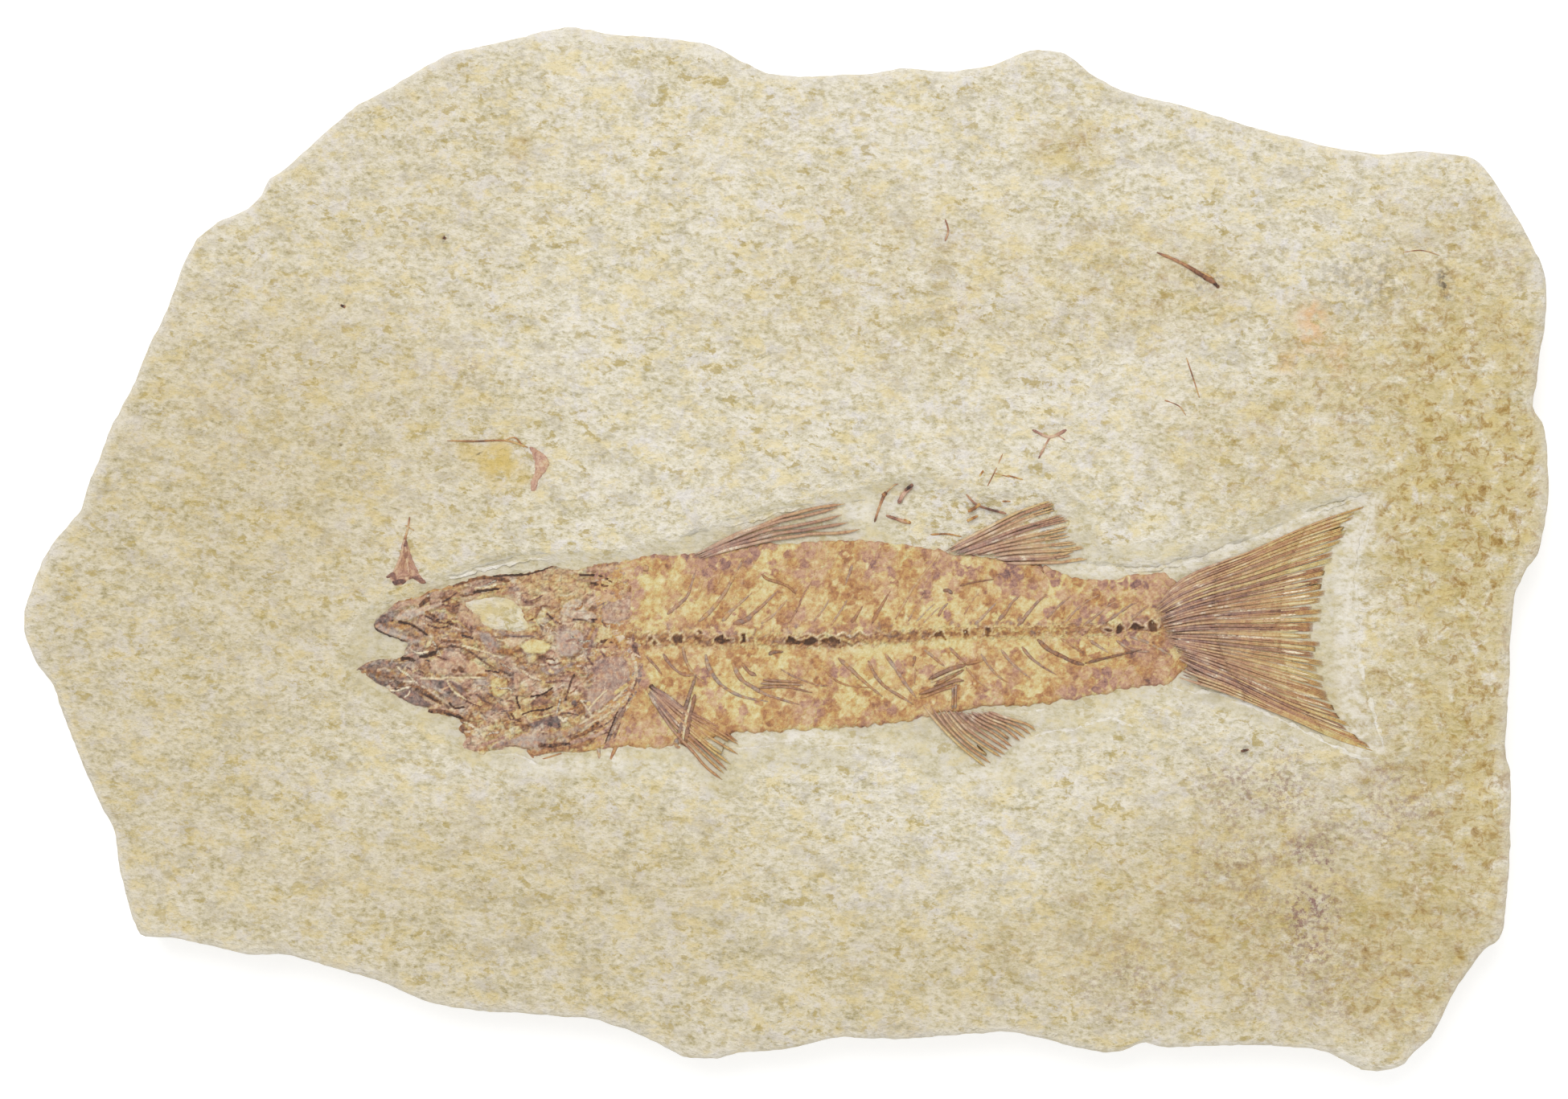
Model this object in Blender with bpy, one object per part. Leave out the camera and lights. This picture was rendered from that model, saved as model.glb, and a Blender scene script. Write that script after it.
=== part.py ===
"""Fossil fish slab: a block of bedded limestone with a perch-like fish prepared in its upper face.

The slab lies on its flat back, the plane z = 0.  +X runs from the fish's snout to its tail and +Y
from its belly to its back.  The fish and the loose bones are solids of their own that sit in
shallow pockets of the stone, with a thin parting round each.  Outlines are lists of points in
millimetres; MM turns them into metres.
"""

import math

import bmesh
import bpy
from mathutils import Vector, noise

MM = 0.001

# Heights above the flat back.
SLAB_TOP = 13.0 * MM
BED_FLOOR = 12.0 * MM          # floor of the prepared trench round the fish
FISH_UNDERSIDE = 10.9 * MM
FIN_WEB_TOP = 12.4 * MM
BODY_TOP = 12.95 * MM
ORBIT_FLOOR = 12.4 * MM
RAY_ROOT_HEIGHT = 12.72 * MM   # centre line of a fin ray where it leaves the body
RAY_TIP_HEIGHT = 12.5 * MM      # and at its tip, on the fin's web
SPINE_HEIGHT = 12.84 * MM      # centre line of the lowest of the spines and ribs
STAGGER = 0.008 * MM           # neighbours differ in height by steps of this, as real bones do
COLUMN_HEIGHT = 12.45 * MM     # centre line of the backbone
CUT_ABOVE = 16.0 * MM          # where every upward cut ends, clear of the slab

PARTING = 0.3 * MM             # gap between a bone and the stone
POCKET_ALLOWANCE = 1.15        # a rod's pocket is this much wider, for the flats of its sides
TRENCH_SLOPE = 1.3             # how far the trench wall leans out, as a share of its height
BODY_RIM = 1.1 * MM            # how far the body's rounded rim draws in
PLATE_RIM = 0.35 * MM          # and a skull plate's
FLAT_ANGLE = math.radians(0.2)  # faces that meet at less than this are one face

# The backbone: lengths and radii in millimetres at the skull, and what is left of them at the tail.
VERTEBRAE = 29
VERTEBRA_LENGTH = 2.7
VERTEBRA_RADIUS = 1.25
CORE_RADIUS = 0.95             # of the cord through the vertebrae
COLUMN_TAPER = 0.78
WAIST = 0.72                   # a vertebra's middle, as a share of its radius
PIT_RADIUS = 0.95 * MM
PIT_HEIGHT = 13.6 * MM

# The broken rim of the slab, anticlockwise from its lower left corner.
RIM_BOTTOM = [
    (-125.5, -73.5), (-124, -75), (-117, -75.5), (-104, -78.5), (-97.5, -78.5),
    (-87.5, -81), (-79, -83.5), (-72, -86.5), (-65.5, -88.5), (-58, -89.5),
    (-49, -90), (-38, -91), (-31, -93), (-25.5, -95.5), (-20.5, -98), (-17, -98.5),
    (-13.5, -98.5), (-9, -97.5), (-1, -97), (3.5, -96), (10.5, -94.5), (21.5, -95),
    (41.5, -93.5), (49, -94.5), (56, -96.5), (61.5, -97.5), (65, -97), (69, -95.5),
    (74, -96.5), (94.5, -96), (104.5, -97.5), (110, -100.5),
]
RIM_RIGHT = [
    (114, -101), (119, -100), (121.5, -97.5), (125, -94), (128, -88), (131.5, -82),
    (135, -77.5), (137.5, -76), (138.5, -73.5), (139.5, -66.5), (140, -58),
    (140, -43.5), (139, -39.5), (139.5, -30.5), (140.5, -10.5), (143, -4.5),
    (145.5, -1), (146.5, 4.5), (147.3, 10), (147.3, 17.5), (146.5, 24), (144.5, 27.5),
    (145, 31.5), (145.5, 37.5), (146.5, 42), (147, 48.5), (146.5, 53.5), (144, 59.5),
    (139, 68), (134, 74.5),
]
RIM_TOP = [
    (131.5, 76), (122.5, 77), (114, 76.5), (104.5, 78), (92.5, 81), (81, 84.5), (75.5, 86),
    (68.5, 87.5), (63.5, 89.5), (58.5, 92.5), (54, 96), (51, 96.5), (46.5, 96.5), (39.5, 93.5),
    (30.5, 92.5), (22.5, 93), (14.5, 92), (3.5, 91.5), (-3.5, 92), (-7.5, 94), (-13, 97),
    (-17, 98), (-24.5, 99), (-33, 99.5), (-41.5, 101), (-47.5, 100), (-53, 98.5),
    (-63, 96.5), (-68.5, 94), (-82.5, 86), (-89.5, 80.5),
    (-96.5, 74), (-100, 71.5), (-101.5, 68.5), (-104, 66), (-109.5, 63.5),
]
RIM_LEFT = [
    (-114, 60), (-116.5, 55.5), (-119, 48.5), (-126.5, 31.5), (-131, 22.5), (-135, 12),
    (-136.5, 7.5), (-140.5, 3), (-143.5, -1.5), (-145.5, -6.5), (-147.3, -11.5),
    (-147.3, -16.5), (-145.5, -21), (-142, -26.5), (-138, -36.5), (-133, -48.5),
    (-130, -54.5), (-129, -61.5), (-127.5, -68),
]
RIM = RIM_BOTTOM + RIM_RIGHT + RIM_TOP + RIM_LEFT

# The slab's side, from its back to its face: height, how far the rim draws in, and how much
# that varies along it.  The two small steps are broken bedding planes.
SIDE_LEVELS = [
    (0.0, 2.6, 0.9),
    (2.8, 1.1, 0.6),
    (5.6, 0.3, 0.3),
    (6.1, 1.0, 0.4),
    (10.4, 0.0, 0.0),
    (12.3, 0.35, 0.3),
    (13.0, 1.1, 0.5),
]
# Conchoidal chips along the rim: centre and radius in millimetres.
CHIPS = [
    ((34, -97.5, 1.5), 7.0),
    ((106, -104.5, 17.0), 8.0),
    ((-15, -103.5, 0.5), 8.0),
    ((145.5, -45, 1.5), 7.5),
    ((-134, -60, 0.5), 8.0),
    ((60, 99.5, 1.5), 7.0),
]

# The prepared trench round the fish, clockwise from the jaw.
TRENCH = [
    (-85, -23.5), (-83.5, -18), (-81.5, -13), (-77.5, -9.5), (-72, -8.5), (-67, -5.5),
    (-58.5, -2.5), (-51, -1.5), (-42.5, -1), (-32, -1), (-20, 2), (-12, 5), (-4.5, 7.5),
    (3.5, 9), (12.5, 11), (20.5, 13), (26.5, 14), (31.5, 11), (36.5, 10), (43.5, 11.5),
    (52, 11.5), (57, 8), (60.5, 1), (65.5, -2), (72.5, -2), (81, 1), (90, 5), (101, 9.5),
    (110.5, 11), (114.5, 10.5), (113, 6), (110.5, -2), (109, -9.5), (108.5, -17.5),
    (109.5, -24.5), (111.5, -31.5), (115, -38.5), (113, -40.5), (102.5, -37), (90, -33),
    (81, -29.5), (73, -28.5), (65.5, -29.5), (56, -33), (50, -37.5), (42, -43), (35, -44),
    (28, -39.5), (19, -37.5), (3.5, -38), (-6, -40.5), (-9, -46), (-14, -47), (-20, -41),
    (-30.5, -41), (-41.5, -42), (-52.5, -41.5), (-61.5, -41.5), (-66.5, -35),
    (-75, -31.5), (-82, -27),
]

# The fish's outline, clockwise from the tip of the lower jaw, in stretches.
JAWS = [(-83, -23), (-78.5, -21.5), (-73, -21.5), (-74, -19.5), (-77, -17.5), (-79.5, -15)]
FOREHEAD = [
    (-77.5, -11.5), (-73.5, -9), (-65, -7), (-57, -5.5), (-49.5, -4.5), (-43, -3.5),
    (-34, -2.5), (-26, -1), (-18.5, -1),
]
BACK_UNDER_FIRST_FIN = [(-11.5, -0.5), (-4.5, 0.5), (3.5, 1.5), (12.5, 1.5)]
BACK_BETWEEN_FINS = [(22, 1), (30.5, -0.5)]
BACK_UNDER_SECOND_FIN = [(40.5, -2), (50, -3.5), (54.5, -5.5)]
STEM_TOP = [(61, -6), (67, -5), (73, -4.5)]
STEM_END = [(77.5, -9), (79.5, -16), (78.5, -22)]
STEM_BOTTOM = [(74, -26), (65.5, -27), (54.5, -29), (45.5, -30)]
BELLY_OVER_ANAL_FIN = [(36, -30.5), (26.5, -32.5)]
BELLY = [(19, -34), (9.5, -34.5), (-3, -35.5), (-9, -34.5)]
BELLY_UNDER_PELVIC_FIN = [(-16.5, -37)]
THROAT = [
    (-24.5, -38.5), (-31.5, -38.5), (-37.5, -40), (-44.5, -40), (-52.5, -40),
    (-59.5, -39.5), (-62, -35), (-70, -31), (-78.5, -26),
]
FIRST_FIN_EDGE = [(-14, 1.5), (-3, 5.3), (11.5, 9.7), (10.8, 7.2), (15, 4), (14, 2)]
SECOND_FIN_EDGE = [
    (38, 5.2), (44.5, 8.3), (51, 10), (53.5, 7), (55.5, 4.8), (58, 2.8), (59, -2.5), (57.5, -5.3),
]
TAIL_FIN_EDGE = [
    (81, -3.4), (90, 0.5), (102.5, 6), (111.5, 8.8), (108.8, 3.5), (106.2, -2.5), (104.2, -8),
    (103.4, -14.5), (103.6, -20.5), (105.6, -26), (109, -31.5), (113.3, -38.4), (99.5, -35),
    (90, -31.1), (81, -27.4),
]
ANAL_FIN_EDGE = [(47.9, -34.5), (45.5, -37.3), (42.5, -40), (38, -42.5), (31.5, -37.3)]
PELVIC_FIN_EDGE = [(-8.8, -38.5), (-9.8, -42.5), (-12, -45), (-15.5, -41.5)]
FISH_WHOLE = (
    JAWS + FOREHEAD + FIRST_FIN_EDGE + BACK_BETWEEN_FINS + SECOND_FIN_EDGE + STEM_TOP
    + TAIL_FIN_EDGE + STEM_BOTTOM + ANAL_FIN_EDGE + BELLY + PELVIC_FIN_EDGE + THROAT
)
FISH_BODY = (
    JAWS + FOREHEAD + BACK_UNDER_FIRST_FIN + BACK_BETWEEN_FINS + BACK_UNDER_SECOND_FIN
    + STEM_TOP + STEM_END + STEM_BOTTOM + BELLY_OVER_ANAL_FIN + BELLY
    + BELLY_UNDER_PELVIC_FIN + THROAT
)

# Each fin's rays: the line they grow from, the line their tips reach, how many there are, how
# far the middle of each bows towards the fin's leading edge, and their radii in millimetres.
FINS = {
    "first_dorsal": (
        [(-18, -2), (-12.5, -1.5), (-6, -1)], [(11, 8.8), (10.3, 6.8), (14, 3.2)],
        9, 0.5, (0.5, 0.34),
    ),
    "second_dorsal": (
        [(30.5, -1.5), (39, -2.2), (50, -4)],
        [(50.5, 9.3), (53, 6.8), (55, 4.5), (57.5, 2.2), (58.2, -2.3)],
        11, 0.5, (0.45, 0.34),
    ),
    "pelvic": (
        [(-27.2, -25.6), (-25.2, -26.8)],
        [(-12.1, -44.1), (-10.4, -42.2), (-9.4, -39.8), (-12.5, -36.6)],
        8, 0.3, (0.42, 0.34),
    ),
    "anal": (
        [(26, -30.4), (33, -31), (40.5, -30.6)],
        [(38, -41.8), (42, -39.4), (45, -36.9), (47.3, -34.6)],
        9, 0.3, (0.45, 0.34),
    ),
    "tail": (
        [(71.8, -9.6), (74, -14), (74, -19), (73, -25)],
        [
            (110.8, 8), (108.2, 3.5), (105.6, -2.5), (103.6, -8), (102.8, -14.5),
            (103, -20.5), (105, -26), (108.4, -31.5), (112.6, -38),
        ],
        20, 0.6, (0.37, 0.45),
    ),
}

# The backbone's line, from the skull to the tail's root.
COLUMN = [
    (-28.5, -17.4), (-12, -17.6), (1, -17.6), (8, -17.7), (19, -17.1), (34.5, -16.2),
    (50, -15.9), (64, -15.4), (72.5, -15),
]
# Where the crust over a vertebra has fallen in.
COLUMN_PITS = [
    (-21, -17.2), (-17.5, -17.5), (-12.5, -17.5), (-8.5, -17.5), (1, -17.6), (4.2, -17.9),
    (8, -17.8), (29, -16.2), (39, -16), (64, -15.5), (67.5, -15.1), (70.8, -15),
]

ORBIT = [(-60, -10), (-56.5, -9), (-52.5, -10), (-50.5, -12.5), (-51, -15.5), (-54.5, -16), (-58, -14)]
# Bones of the skull that stand up as plates: outline, height of the top in millimetres.
SKULL_PLATES = {
    "frontal": ([
        (-77, -12.5), (-73.5, -10), (-65, -7.8), (-57, -6.3), (-50.5, -5.5), (-51.5, -8),
        (-59, -8.6), (-65, -10.5), (-70, -13), (-76, -14.5),
    ], 13.45),
    "skull_roof": ([
        (-48.5, -5.3), (-40, -4.2), (-33, -3.6), (-32.5, -7.5), (-37, -12), (-44.5, -12),
        (-48.8, -9),
    ], 13.4),
    "maxilla": ([
        (-78, -15.5), (-74, -17), (-68, -17.8), (-58.5, -20.2), (-49.5, -22.8), (-50, -25),
        (-58.5, -23.3), (-67.5, -21), (-74.5, -18.6),
    ], 13.6),
    "dentary": ([
        (-82, -23.1), (-78, -22.3), (-69.5, -22.6), (-60, -25.5), (-53, -30.5), (-57, -33),
        (-64.5, -32.6), (-71.5, -30), (-78.3, -25.6),
    ], 13.35),
    "cheek": ([
        (-44.5, -17.2), (-41.6, -15.8), (-38.7, -17), (-38.2, -20), (-41, -21.6),
        (-44.2, -20.3),
    ], 13.7),
    "preopercle": ([
        (-41, -22.5), (-38.6, -22), (-38.6, -26.5), (-42, -32.2), (-46.5, -35), (-48.5, -32.6),
        (-44, -29),
    ], 13.5),
    "opercle": ([
        (-37, -20), (-34, -18.2), (-30, -19), (-28.4, -23), (-29, -27.5), (-32, -30.5),
        (-36, -30), (-37.3, -25),
    ], 13.3),
    "opercle_dome": ([
        (-35.2, -21.5), (-33, -20.3), (-30.8, -21.4), (-30.4, -24.5), (-31.5, -27.2),
        (-34.5, -27),
    ], 13.7),
    "throat_plate": ([
        (-60, -34.8), (-54, -34), (-49, -36), (-46, -38.3), (-53, -38.6), (-58.5, -38),
    ], 13.3),
}
# Rod-like bones of the fish: path, start and end radii in millimetres, height of the middle.
RODS = [
    ([(-55.5, -15.8), (-52, -16.6), (-48.3, -17)], (0.5, 0.45), 13.1),
    ([(-79.2, -15.2), (-76.2, -17), (-71.5, -18.2)], (0.75, 0.4), 13.1),
    ([(-27.5, -19.5), (-28, -25), (-30.2, -31), (-33, -37)], (0.6, 0.9), 13.0),
    ([(-60.5, -37), (-51, -36.6), (-42.5, -33.6), (-37.8, -30.6)], (0.45, 0.7), 13.1),
    ([(-55, -39), (-45.5, -37.6), (-39, -34.6), (-33.5, -31)], (0.45, 0.7), 13.1),
    ([(-46, -39.2), (-39, -37.8), (-34, -34.5), (-31, -30.5)], (0.45, 0.7), 13.1),
    ([(26.7, -27.6), (35, -21.2)], (0.35, 0.5), 13.0),
    ([(28.5, -28.8), (34.5, -24.2)], (0.3, 0.45), 13.0),
    ([(32.5, -25), (32.7, -31.2)], (0.45, 0.35), 13.0),
    ([(-20.6, -36.6), (-17.5, -24.4)], (0.5, 0.4), 13.1),
    ([(-5.5, -27.5), (8.5, -28.6)], (0.4, 0.3), 13.0),
]
NEURAL_SPINES = 22
HAEMAL_SPINES = 12
RIBS = 11

# Loose bones: outline, and heights of the underside and the top in millimetres.
LOOSE_PLATES = {
    "loose_cone_bone": ([
        (-73.4, 5.5), (-72.9, 1), (-71.8, -1), (-71, -3.5), (-69.4, -5.6), (-70.6, -6.9),
        (-73, -6), (-75, -6.9), (-77, -5.5), (-75.8, -3.5), (-74.6, -1), (-74, 1),
    ], 12.4, 13.6),
    "loose_flake_bone": ([
        (-50, 19.5), (-48, 19.2), (-46, 18), (-45.8, 16), (-47.4, 13.5), (-48, 11.2),
        (-49.5, 11.2), (-50.2, 13.5), (-49, 16.5),
    ], 12.4, 13.4),
}
# Loose splinters: paths, each with its start and end radii in millimetres, and the height of the
# middle.
LOOSE_STRANDS = {
    "loose_splinter_bone": ([([(71.6, 57), (78.5, 54), (83, 51.2)], (0.35, 0.6))], 13.0),
    "loose_rod_bone_1": ([([(17.2, 5), (18.4, 8.4), (19.2, 10.8)], (0.4, 0.55))], 12.1),
    "loose_rod_bone_2": ([([(22, 8.9), (23, 10.6), (24.4, 12.2)], (0.6, 0.7))], 12.1),
    "loose_rod_bone_3": ([([(19.2, 5.9), (23.6, 5)], (0.55, 0.6))], 12.1),
    "loose_forked_bone": ([
        ([(47.2, 22.8), (50.8, 21.7), (54, 23.1)], (0.4, 0.45)),
        ([(50.8, 21.7), (49.9, 19.8), (49, 17.4)], (0.5, 0.4)),
    ], 13.0),
}

COLOURS = {
    "limestone": (0.66, 0.60, 0.42),
    "fossil_bone": (0.47, 0.31, 0.15),
    "loose_bone": (0.34, 0.22, 0.16),
}


def clear_scene():
    """Remove whatever the scene holds."""
    for item in list(bpy.data.objects):
        bpy.data.objects.remove(item, do_unlink=True)


def new_collection(name):
    """A collection linked to the scene."""
    collection = bpy.data.collections.new(name)
    bpy.context.scene.collection.children.link(collection)
    return collection


def material(name, colour, roughness):
    """A plain Principled finish."""
    finish = bpy.data.materials.new(name)
    finish.use_nodes = True
    shader = finish.node_tree.nodes["Principled BSDF"]
    shader.inputs["Base Color"].default_value = (*colour, 1.0)
    shader.inputs["Roughness"].default_value = roughness
    shader.inputs["Metallic"].default_value = 0.0
    return finish


def anticlockwise(outline):
    """The outline, turned so that its inside lies to the left."""
    area = sum(x0 * y1 - x1 * y0 for (x0, y0), (x1, y1) in zip(outline, outline[1:] + outline[:1]))
    return list(outline) if area > 0 else list(reversed(outline))


def outward(outline, i):
    """The mitred outward direction at point i: moving along it shifts both edges by its share."""
    before = Vector(outline[i - 1])
    here = Vector(outline[i])
    after = Vector(outline[(i + 1) % len(outline)])
    first = (here - before).normalized()
    second = (after - here).normalized()
    normal = Vector((first.y, -first.x)) + Vector((second.y, -second.x))
    opening = max(1.0 + first.dot(second), 0.5)
    return normal / opening


def ring(outline, height, grow=0.0):
    """The outline as points in space at one height (metres), moved outward by grow (metres)."""
    turned = anticlockwise(outline)
    points = []
    for i, (x, y) in enumerate(turned):
        shift = outward(turned, i) * grow
        points.append(Vector((x * MM + shift.x, y * MM + shift.y, height)))
    return points


def put_mesh(name, bm, collection, hidden=False):
    """Turn a bmesh into an object in the collection, its faces split into flat triangles."""
    bmesh.ops.recalc_face_normals(bm, faces=bm.faces)
    bmesh.ops.triangulate(bm, faces=bm.faces)
    mesh = bpy.data.meshes.new(name)
    bm.to_mesh(mesh)
    bm.free()
    item = bpy.data.objects.new(name, mesh)
    collection.objects.link(item)
    if hidden:
        item.hide_render = True
        item.display_type = "WIRE"
    return item


def loft(name, rings, collection, hidden=False):
    """A closed solid through rings of equal point counts, from the lowest to the highest."""
    bm = bmesh.new()
    layers = [[bm.verts.new(point) for point in points] for points in rings]
    count = len(layers[0])
    for low, high in zip(layers, layers[1:]):
        for i in range(count):
            j = (i + 1) % count
            bm.faces.new((low[i], low[j], high[j], high[i]))
    bm.faces.new(layers[0][::-1])
    bm.faces.new(layers[-1])
    return put_mesh(name, bm, collection, hidden)


def raised_plate(name, outline, bottom, top, rim, collection, hidden=False):
    """A plate between two heights whose upper rim is bevelled by rim, all in metres."""
    rings = [ring(outline, bottom), ring(outline, top - rim), ring(outline, top, -rim)]
    return loft(name, rings, collection, hidden)


def strand(name, path, radii, heights, collection, grow=0.0, detail=0, hidden=True):
    """A tapering rod along a path: radii and grow in millimetres, end heights in metres."""
    curve = bpy.data.curves.new(name, "CURVE")
    curve.dimensions = "3D"
    curve.bevel_depth = MM
    curve.bevel_resolution = detail
    curve.use_fill_caps = True
    spline = curve.splines.new("POLY")
    spline.points.add(len(path) - 1)
    for i, (x, y) in enumerate(path):
        share = i / (len(path) - 1)
        height = heights[0] + (heights[1] - heights[0]) * share
        spline.points[i].co = (x * MM, y * MM, height, 1.0)
        spline.points[i].radius = radii[0] + (radii[1] - radii[0]) * share + grow
    guide = bpy.data.objects.new(name + "_path", curve)
    collection.objects.link(guide)
    bpy.context.view_layer.update()
    evaluated = guide.evaluated_get(bpy.context.evaluated_depsgraph_get())
    bm = bmesh.new()
    tube = bpy.data.meshes.new_from_object(evaluated)
    bm.from_mesh(tube)
    bpy.data.meshes.remove(tube)
    bpy.data.objects.remove(guide, do_unlink=True)
    bpy.data.curves.remove(curve)
    bmesh.ops.remove_doubles(bm, verts=bm.verts, dist=1e-6)
    return put_mesh(name, bm, collection, hidden)


def along(line, share):
    """The point at a share of a line's length, and the line's direction there."""
    points = [Vector(point) for point in line]
    lengths = [(b - a).length for a, b in zip(points, points[1:])]
    left = share * sum(lengths)
    for a, b, length in zip(points, points[1:], lengths):
        if left <= length or b is points[-1]:
            return a + (b - a) * (left / length), (b - a).normalized()
        left -= length
    return points[-1], (points[-1] - points[-2]).normalized()


def boolean(item, operands, operation):
    """Join or cut an object with every object of a collection."""
    step = item.modifiers.new(operands.name, "BOOLEAN")
    step.operation = operation
    step.operand_type = "COLLECTION"
    step.collection = operands
    step.solver = "EXACT"


def settle(item):
    """Replace an object's mesh with its modified shape, its flat faces made whole again."""
    bpy.context.view_layer.update()
    evaluated = item.evaluated_get(bpy.context.evaluated_depsgraph_get())
    shaped = bpy.data.meshes.new_from_object(evaluated)
    item.modifiers.clear()
    item.data = shaped
    bm = bmesh.new()
    bm.from_mesh(shaped)
    bmesh.ops.dissolve_limit(bm, angle_limit=FLAT_ANGLE, verts=bm.verts, edges=bm.edges)
    bmesh.ops.remove_doubles(bm, verts=bm.verts, dist=0.0005 * MM)
    bm.to_mesh(shaped)
    bm.free()


def side_ring(height, inset, spread):
    """One level of the slab's side: the rim drawn in, more here and less there."""
    turned = anticlockwise(RIM)
    points = []
    for i, (x, y) in enumerate(turned):
        wander = noise.noise(Vector((x * 0.11, y * 0.11, height * 0.9)))
        shift = outward(turned, i) * -(inset + spread * wander) * MM
        points.append(Vector((x * MM + shift.x, y * MM + shift.y, height * MM)))
    return points


def make_slab(collection, cuts):
    """The stone: its broken side, the trench, the chips; pockets come with the cuts."""
    slab = loft("limestone_slab", [side_ring(*level) for level in SIDE_LEVELS], collection)
    rise = SLAB_TOP + PARTING - BED_FLOOR
    trench = [ring(TRENCH, BED_FLOOR), ring(TRENCH, BED_FLOOR + rise, rise * TRENCH_SLOPE)]
    loft("trench", trench, cuts, hidden=True)
    for i, (centre, radius) in enumerate(CHIPS):
        bm = bmesh.new()
        bmesh.ops.create_icosphere(bm, subdivisions=1, radius=radius * MM)
        bmesh.ops.translate(bm, verts=bm.verts, vec=Vector(centre) * MM)
        put_mesh(f"chip_{i + 1}", bm, cuts, hidden=True)
    return slab


def make_backbone(joins, cuts):
    """The backbone: a cord with a drum for each vertebra, and the pits where drums are open."""
    level = (COLUMN_HEIGHT, COLUMN_HEIGHT)
    strand("column_cord", COLUMN, (CORE_RADIUS, CORE_RADIUS * COLUMN_TAPER), level, joins)
    for i in range(VERTEBRAE):
        share = (i + 0.5) / VERTEBRAE
        size = 1.0 + (COLUMN_TAPER - 1.0) * share
        place, way = along(COLUMN, share)
        half = way * VERTEBRA_LENGTH * size / 2.0
        ends = [tuple(place - half), tuple(place), tuple(place + half)]
        radius = VERTEBRA_RADIUS * size
        drum = strand(f"vertebra_{i + 1}", ends, (radius, radius), level, joins, detail=1)
        draw_in_middle(drum, place * MM, way, half.length * MM)
    for i, (x, y) in enumerate(COLUMN_PITS):
        bm = bmesh.new()
        bmesh.ops.create_icosphere(bm, subdivisions=1, radius=PIT_RADIUS)
        bmesh.ops.translate(bm, verts=bm.verts, vec=(x * MM, y * MM, PIT_HEIGHT))
        put_mesh(f"pit_{i + 1}", bm, cuts, hidden=True)


def draw_in_middle(drum, place, way, half):
    """Give a vertebra an hourglass waist round its middle."""
    for vertex in drum.data.vertices:
        reach = (vertex.co.xy - place).dot(way)
        if abs(reach) < half / 2.0:
            axis = (place + way * reach).to_3d()
            axis.z = COLUMN_HEIGHT
            vertex.co = axis + (vertex.co - axis) * WAIST


def staggered(start, end, i):
    """The end heights of the i-th of a row, so that no two neighbours lie at one level."""
    lift = STAGGER * ((i * 3) % 7)
    return (start + lift, end + lift)


def make_spines(joins):
    """The neural spines above the backbone, and the haemal spines and ribs below it."""
    for i in range(NEURAL_SPINES):
        share = i / (NEURAL_SPINES - 1)
        foot, _ = along(COLUMN, 0.04 + 0.86 * share)
        reach = 12.5 - 6.0 * share
        knee = (foot.x + reach * 0.34, foot.y + 1.0 + reach * 0.42)
        tip = (foot.x + reach * 0.62, foot.y + 1.0 + reach * 0.88)
        path = [(foot.x, foot.y + 0.9), knee, tip]
        strand(f"neural_{i + 1}", path, (0.45, 0.28), staggered(SPINE_HEIGHT, SPINE_HEIGHT, i), joins)
    for i in range(HAEMAL_SPINES):
        share = i / (HAEMAL_SPINES - 1)
        foot, _ = along(COLUMN, 0.52 + 0.4 * share)
        reach = 10.5 - 4.0 * share
        path = [
            (foot.x, foot.y - 0.9),
            (foot.x + reach * 0.42, foot.y - 0.9 - reach * 0.45),
            (foot.x + reach * 0.85, foot.y - 0.9 - reach * 0.75),
        ]
        strand(f"haemal_{i + 1}", path, (0.43, 0.28), staggered(SPINE_HEIGHT, SPINE_HEIGHT, i + 3), joins)
    for i in range(RIBS):
        share = i / (RIBS - 1)
        foot, _ = along(COLUMN, 0.03 + 0.44 * share)
        reach = 1.0 - 0.25 * share
        path = [
            (foot.x, foot.y - 0.9),
            (foot.x + 5.4 * reach, foot.y - 7.6 * reach),
            (foot.x + 12.4 * reach, foot.y - 11.2 * reach),
        ]
        strand(f"rib_{i + 1}", path, (0.42, 0.28), staggered(SPINE_HEIGHT, SPINE_HEIGHT, i + 5), joins)


def make_fins(joins):
    """The rays of every fin, fanned from its base line to its edge."""
    for name, (roots, tips, count, bow, radii) in FINS.items():
        for i in range(count):
            share = i / (count - 1)
            root, _ = along(roots, share)
            tip, _ = along(tips, share)
            way = (tip - root).normalized()
            lead = Vector((-way.y, way.x)) * bow * (1.0 - share)
            if name in ("pelvic", "anal"):
                lead = -lead
            middle = (root + tip) / 2.0 + lead
            path = [tuple(root), tuple(middle), tuple(tip)]
            heights = staggered(RAY_ROOT_HEIGHT, RAY_TIP_HEIGHT, i)
            strand(f"{name}_ray_{i + 1}", path, radii, heights, joins)


def make_skull(joins, cuts):
    """The plates and rods of the head, and the sunken orbit."""
    for name, (outline, top) in SKULL_PLATES.items():
        raised_plate(name, outline, BED_FLOOR, top * MM, PLATE_RIM, joins, hidden=True)
    for i, (path, radii, height) in enumerate(RODS):
        strand(f"rod_{i + 1}", path, radii, (height * MM, height * MM), joins, detail=1)
    orbit = [ring(ORBIT, ORBIT_FLOOR), ring(ORBIT, CUT_ABOVE, BODY_RIM)]
    loft("orbit", orbit, cuts, hidden=True)


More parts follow.
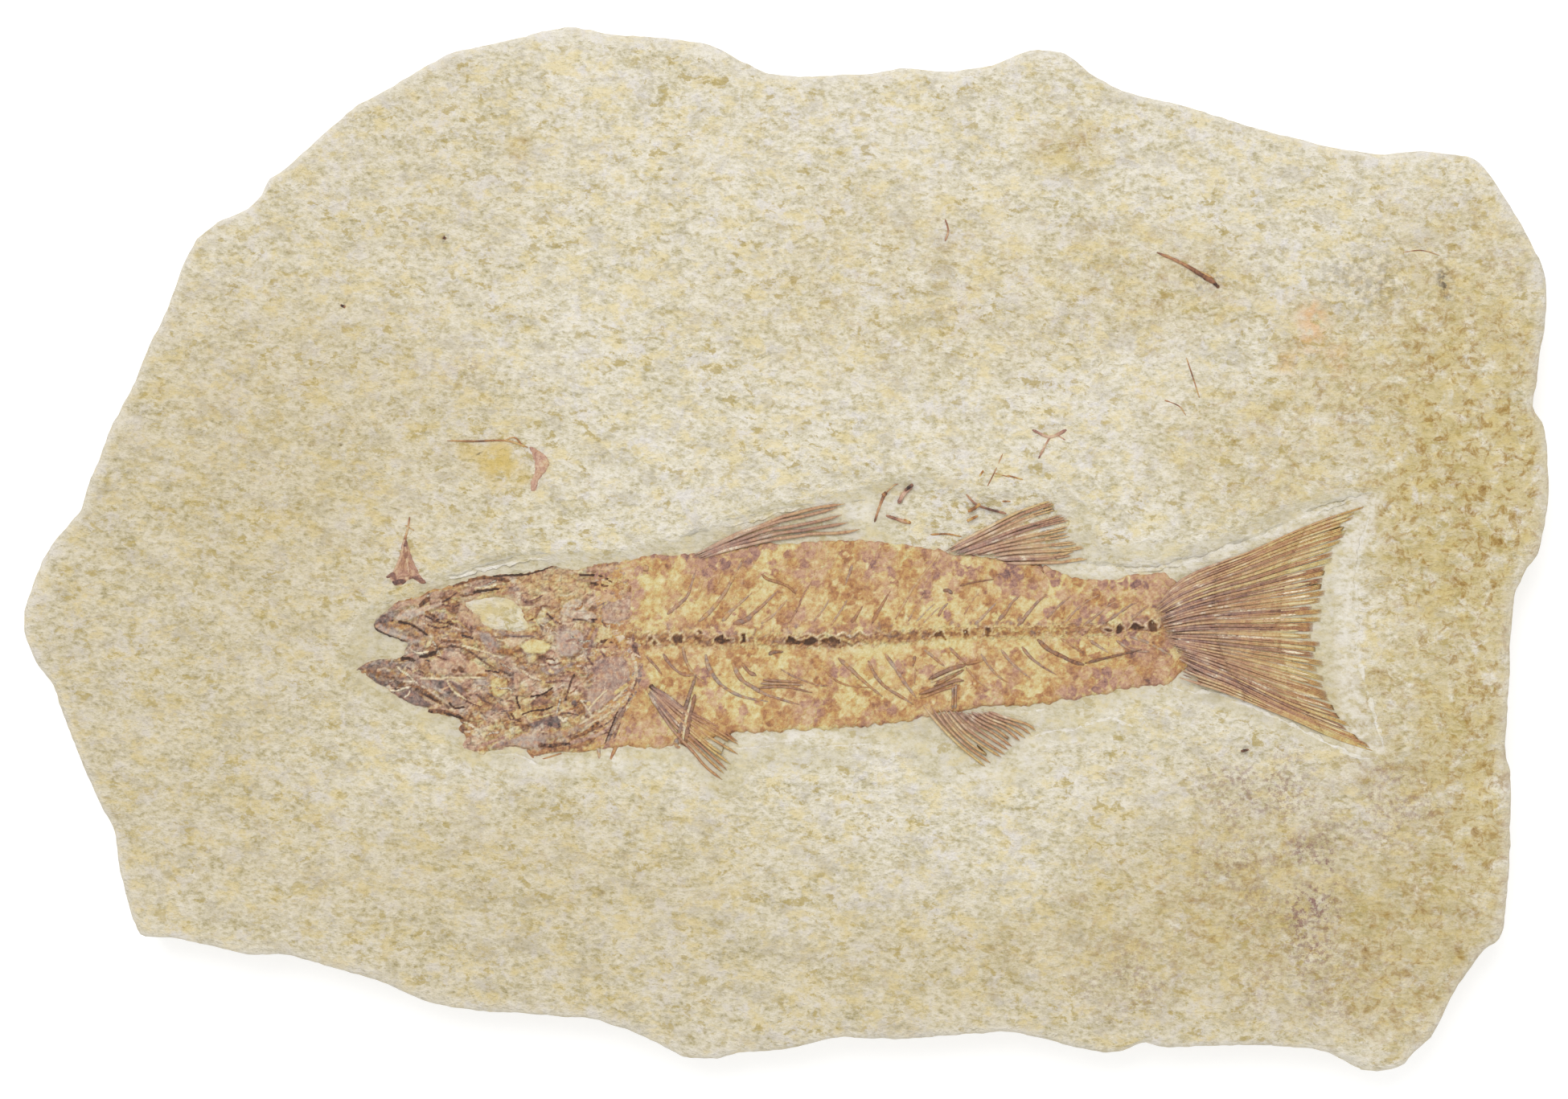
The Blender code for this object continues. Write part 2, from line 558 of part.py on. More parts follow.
def make_fish(collection):
    """The whole fish as one fused solid: fin webs, body, backbone, spines, rays and skull."""
    joins = new_collection("fish_joins")
    cuts = new_collection("fish_cuts")
    fish = raised_plate(
        "fossil_fish", FISH_WHOLE, FISH_UNDERSIDE, FIN_WEB_TOP, PLATE_RIM / 2.0, collection,
    )
    body = [
        ring(FISH_BODY, FISH_UNDERSIDE + PARTING * 2.0, -PARTING),
        ring(FISH_BODY, BODY_TOP - PARTING, -PARTING),
        ring(FISH_BODY, BODY_TOP, -BODY_RIM),
    ]
    loft("body", body, joins, hidden=True)
    make_backbone(joins, cuts)
    make_spines(joins)
    make_fins(joins)
    make_skull(joins, cuts)
    boolean(fish, joins, "UNION")
    boolean(fish, cuts, "DIFFERENCE")
    return fish


def make_loose_plate(name, outline, bottom, top, collection, cuts):
    """A flat loose bone, heights in metres, and the pocket that it lies in."""
    pocket = [ring(outline, bottom - PARTING, PARTING), ring(outline, CUT_ABOVE, PARTING)]
    loft(name + "_pocket", pocket, cuts, hidden=True)
    return raised_plate(name, outline, bottom, top, PLATE_RIM, collection)


def make_loose_strands(name, strands, height, collection, cuts):
    """A loose bone of one rod or more, fused, and the pocket that it lies in."""
    level = (height, height)
    wide = PARTING / MM * POCKET_ALLOWANCE
    for i, (path, radii) in enumerate(strands):
        way = (Vector(path[-1]) - Vector(path[0])).normalized() * wide
        longer = [tuple(Vector(path[0]) - way), *path[1:-1], tuple(Vector(path[-1]) + way)]
        strand(f"{name}_pocket_{i}", longer, radii, level, cuts, grow=wide, detail=2)
    path, radii = strands[0]
    bone = strand(name, path, radii, level, collection, detail=2, hidden=False)
    if len(strands) > 1:
        arms = new_collection(name + "_arms")
        for i, (path, radii) in enumerate(strands[1:]):
            strand(f"{name}_arm_{i}", path, radii, level, arms, detail=2)
        boolean(bone, arms, "UNION")
    return bone


def make_loose_bones(collection, cuts):
    """The bones that lie apart from the fish."""
    bones = []
    for name, (outline, bottom, top) in LOOSE_PLATES.items():
        bones.append(make_loose_plate(name, outline, bottom * MM, top * MM, collection, cuts))
    for name, (strands, height) in LOOSE_STRANDS.items():
        bones.append(make_loose_strands(name, strands, height * MM, collection, cuts))
    return bones


def main():
    """Build the slab, the fish and the loose bones, and give each its finish."""
    clear_scene()
    parts = new_collection("fossil_fish_slab")
    cuts = new_collection("slab_cuts")
    slab = make_slab(parts, cuts)
    pocket = [
        ring(FISH_WHOLE, FISH_UNDERSIDE - PARTING, PARTING),
        ring(FISH_WHOLE, CUT_ABOVE, PARTING),
    ]
    loft("fish_pocket", pocket, cuts, hidden=True)
    fish = make_fish(parts)
    bones = make_loose_bones(parts, cuts)
    boolean(slab, cuts, "DIFFERENCE")
    for item in (slab, fish, *bones):
        settle(item)
    slab.data.materials.append(material("limestone", COLOURS["limestone"], 0.9))
    fish.data.materials.append(material("fossil_bone", COLOURS["fossil_bone"], 0.65))
    for bone in bones:
        bone.data.materials.append(material(bone.name, COLOURS["loose_bone"], 0.6))


main()
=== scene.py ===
"""A slab of pale limestone with a fossil fish prepared out of its face.

Everything is worked out in millimetres on numpy grids and put into the scene in metres.  The slab
lies on its back: its length runs along X with the fish's snout towards -X, and its face is up.
"""

import logging
import math
from dataclasses import dataclass, field
from enum import Enum
from typing import Iterable, Optional, Sequence

import bpy
import numpy as np
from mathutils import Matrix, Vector

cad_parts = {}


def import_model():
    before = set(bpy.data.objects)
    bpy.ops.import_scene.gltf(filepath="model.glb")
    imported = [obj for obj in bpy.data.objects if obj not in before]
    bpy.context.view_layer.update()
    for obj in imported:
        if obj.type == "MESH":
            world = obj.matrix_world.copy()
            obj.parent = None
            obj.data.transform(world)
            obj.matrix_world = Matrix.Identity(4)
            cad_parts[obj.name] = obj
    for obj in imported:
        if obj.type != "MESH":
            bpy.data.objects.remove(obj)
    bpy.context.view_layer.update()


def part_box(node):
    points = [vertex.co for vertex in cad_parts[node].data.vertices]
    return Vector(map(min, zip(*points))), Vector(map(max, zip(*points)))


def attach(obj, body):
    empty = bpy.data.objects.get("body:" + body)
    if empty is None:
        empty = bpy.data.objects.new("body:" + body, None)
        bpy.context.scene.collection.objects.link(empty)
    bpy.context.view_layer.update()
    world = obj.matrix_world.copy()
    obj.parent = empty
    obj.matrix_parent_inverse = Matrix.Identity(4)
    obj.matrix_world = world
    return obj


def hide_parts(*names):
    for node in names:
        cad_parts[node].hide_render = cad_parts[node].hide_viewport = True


MM = 0.001
BODY = "root"
FACE = 13.0                # height of the stone's face above its back
BED = 12.0                 # floor of the prepared trench round the fish
SUNK = 11.55               # where the fish's buried rim lies
FLESH = 12.62              # height of the flank and the head before scales and bones
FLANK_TOP = 13.5           # the highest that anything on the flank may stand
LOG = logging.getLogger("fossil_fish_slab")

Line = Sequence[tuple[float, float]]
Array = np.ndarray

# The broken rim of the slab, anticlockwise, in its four sides.
RIM_BOTTOM: Line = [
    (-125.5, -73.5), (-124, -75), (-117, -75.5), (-104, -78.5), (-97.5, -78.5),
    (-87.5, -81), (-79, -83.5), (-72, -86.5), (-65.5, -88.5), (-58, -89.5),
    (-49, -90), (-38, -91), (-31, -93), (-25.5, -95.5), (-20.5, -98), (-17, -98.5),
    (-13.5, -98.5), (-9, -97.5), (-1, -97), (3.5, -96), (10.5, -94.5), (21.5, -95),
    (41.5, -93.5), (49, -94.5), (56, -96.5), (61.5, -97.5), (65, -97), (69, -95.5),
    (74, -96.5), (94.5, -96), (104.5, -97.5), (110, -100.5),
]
RIM_RIGHT: Line = [
    (114, -101), (119, -100), (121.5, -97.5), (125, -94), (128, -88), (131.5, -82),
    (135, -77.5), (137.5, -76), (138.5, -73.5), (139.5, -66.5), (140, -58),
    (140, -43.5), (139, -39.5), (139.5, -30.5), (140.5, -10.5), (143, -4.5),
    (145.5, -1), (146.5, 4.5), (147.3, 10), (147.3, 17.5), (146.5, 24), (144.5, 27.5),
    (145, 31.5), (145.5, 37.5), (146.5, 42), (147, 48.5), (146.5, 53.5), (144, 59.5),
    (139, 68), (134, 74.5),
]
RIM_TOP: Line = [
    (131.5, 76), (122.5, 77), (114, 76.5), (104.5, 78), (92.5, 81), (81, 84.5), (75.5, 86),
    (68.5, 87.5), (63.5, 89.5), (58.5, 92.5), (54, 96), (51, 96.5), (46.5, 96.5), (39.5, 93.5),
    (30.5, 92.5), (22.5, 93), (14.5, 92), (3.5, 91.5), (-3.5, 92), (-7.5, 94), (-13, 97),
    (-17, 98), (-24.5, 99), (-33, 99.5), (-41.5, 101), (-47.5, 100), (-53, 98.5),
    (-63, 96.5), (-68.5, 94), (-82.5, 86), (-89.5, 80.5),
    (-96.5, 74), (-100, 71.5), (-101.5, 68.5), (-104, 66), (-109.5, 63.5),
]
RIM_LEFT: Line = [
    (-114, 60), (-116.5, 55.5), (-119, 48.5), (-126.5, 31.5), (-131, 22.5), (-135, 12),
    (-136.5, 7.5), (-140.5, 3), (-143.5, -1.5), (-145.5, -6.5), (-147.3, -11.5),
    (-147.3, -16.5), (-145.5, -21), (-142, -26.5), (-138, -36.5), (-133, -48.5),
    (-130, -54.5), (-129, -61.5), (-127.5, -68),
]
TRENCH: Line = [
    (-85, -23.5), (-83.5, -18), (-81.5, -13), (-77.5, -9.5), (-72, -8.5), (-67, -5.5),
    (-58.5, -2.5), (-51, -1.5), (-42.5, -1), (-32, -1), (-20, 2), (-12, 5), (-4.5, 7.5),
    (3.5, 9), (12.5, 11), (20.5, 13), (26.5, 14), (31.5, 11), (36.5, 10), (43.5, 11.5),
    (52, 11.5), (57, 8), (60.5, 1), (65.5, -2), (72.5, -2), (81, 1), (90, 5), (101, 9.5),
    (110.5, 11), (114.5, 10.5), (113, 6), (110.5, -2), (109, -9.5), (108.5, -17.5),
    (109.5, -24.5), (111.5, -31.5), (115, -38.5), (113, -40.5), (102.5, -37), (90, -33),
    (81, -29.5), (73, -28.5), (65.5, -29.5), (56, -33), (50, -37.5), (42, -43), (35, -44),
    (28, -39.5), (19, -37.5), (3.5, -38), (-6, -40.5), (-9, -46), (-14, -47), (-20, -41),
    (-30.5, -41), (-41.5, -42), (-52.5, -41.5), (-61.5, -41.5), (-66.5, -35),
    (-75, -31.5), (-82, -27),
]
# The backbone's line, from the skull to the tail's root, and where its crust has fallen in.
COLUMN: Line = [
    (-30, -17.3), (-12, -17.6), (1, -17.6), (8, -17.7), (19, -17.1), (34.5, -16.2),
    (50, -15.9), (64, -15.4), (72.5, -15), (79, -14.8),
]


class Slot(str, Enum):
    """The material slots a piece can take its finish from."""

    STONE = "limestone"
    FISH = "fossil_bone"
    LOOSE = "loose_bone"


# ---------------------------------------------------------------- lines, distances and noise


def smoothstep(value: Array, low: float = 0.0, high: float = 1.0) -> Array:
    """An S-curve from 0 at low to 1 at high: 3t^2 - 2t^3 of the clamped share t."""
    t = np.clip((value - low) / (high - low), 0.0, 1.0)
    return t * t * (3.0 - 2.0 * t)


def blend(a: Array, b: Array, share: Array) -> Array:
    """a where share is 0, b where it is 1, in proportion between."""
    return a + (b - a) * share


def dome(inside: Array, width: float) -> Array:
    """A quarter circle's rise, from 0 at an edge to 1 at width inside it."""
    return np.sqrt(np.clip(1 - (1 - np.clip(inside / width, 0, 1)) ** 2, 0, 1))


def curve(points: Line, count: int, closed: bool = False, tight: float = 0.5) -> Array:
    """A smooth line through points, at equal steps of its length.

    Each stretch is a cubic Hermite curve whose end slopes are `tight` of the chord between the
    neighbours, then the whole is read off at equal arc lengths.

    Args:
        points: the corners.
        count: how many points come back.
        closed: whether the line runs round to its start.
        tight: 0 gives straight stretches, 0.5 a round line.

    Returns:
        A (count, dimensions) array.
    """
    p = np.asarray(points, float)
    if closed:
        p = np.vstack([p[-1], p, p[0], p[1]])
    else:
        p = np.vstack([2 * p[0] - p[1], p, 2 * p[-1] - p[-2]])
    t = np.linspace(0, 1, 12, endpoint=False)[:, None]
    before, start, end, after = p[:-3], p[1:-2], p[2:-1], p[3:]
    slope_a, slope_b = (end - before) * tight, (after - start) * tight
    cubic = (
        start[:, None] * (2 * t**3 - 3 * t**2 + 1) + slope_a[:, None] * (t**3 - 2 * t**2 + t)
        + end[:, None] * (3 * t**2 - 2 * t**3) + slope_b[:, None] * (t**3 - t**2)
    ).reshape(-1, p.shape[1])
    dense = np.vstack([cubic, end[-1]])
    far = np.concatenate([[0], np.cumsum(np.linalg.norm(np.diff(dense, axis=0), axis=1))])
    wanted = np.linspace(0, far[-1], count, endpoint=not closed)
    return np.stack([np.interp(wanted, far, dense[:, k]) for k in range(p.shape[1])], axis=1)


def to_path(x: Array, y: Array, path: Line) -> tuple[Array, Array, Array]:
    """How far each point is from a path, how far along its foot lies, and on which side.

    Args:
        x, y: the points.
        path: the path's corners.

    Returns:
        Distance, distance along the path to the nearest point, and the signed distance, which is
        positive to the left of the way the path runs.
    """
    p = np.asarray(path, float)
    best = np.full(np.shape(x), np.inf)
    along = np.zeros(np.shape(x))
    side = np.zeros(np.shape(x))
    gone = 0.0
    for (ax, ay), (bx, by) in zip(p[:-1], p[1:]):
        wx, wy = bx - ax, by - ay
        length = math.hypot(wx, wy)
        t = np.clip(((x - ax) * wx + (y - ay) * wy) / length**2, 0, 1)
        dx, dy = x - ax - t * wx, y - ay - t * wy
        d = np.hypot(dx, dy)
        near = d < best
        best = np.where(near, d, best)
        along = np.where(near, gone + t * length, along)
        side = np.where(near, np.sign(wx * dy - wy * dx) * d, side)
        gone += length
    return best, along, side


def depth_inside(x: Array, y: Array, outline: Line) -> Array:
    """Signed distance to a closed outline, positive inside it.

    The distance is to the nearest edge; a point is inside if a ray along +X crosses the outline
    an odd number of times.
    """
    p = np.asarray(outline, float)
    q = np.vstack([p, p[:1]])
    crossings = np.zeros(np.shape(x), int)
    for (ax, ay), (bx, by) in zip(q[:-1], q[1:]):
        if ay == by:
            continue
        crossings += ((ay > y) != (by > y)) & (x < (bx - ax) * (y - ay) / (by - ay) + ax)
    return to_path(x, y, q)[0] * np.where(crossings % 2 == 1, 1.0, -1.0)


class Noise:
    """Seeded smooth noise and cells over a plane of millimetres."""

    def __init__(self, seed: int) -> None:
        """Draw the tables of gradients and of cell centres."""
        rng = np.random.default_rng(seed)
        turn = rng.random((256, 256)) * 2 * np.pi
        self.slope = np.stack([np.cos(turn), np.sin(turn)])
        self.spread = rng.random((4, 256, 256))

    def smooth(self, x: Array, y: Array, size: float) -> Array:
        """Gradient noise, about -1 to 1, with features `size` across."""
        u, v = np.asarray(x) / size, np.asarray(y) / size
        iu, iv = np.floor(u).astype(int), np.floor(v).astype(int)
        fu, fv = u - iu, v - iv
        su, sv = smoothstep(fu), smoothstep(fv)
        total = np.zeros(np.shape(u))
        for du in (0, 1):
            for dv in (0, 1):
                a, b = (iu + du) & 255, (iv + dv) & 255
                dot = self.slope[0, a, b] * (fu - du) + self.slope[1, a, b] * (fv - dv)
                total += dot * (su if du else 1 - su) * (sv if dv else 1 - sv)
        return total * 1.6

    def fractal(self, x: Array, y: Array, size: float, octaves: int = 4) -> Array:
        """Smooth noise summed over halving sizes with halving weights."""
        total, weight = np.zeros(np.shape(x)), 0.0
        for k in range(octaves):
            total = total + self.smooth(x + 31.7 * k, y - 17.3 * k, size / 2**k) / 2**k
            weight += 1 / 2**k
        return total / weight * 1.25

    def ridged(self, x: Array, y: Array, size: float, octaves: int = 3) -> Array:
        """Sharp crests, 0 to 1: one less the size of the noise, over halving sizes."""
        total, weight = np.zeros(np.shape(x)), 0.0
        for k in range(octaves):
            crest = 1 - np.abs(self.smooth(x + 13.1 * k, y + 7.9 * k, size / 2**k)) * 1.6
            total = total + np.clip(crest, 0, 1) ** 2 / 1.7**k
            weight += 1 / 1.7**k
        return total / weight

    def cells(self, x: Array, y: Array, size: float) -> tuple[Array, Array, Array]:
        """Scattered cells: distances to the nearest and second centre, and the cell's number."""
        u, v = np.asarray(x) / size, np.asarray(y) / size
        iu, iv = np.floor(u).astype(int), np.floor(v).astype(int)
        first = np.full(np.shape(u), 9.0)
        second, mark = first.copy(), np.zeros(np.shape(u))
        for du in (-1, 0, 1):
            for dv in (-1, 0, 1):
                a, b = (iu + du) & 255, (iv + dv) & 255
                d = np.hypot(iu + du + 0.05 + 0.9 * self.spread[0, a, b] - u,
                             iv + dv + 0.05 + 0.9 * self.spread[1, a, b] - v)
                second = np.minimum(second, np.maximum(first, d))
                mark = np.where(d < first, self.spread[2, a, b], mark)
                first = np.minimum(first, d)
        return first * size, second * size, mark

    def scales(
        self, x: Array, y: Array, pitch: tuple[float, float], radius: float
    ) -> tuple[Array, Array, Array, Array]:
        """Overlapping round scales on a staggered lattice, each lying on the one behind it.

        Args:
            x, y: the points.
            pitch: spacing of the scales along and across.
            radius: a scale's radius.

        Returns:
            Distance in from the scale's edge (negative where no scale lies), how far across the
            scale the point is from front to back, and two numbers that mark the scale.
        """
        row = np.floor(np.asarray(y) / pitch[1]).astype(int)
        edge, lean = np.full(np.shape(x), -1.0), np.zeros(np.shape(x))
        mark, other = np.zeros(np.shape(x)), np.zeros(np.shape(x))
        top = np.full(np.shape(x), np.inf)
        for dv in (-1, 0, 1):
            j = row + dv
            shift = 0.5 * (j & 1)
            column = np.floor(np.asarray(x) / pitch[0] - shift).astype(int)
            for du in (-1, 0, 1):
                i = column + du
                a, b = i & 255, j & 255
                cx = (i + shift + 0.5 + 0.3 * (self.spread[0, a, b] - 0.5)) * pitch[0]
                cy = (j + 0.5 + 0.3 * (self.spread[1, a, b] - 0.5)) * pitch[1]
                r = radius * (0.88 + 0.24 * self.spread[2, a, b])
                inside = r - np.hypot(x - cx, y - cy)
                over = (inside > 0) & (cx < top)
                edge = np.where(over, inside, edge)
                lean = np.where(over, (x - cx + r) / (2 * r), lean)
                mark = np.where(over, self.spread[2, a, b], mark)
                other = np.where(over, self.spread[3, a, b], other)
                top = np.where(over, cx, top)
        return edge, lean, mark, other


# ---------------------------------------------------------------- meshes


def put_mesh(
    name: str, points: Array, faces: Iterable[Sequence[int]], paint: dict[str, Array],
) -> bpy.types.Object:
    """Put a mesh into the scene.

    Args:
        name: the piece's name.
        points: (n, 3) places in millimetres.
        faces: corner numbers, anticlockwise seen from outside.
        paint: one number for each point under each name, for the materials to read.

    Returns:
        The object, at the origin.
    """
    mesh = bpy.data.meshes.new(name)
    mesh.from_pydata((points * MM).tolist(), [], faces)
    mesh.polygons.foreach_set("use_smooth", np.ones(len(mesh.polygons), bool))
    for key, values in paint.items():
        layer = mesh.attributes.new(key, "FLOAT", "POINT")
        layer.data.foreach_set("value", np.ascontiguousarray(values, np.float32).ravel())
    mesh.validate()
    mesh.update()
    piece = bpy.data.objects.new(name, mesh)
    bpy.context.scene.collection.objects.link(piece)
    return piece


def grid_faces(rows: int, columns: int) -> Array:
    """Quads of a grid numbered row by row, facing up where rows run along X and columns along Y."""
    number = np.arange(rows * columns).reshape(rows, columns)
    a, b, c, d = number[:-1, :-1], number[1:, :-1], number[1:, 1:], number[:-1, 1:]
    return np.stack([a, b, c, d], axis=-1).reshape(-1, 4)


def dress(piece: bpy.types.Object, slot: Slot, *nodes: str) -> bpy.types.Object:
    """The piece rides with the slab and stands for the named solids."""
    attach(piece, BODY)
    if nodes:
        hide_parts(*nodes)
    return piece


@dataclass
class Relief:
    """A carved surface: a grid of places with a height and colour fields at each.

    tone runs from 0, pale matrix, to 1, near black; mauve turns gold to violet brown; crust is
    white lime, flecked by the finish so that it also stands in for glints, partly a painted
    highlight; dark is painted shade in hollows; slate is grey bloom on smooth bone.
    """

    x: Array
    y: Array
    z: Array
    tone: Array = field(init=False)
    mauve: Array = field(init=False)
    crust: Array = field(init=False)
    dark: Array = field(init=False)
    slate: Array = field(init=False)
    FIELDS = ("tone", "mauve", "crust", "dark", "slate")
    RIM = 0.35                     # width of a flat bone's rim

    def __post_init__(self) -> None:
        """Start every colour field at nought."""
        for key in self.FIELDS:
            setattr(self, key, np.zeros(np.shape(self.x)))

    def paint(self) -> dict[str, Array]:
        """The colour fields, by name."""
        return {key: getattr(self, key) for key in self.FIELDS}

    def tint(self, share: Array, **values: float | Array) -> None:
        """Draw the named fields towards values by share."""
        for key, value in values.items():
            setattr(self, key, blend(getattr(self, key), value, share))

    def rod(
        self, path: Line, radii: tuple[float, float], lift: float, **paint: float,
    ) -> None:
        """A long bone: a ridge along a path, its height half a circle's across its width."""
        line = curve(path, max(6, 4 * len(path)))
        d, along, _ = to_path(self.x, self.y, line)
        share = along / along.max() if along.max() > 0 else along
        radius = blend(radii[0], radii[1], share) * np.sqrt(np.clip(8 * (1.04 - share), 0, 1))
        inner = np.clip(1 - (d / np.maximum(radius, 0.05)) ** 2, 0, 1)
        self.z += lift * np.sqrt(inner)
        self.tint(smoothstep(inner, 0.0, 0.35), **paint)
        # painted shade along the foot of the ridge, just outside its edge
        self.tint(smoothstep(1.5 - d / np.maximum(radius, 0.05)) * (inner <= 0), dark=0.4)

    def plate(
        self, outline: Line, lift: float, flat: float, wander: Array, **paint: float | Array,
    ) -> None:
        """A flat bone: an outline raised over a narrow rim.

        Args:
            outline: its edge.
            lift: how far it stands up.
            flat: 0 keeps the crumble beneath it, 1 levels it.
            wander: how far the edge strays at each place.
            paint: its colour fields.
        """
        inside = depth_inside(self.x, self.y, curve(outline, 6 * len(outline), closed=True))
        inside = inside + wander
        share = smoothstep(inside, 0, self.RIM)
        self.z = blend(self.z, blend(self.z, float(np.mean(self.z[inside > 0])), flat), share)
        self.z += lift * share
        self.tint(share * (0.55 + 0.45 * flat), crust=0.0, **paint)
        self.tint(share * flat, dark=0.0)
        # painted shade round the foot of the plate, just outside its edge
        self.tint(smoothstep(inside, -0.4, 0) * (inside <= 0), dark=0.45)

    def pit(self, inside: Array, deep: float, shade: float) -> None:
        """A hollow where inside is above nought, its floor in shadow."""
        share = smoothstep(inside, -0.2, 0.15)
        self.z -= deep * share
        self.tint(share * shade, dark=smoothstep(inside, -0.2, 0.12), crust=0.0, tone=0.8,
                  slate=0.0)

    def sink_edge(self) -> None:
        """Bury the grid's outermost points."""
        self.z[[0, -1]] = SUNK
        self.z[:, [0, -1]] = SUNK

    def flip(self) -> None:
        """Run the rows backwards, which turns the faces over."""
        for key in ("x", "y", "z") + self.FIELDS:
            setattr(self, key, getattr(self, key)[::-1])

    def height_at(self, x: Array, y: Array) -> Array:
        """The height of the nearest grid point to each of a few places."""
        out = []
        for px, py in zip(np.ravel(x), np.ravel(y)):
            k = np.argmin((self.x - px) ** 2 + (self.y - py) ** 2)
            out.append(self.z.ravel()[k])
        return np.array(out)

    def solid(self, name: str) -> bpy.types.Object:
        """Close a full grid with a strip across its underside and a fan at each end."""
        rows, columns = self.x.shape
        points = np.stack([self.x, self.y, self.z], axis=-1).reshape(-1, 3)
        faces = grid_faces(rows, columns).tolist()
        left, right = np.arange(rows) * columns, np.arange(rows) * columns + columns - 1
        strip = np.stack([left[:-1], right[:-1], right[1:], left[1:]], axis=-1)
        total = len(points)
        ends = []
        for k, (row, inward) in enumerate(((0, 6), (rows - 1, rows - 7))):
            edge = row * columns + np.arange(columns)
            middle = points[edge].mean(axis=0)
            way = points[inward * columns:(inward + 1) * columns].mean(axis=0) - middle
            way[2] = 0.0
            ends.append(middle + way / max(np.linalg.norm(way), 0.01) * 0.3 - [0, 0, 0.3])
            hub = np.full(columns - 1, total + k)
            fan = [edge[:-1], edge[1:], hub] if row == 0 else [edge[1:], edge[:-1], hub]
            faces += np.stack(fan, axis=-1).tolist()
            last = [edge[-1], edge[0], total + k]
            faces.append(last if row == 0 else last[::-1])
        faces += strip.tolist()
        points = np.vstack([points, ends])
        paint = {k: np.append(v.ravel(), [0, 0]) for k, v in self.paint().items()}
        return put_mesh(name, points, faces, paint)

    def cut_solid(self, name: str, keep: Array, under: float) -> bpy.types.Object:
        """Close the cells of the grid whose corners are all kept, with the same cells below.

        Args:
            name: the piece's name.
            keep: which grid points belong to the piece.
            under: height of the underside.

        Returns:
            The object: top cells, the same cells on the underside turned over, and a wall along
            every border between a kept cell and a dropped one.
        """
        rows, columns = self.x.shape
        cell = keep[:-1, :-1] & keep[1:, :-1] & keep[1:, 1:] & keep[:-1, 1:]
        number = np.arange(rows * columns).reshape(rows, columns)
        quads = grid_faces(rows, columns)[cell.ravel()]
        shift = rows * columns
        wide = np.pad(cell, 1)
        walls = []
        inner = wide[1:-1, 1:-1]
        sides = (
            (wide[:-2, 1:-1], number[:-1, 1:], number[:-1, :-1]),
            (wide[2:, 1:-1], number[1:, :-1], number[1:, 1:]),
            (wide[1:-1, :-2], number[:-1, :-1], number[1:, :-1]),
            (wide[1:-1, 2:], number[1:, 1:], number[:-1, 1:]),
        )
        for neighbour, start, end in sides:
            border = inner & ~neighbour
            s, e = start[border], end[border]
            walls.append(np.stack([s, s + shift, e + shift, e], axis=-1))
        faces = np.vstack([quads, quads[:, ::-1] + shift] + walls)
        flat = np.stack([self.x, self.y, np.full_like(self.z, under)], axis=-1).reshape(-1, 3)
        top = np.stack([self.x, self.y, self.z], axis=-1).reshape(-1, 3)
        points = np.vstack([top, flat])
        used, packed = np.unique(faces, return_inverse=True)
        paint = {k: np.tile(v.ravel(), 2)[used] for k, v in self.paint().items()}
        return put_mesh(name, points[used], packed.reshape(-1, 4).tolist(), paint)


@dataclass
class Strands:
    """Many thin rods gathered into one mesh, each carried along its own path."""

    sides: int = 6
    fields: tuple[str, ...] = Relief.FIELDS
    points: list[Array] = field(default_factory=list)
    faces: list[Array] = field(default_factory=list)
    paint: dict[str, list[Array]] = field(init=False)
    count: int = 0

    def __post_init__(self) -> None:
        """Start an empty list for each colour field."""
        self.paint = {key: [] for key in self.fields}

    def add(
        self, path: Array, radius: Array, flatten: float, **paint: float | Array,
    ) -> None:
        """Carry a profile with `sides` corners along a path and close both ends.

        Each ring stands square to the path: its points are the path's point plus the radius
        times the cosine of each side's turn across the path and `flatten` times the sine up.

        Args:
            path: (n, 3) places in millimetres.
            radius: n radii, or one.
            flatten: height of the profile as a share of its width.
            paint: a number or n numbers for each colour field that isn't nought.
        """
        n = len(path)
        way = np.gradient(path, axis=0)
        way /= np.maximum(np.linalg.norm(way, axis=1, keepdims=True), 1e-9)
        across = np.cross(way, [0.0, 0.0, 1.0])
        across /= np.maximum(np.linalg.norm(across, axis=1, keepdims=True), 1e-9)
        up = np.cross(across, way)
        turn = np.arange(self.sides) / self.sides * 2 * np.pi
        r = np.broadcast_to(radius, (n,))[:, None, None]
        ring = (
            path[:, None] + r * np.cos(turn)[None, :, None] * across[:, None]
            + r * flatten * np.sin(turn)[None, :, None] * up[:, None]
        )
        number = self.count + np.arange(n * self.sides).reshape(n, self.sides)
        after = np.roll(number, -1, axis=1)
        quads = np.stack([number[:-1], number[1:], after[1:], after[:-1]], axis=-1)
        hubs = self.count + n * self.sides + np.arange(2)
        start = np.stack([number[0], after[0], np.full(self.sides, hubs[0])], axis=-1)
        stop = np.stack([after[-1], number[-1], np.full(self.sides, hubs[1])], axis=-1)
        self.points += [ring.reshape(-1, 3), path[[0, -1]]]
        self.faces += [quads.reshape(-1, 4), start, stop]
        for key, kept in self.paint.items():
            value = np.broadcast_to(paint.get(key, 0.0), (n,))
            kept += [np.repeat(value, self.sides), value[[0, -1]]]
        self.count += n * self.sides + 2

    def put(self, name: str) -> bpy.types.Object:
        """Put every rod into the scene as one mesh."""
        faces = [face for block in self.faces for face in block.tolist()]
        paint = {key: np.concatenate(kept) for key, kept in self.paint.items()}
        return put_mesh(name, np.vstack(self.points), faces, paint)
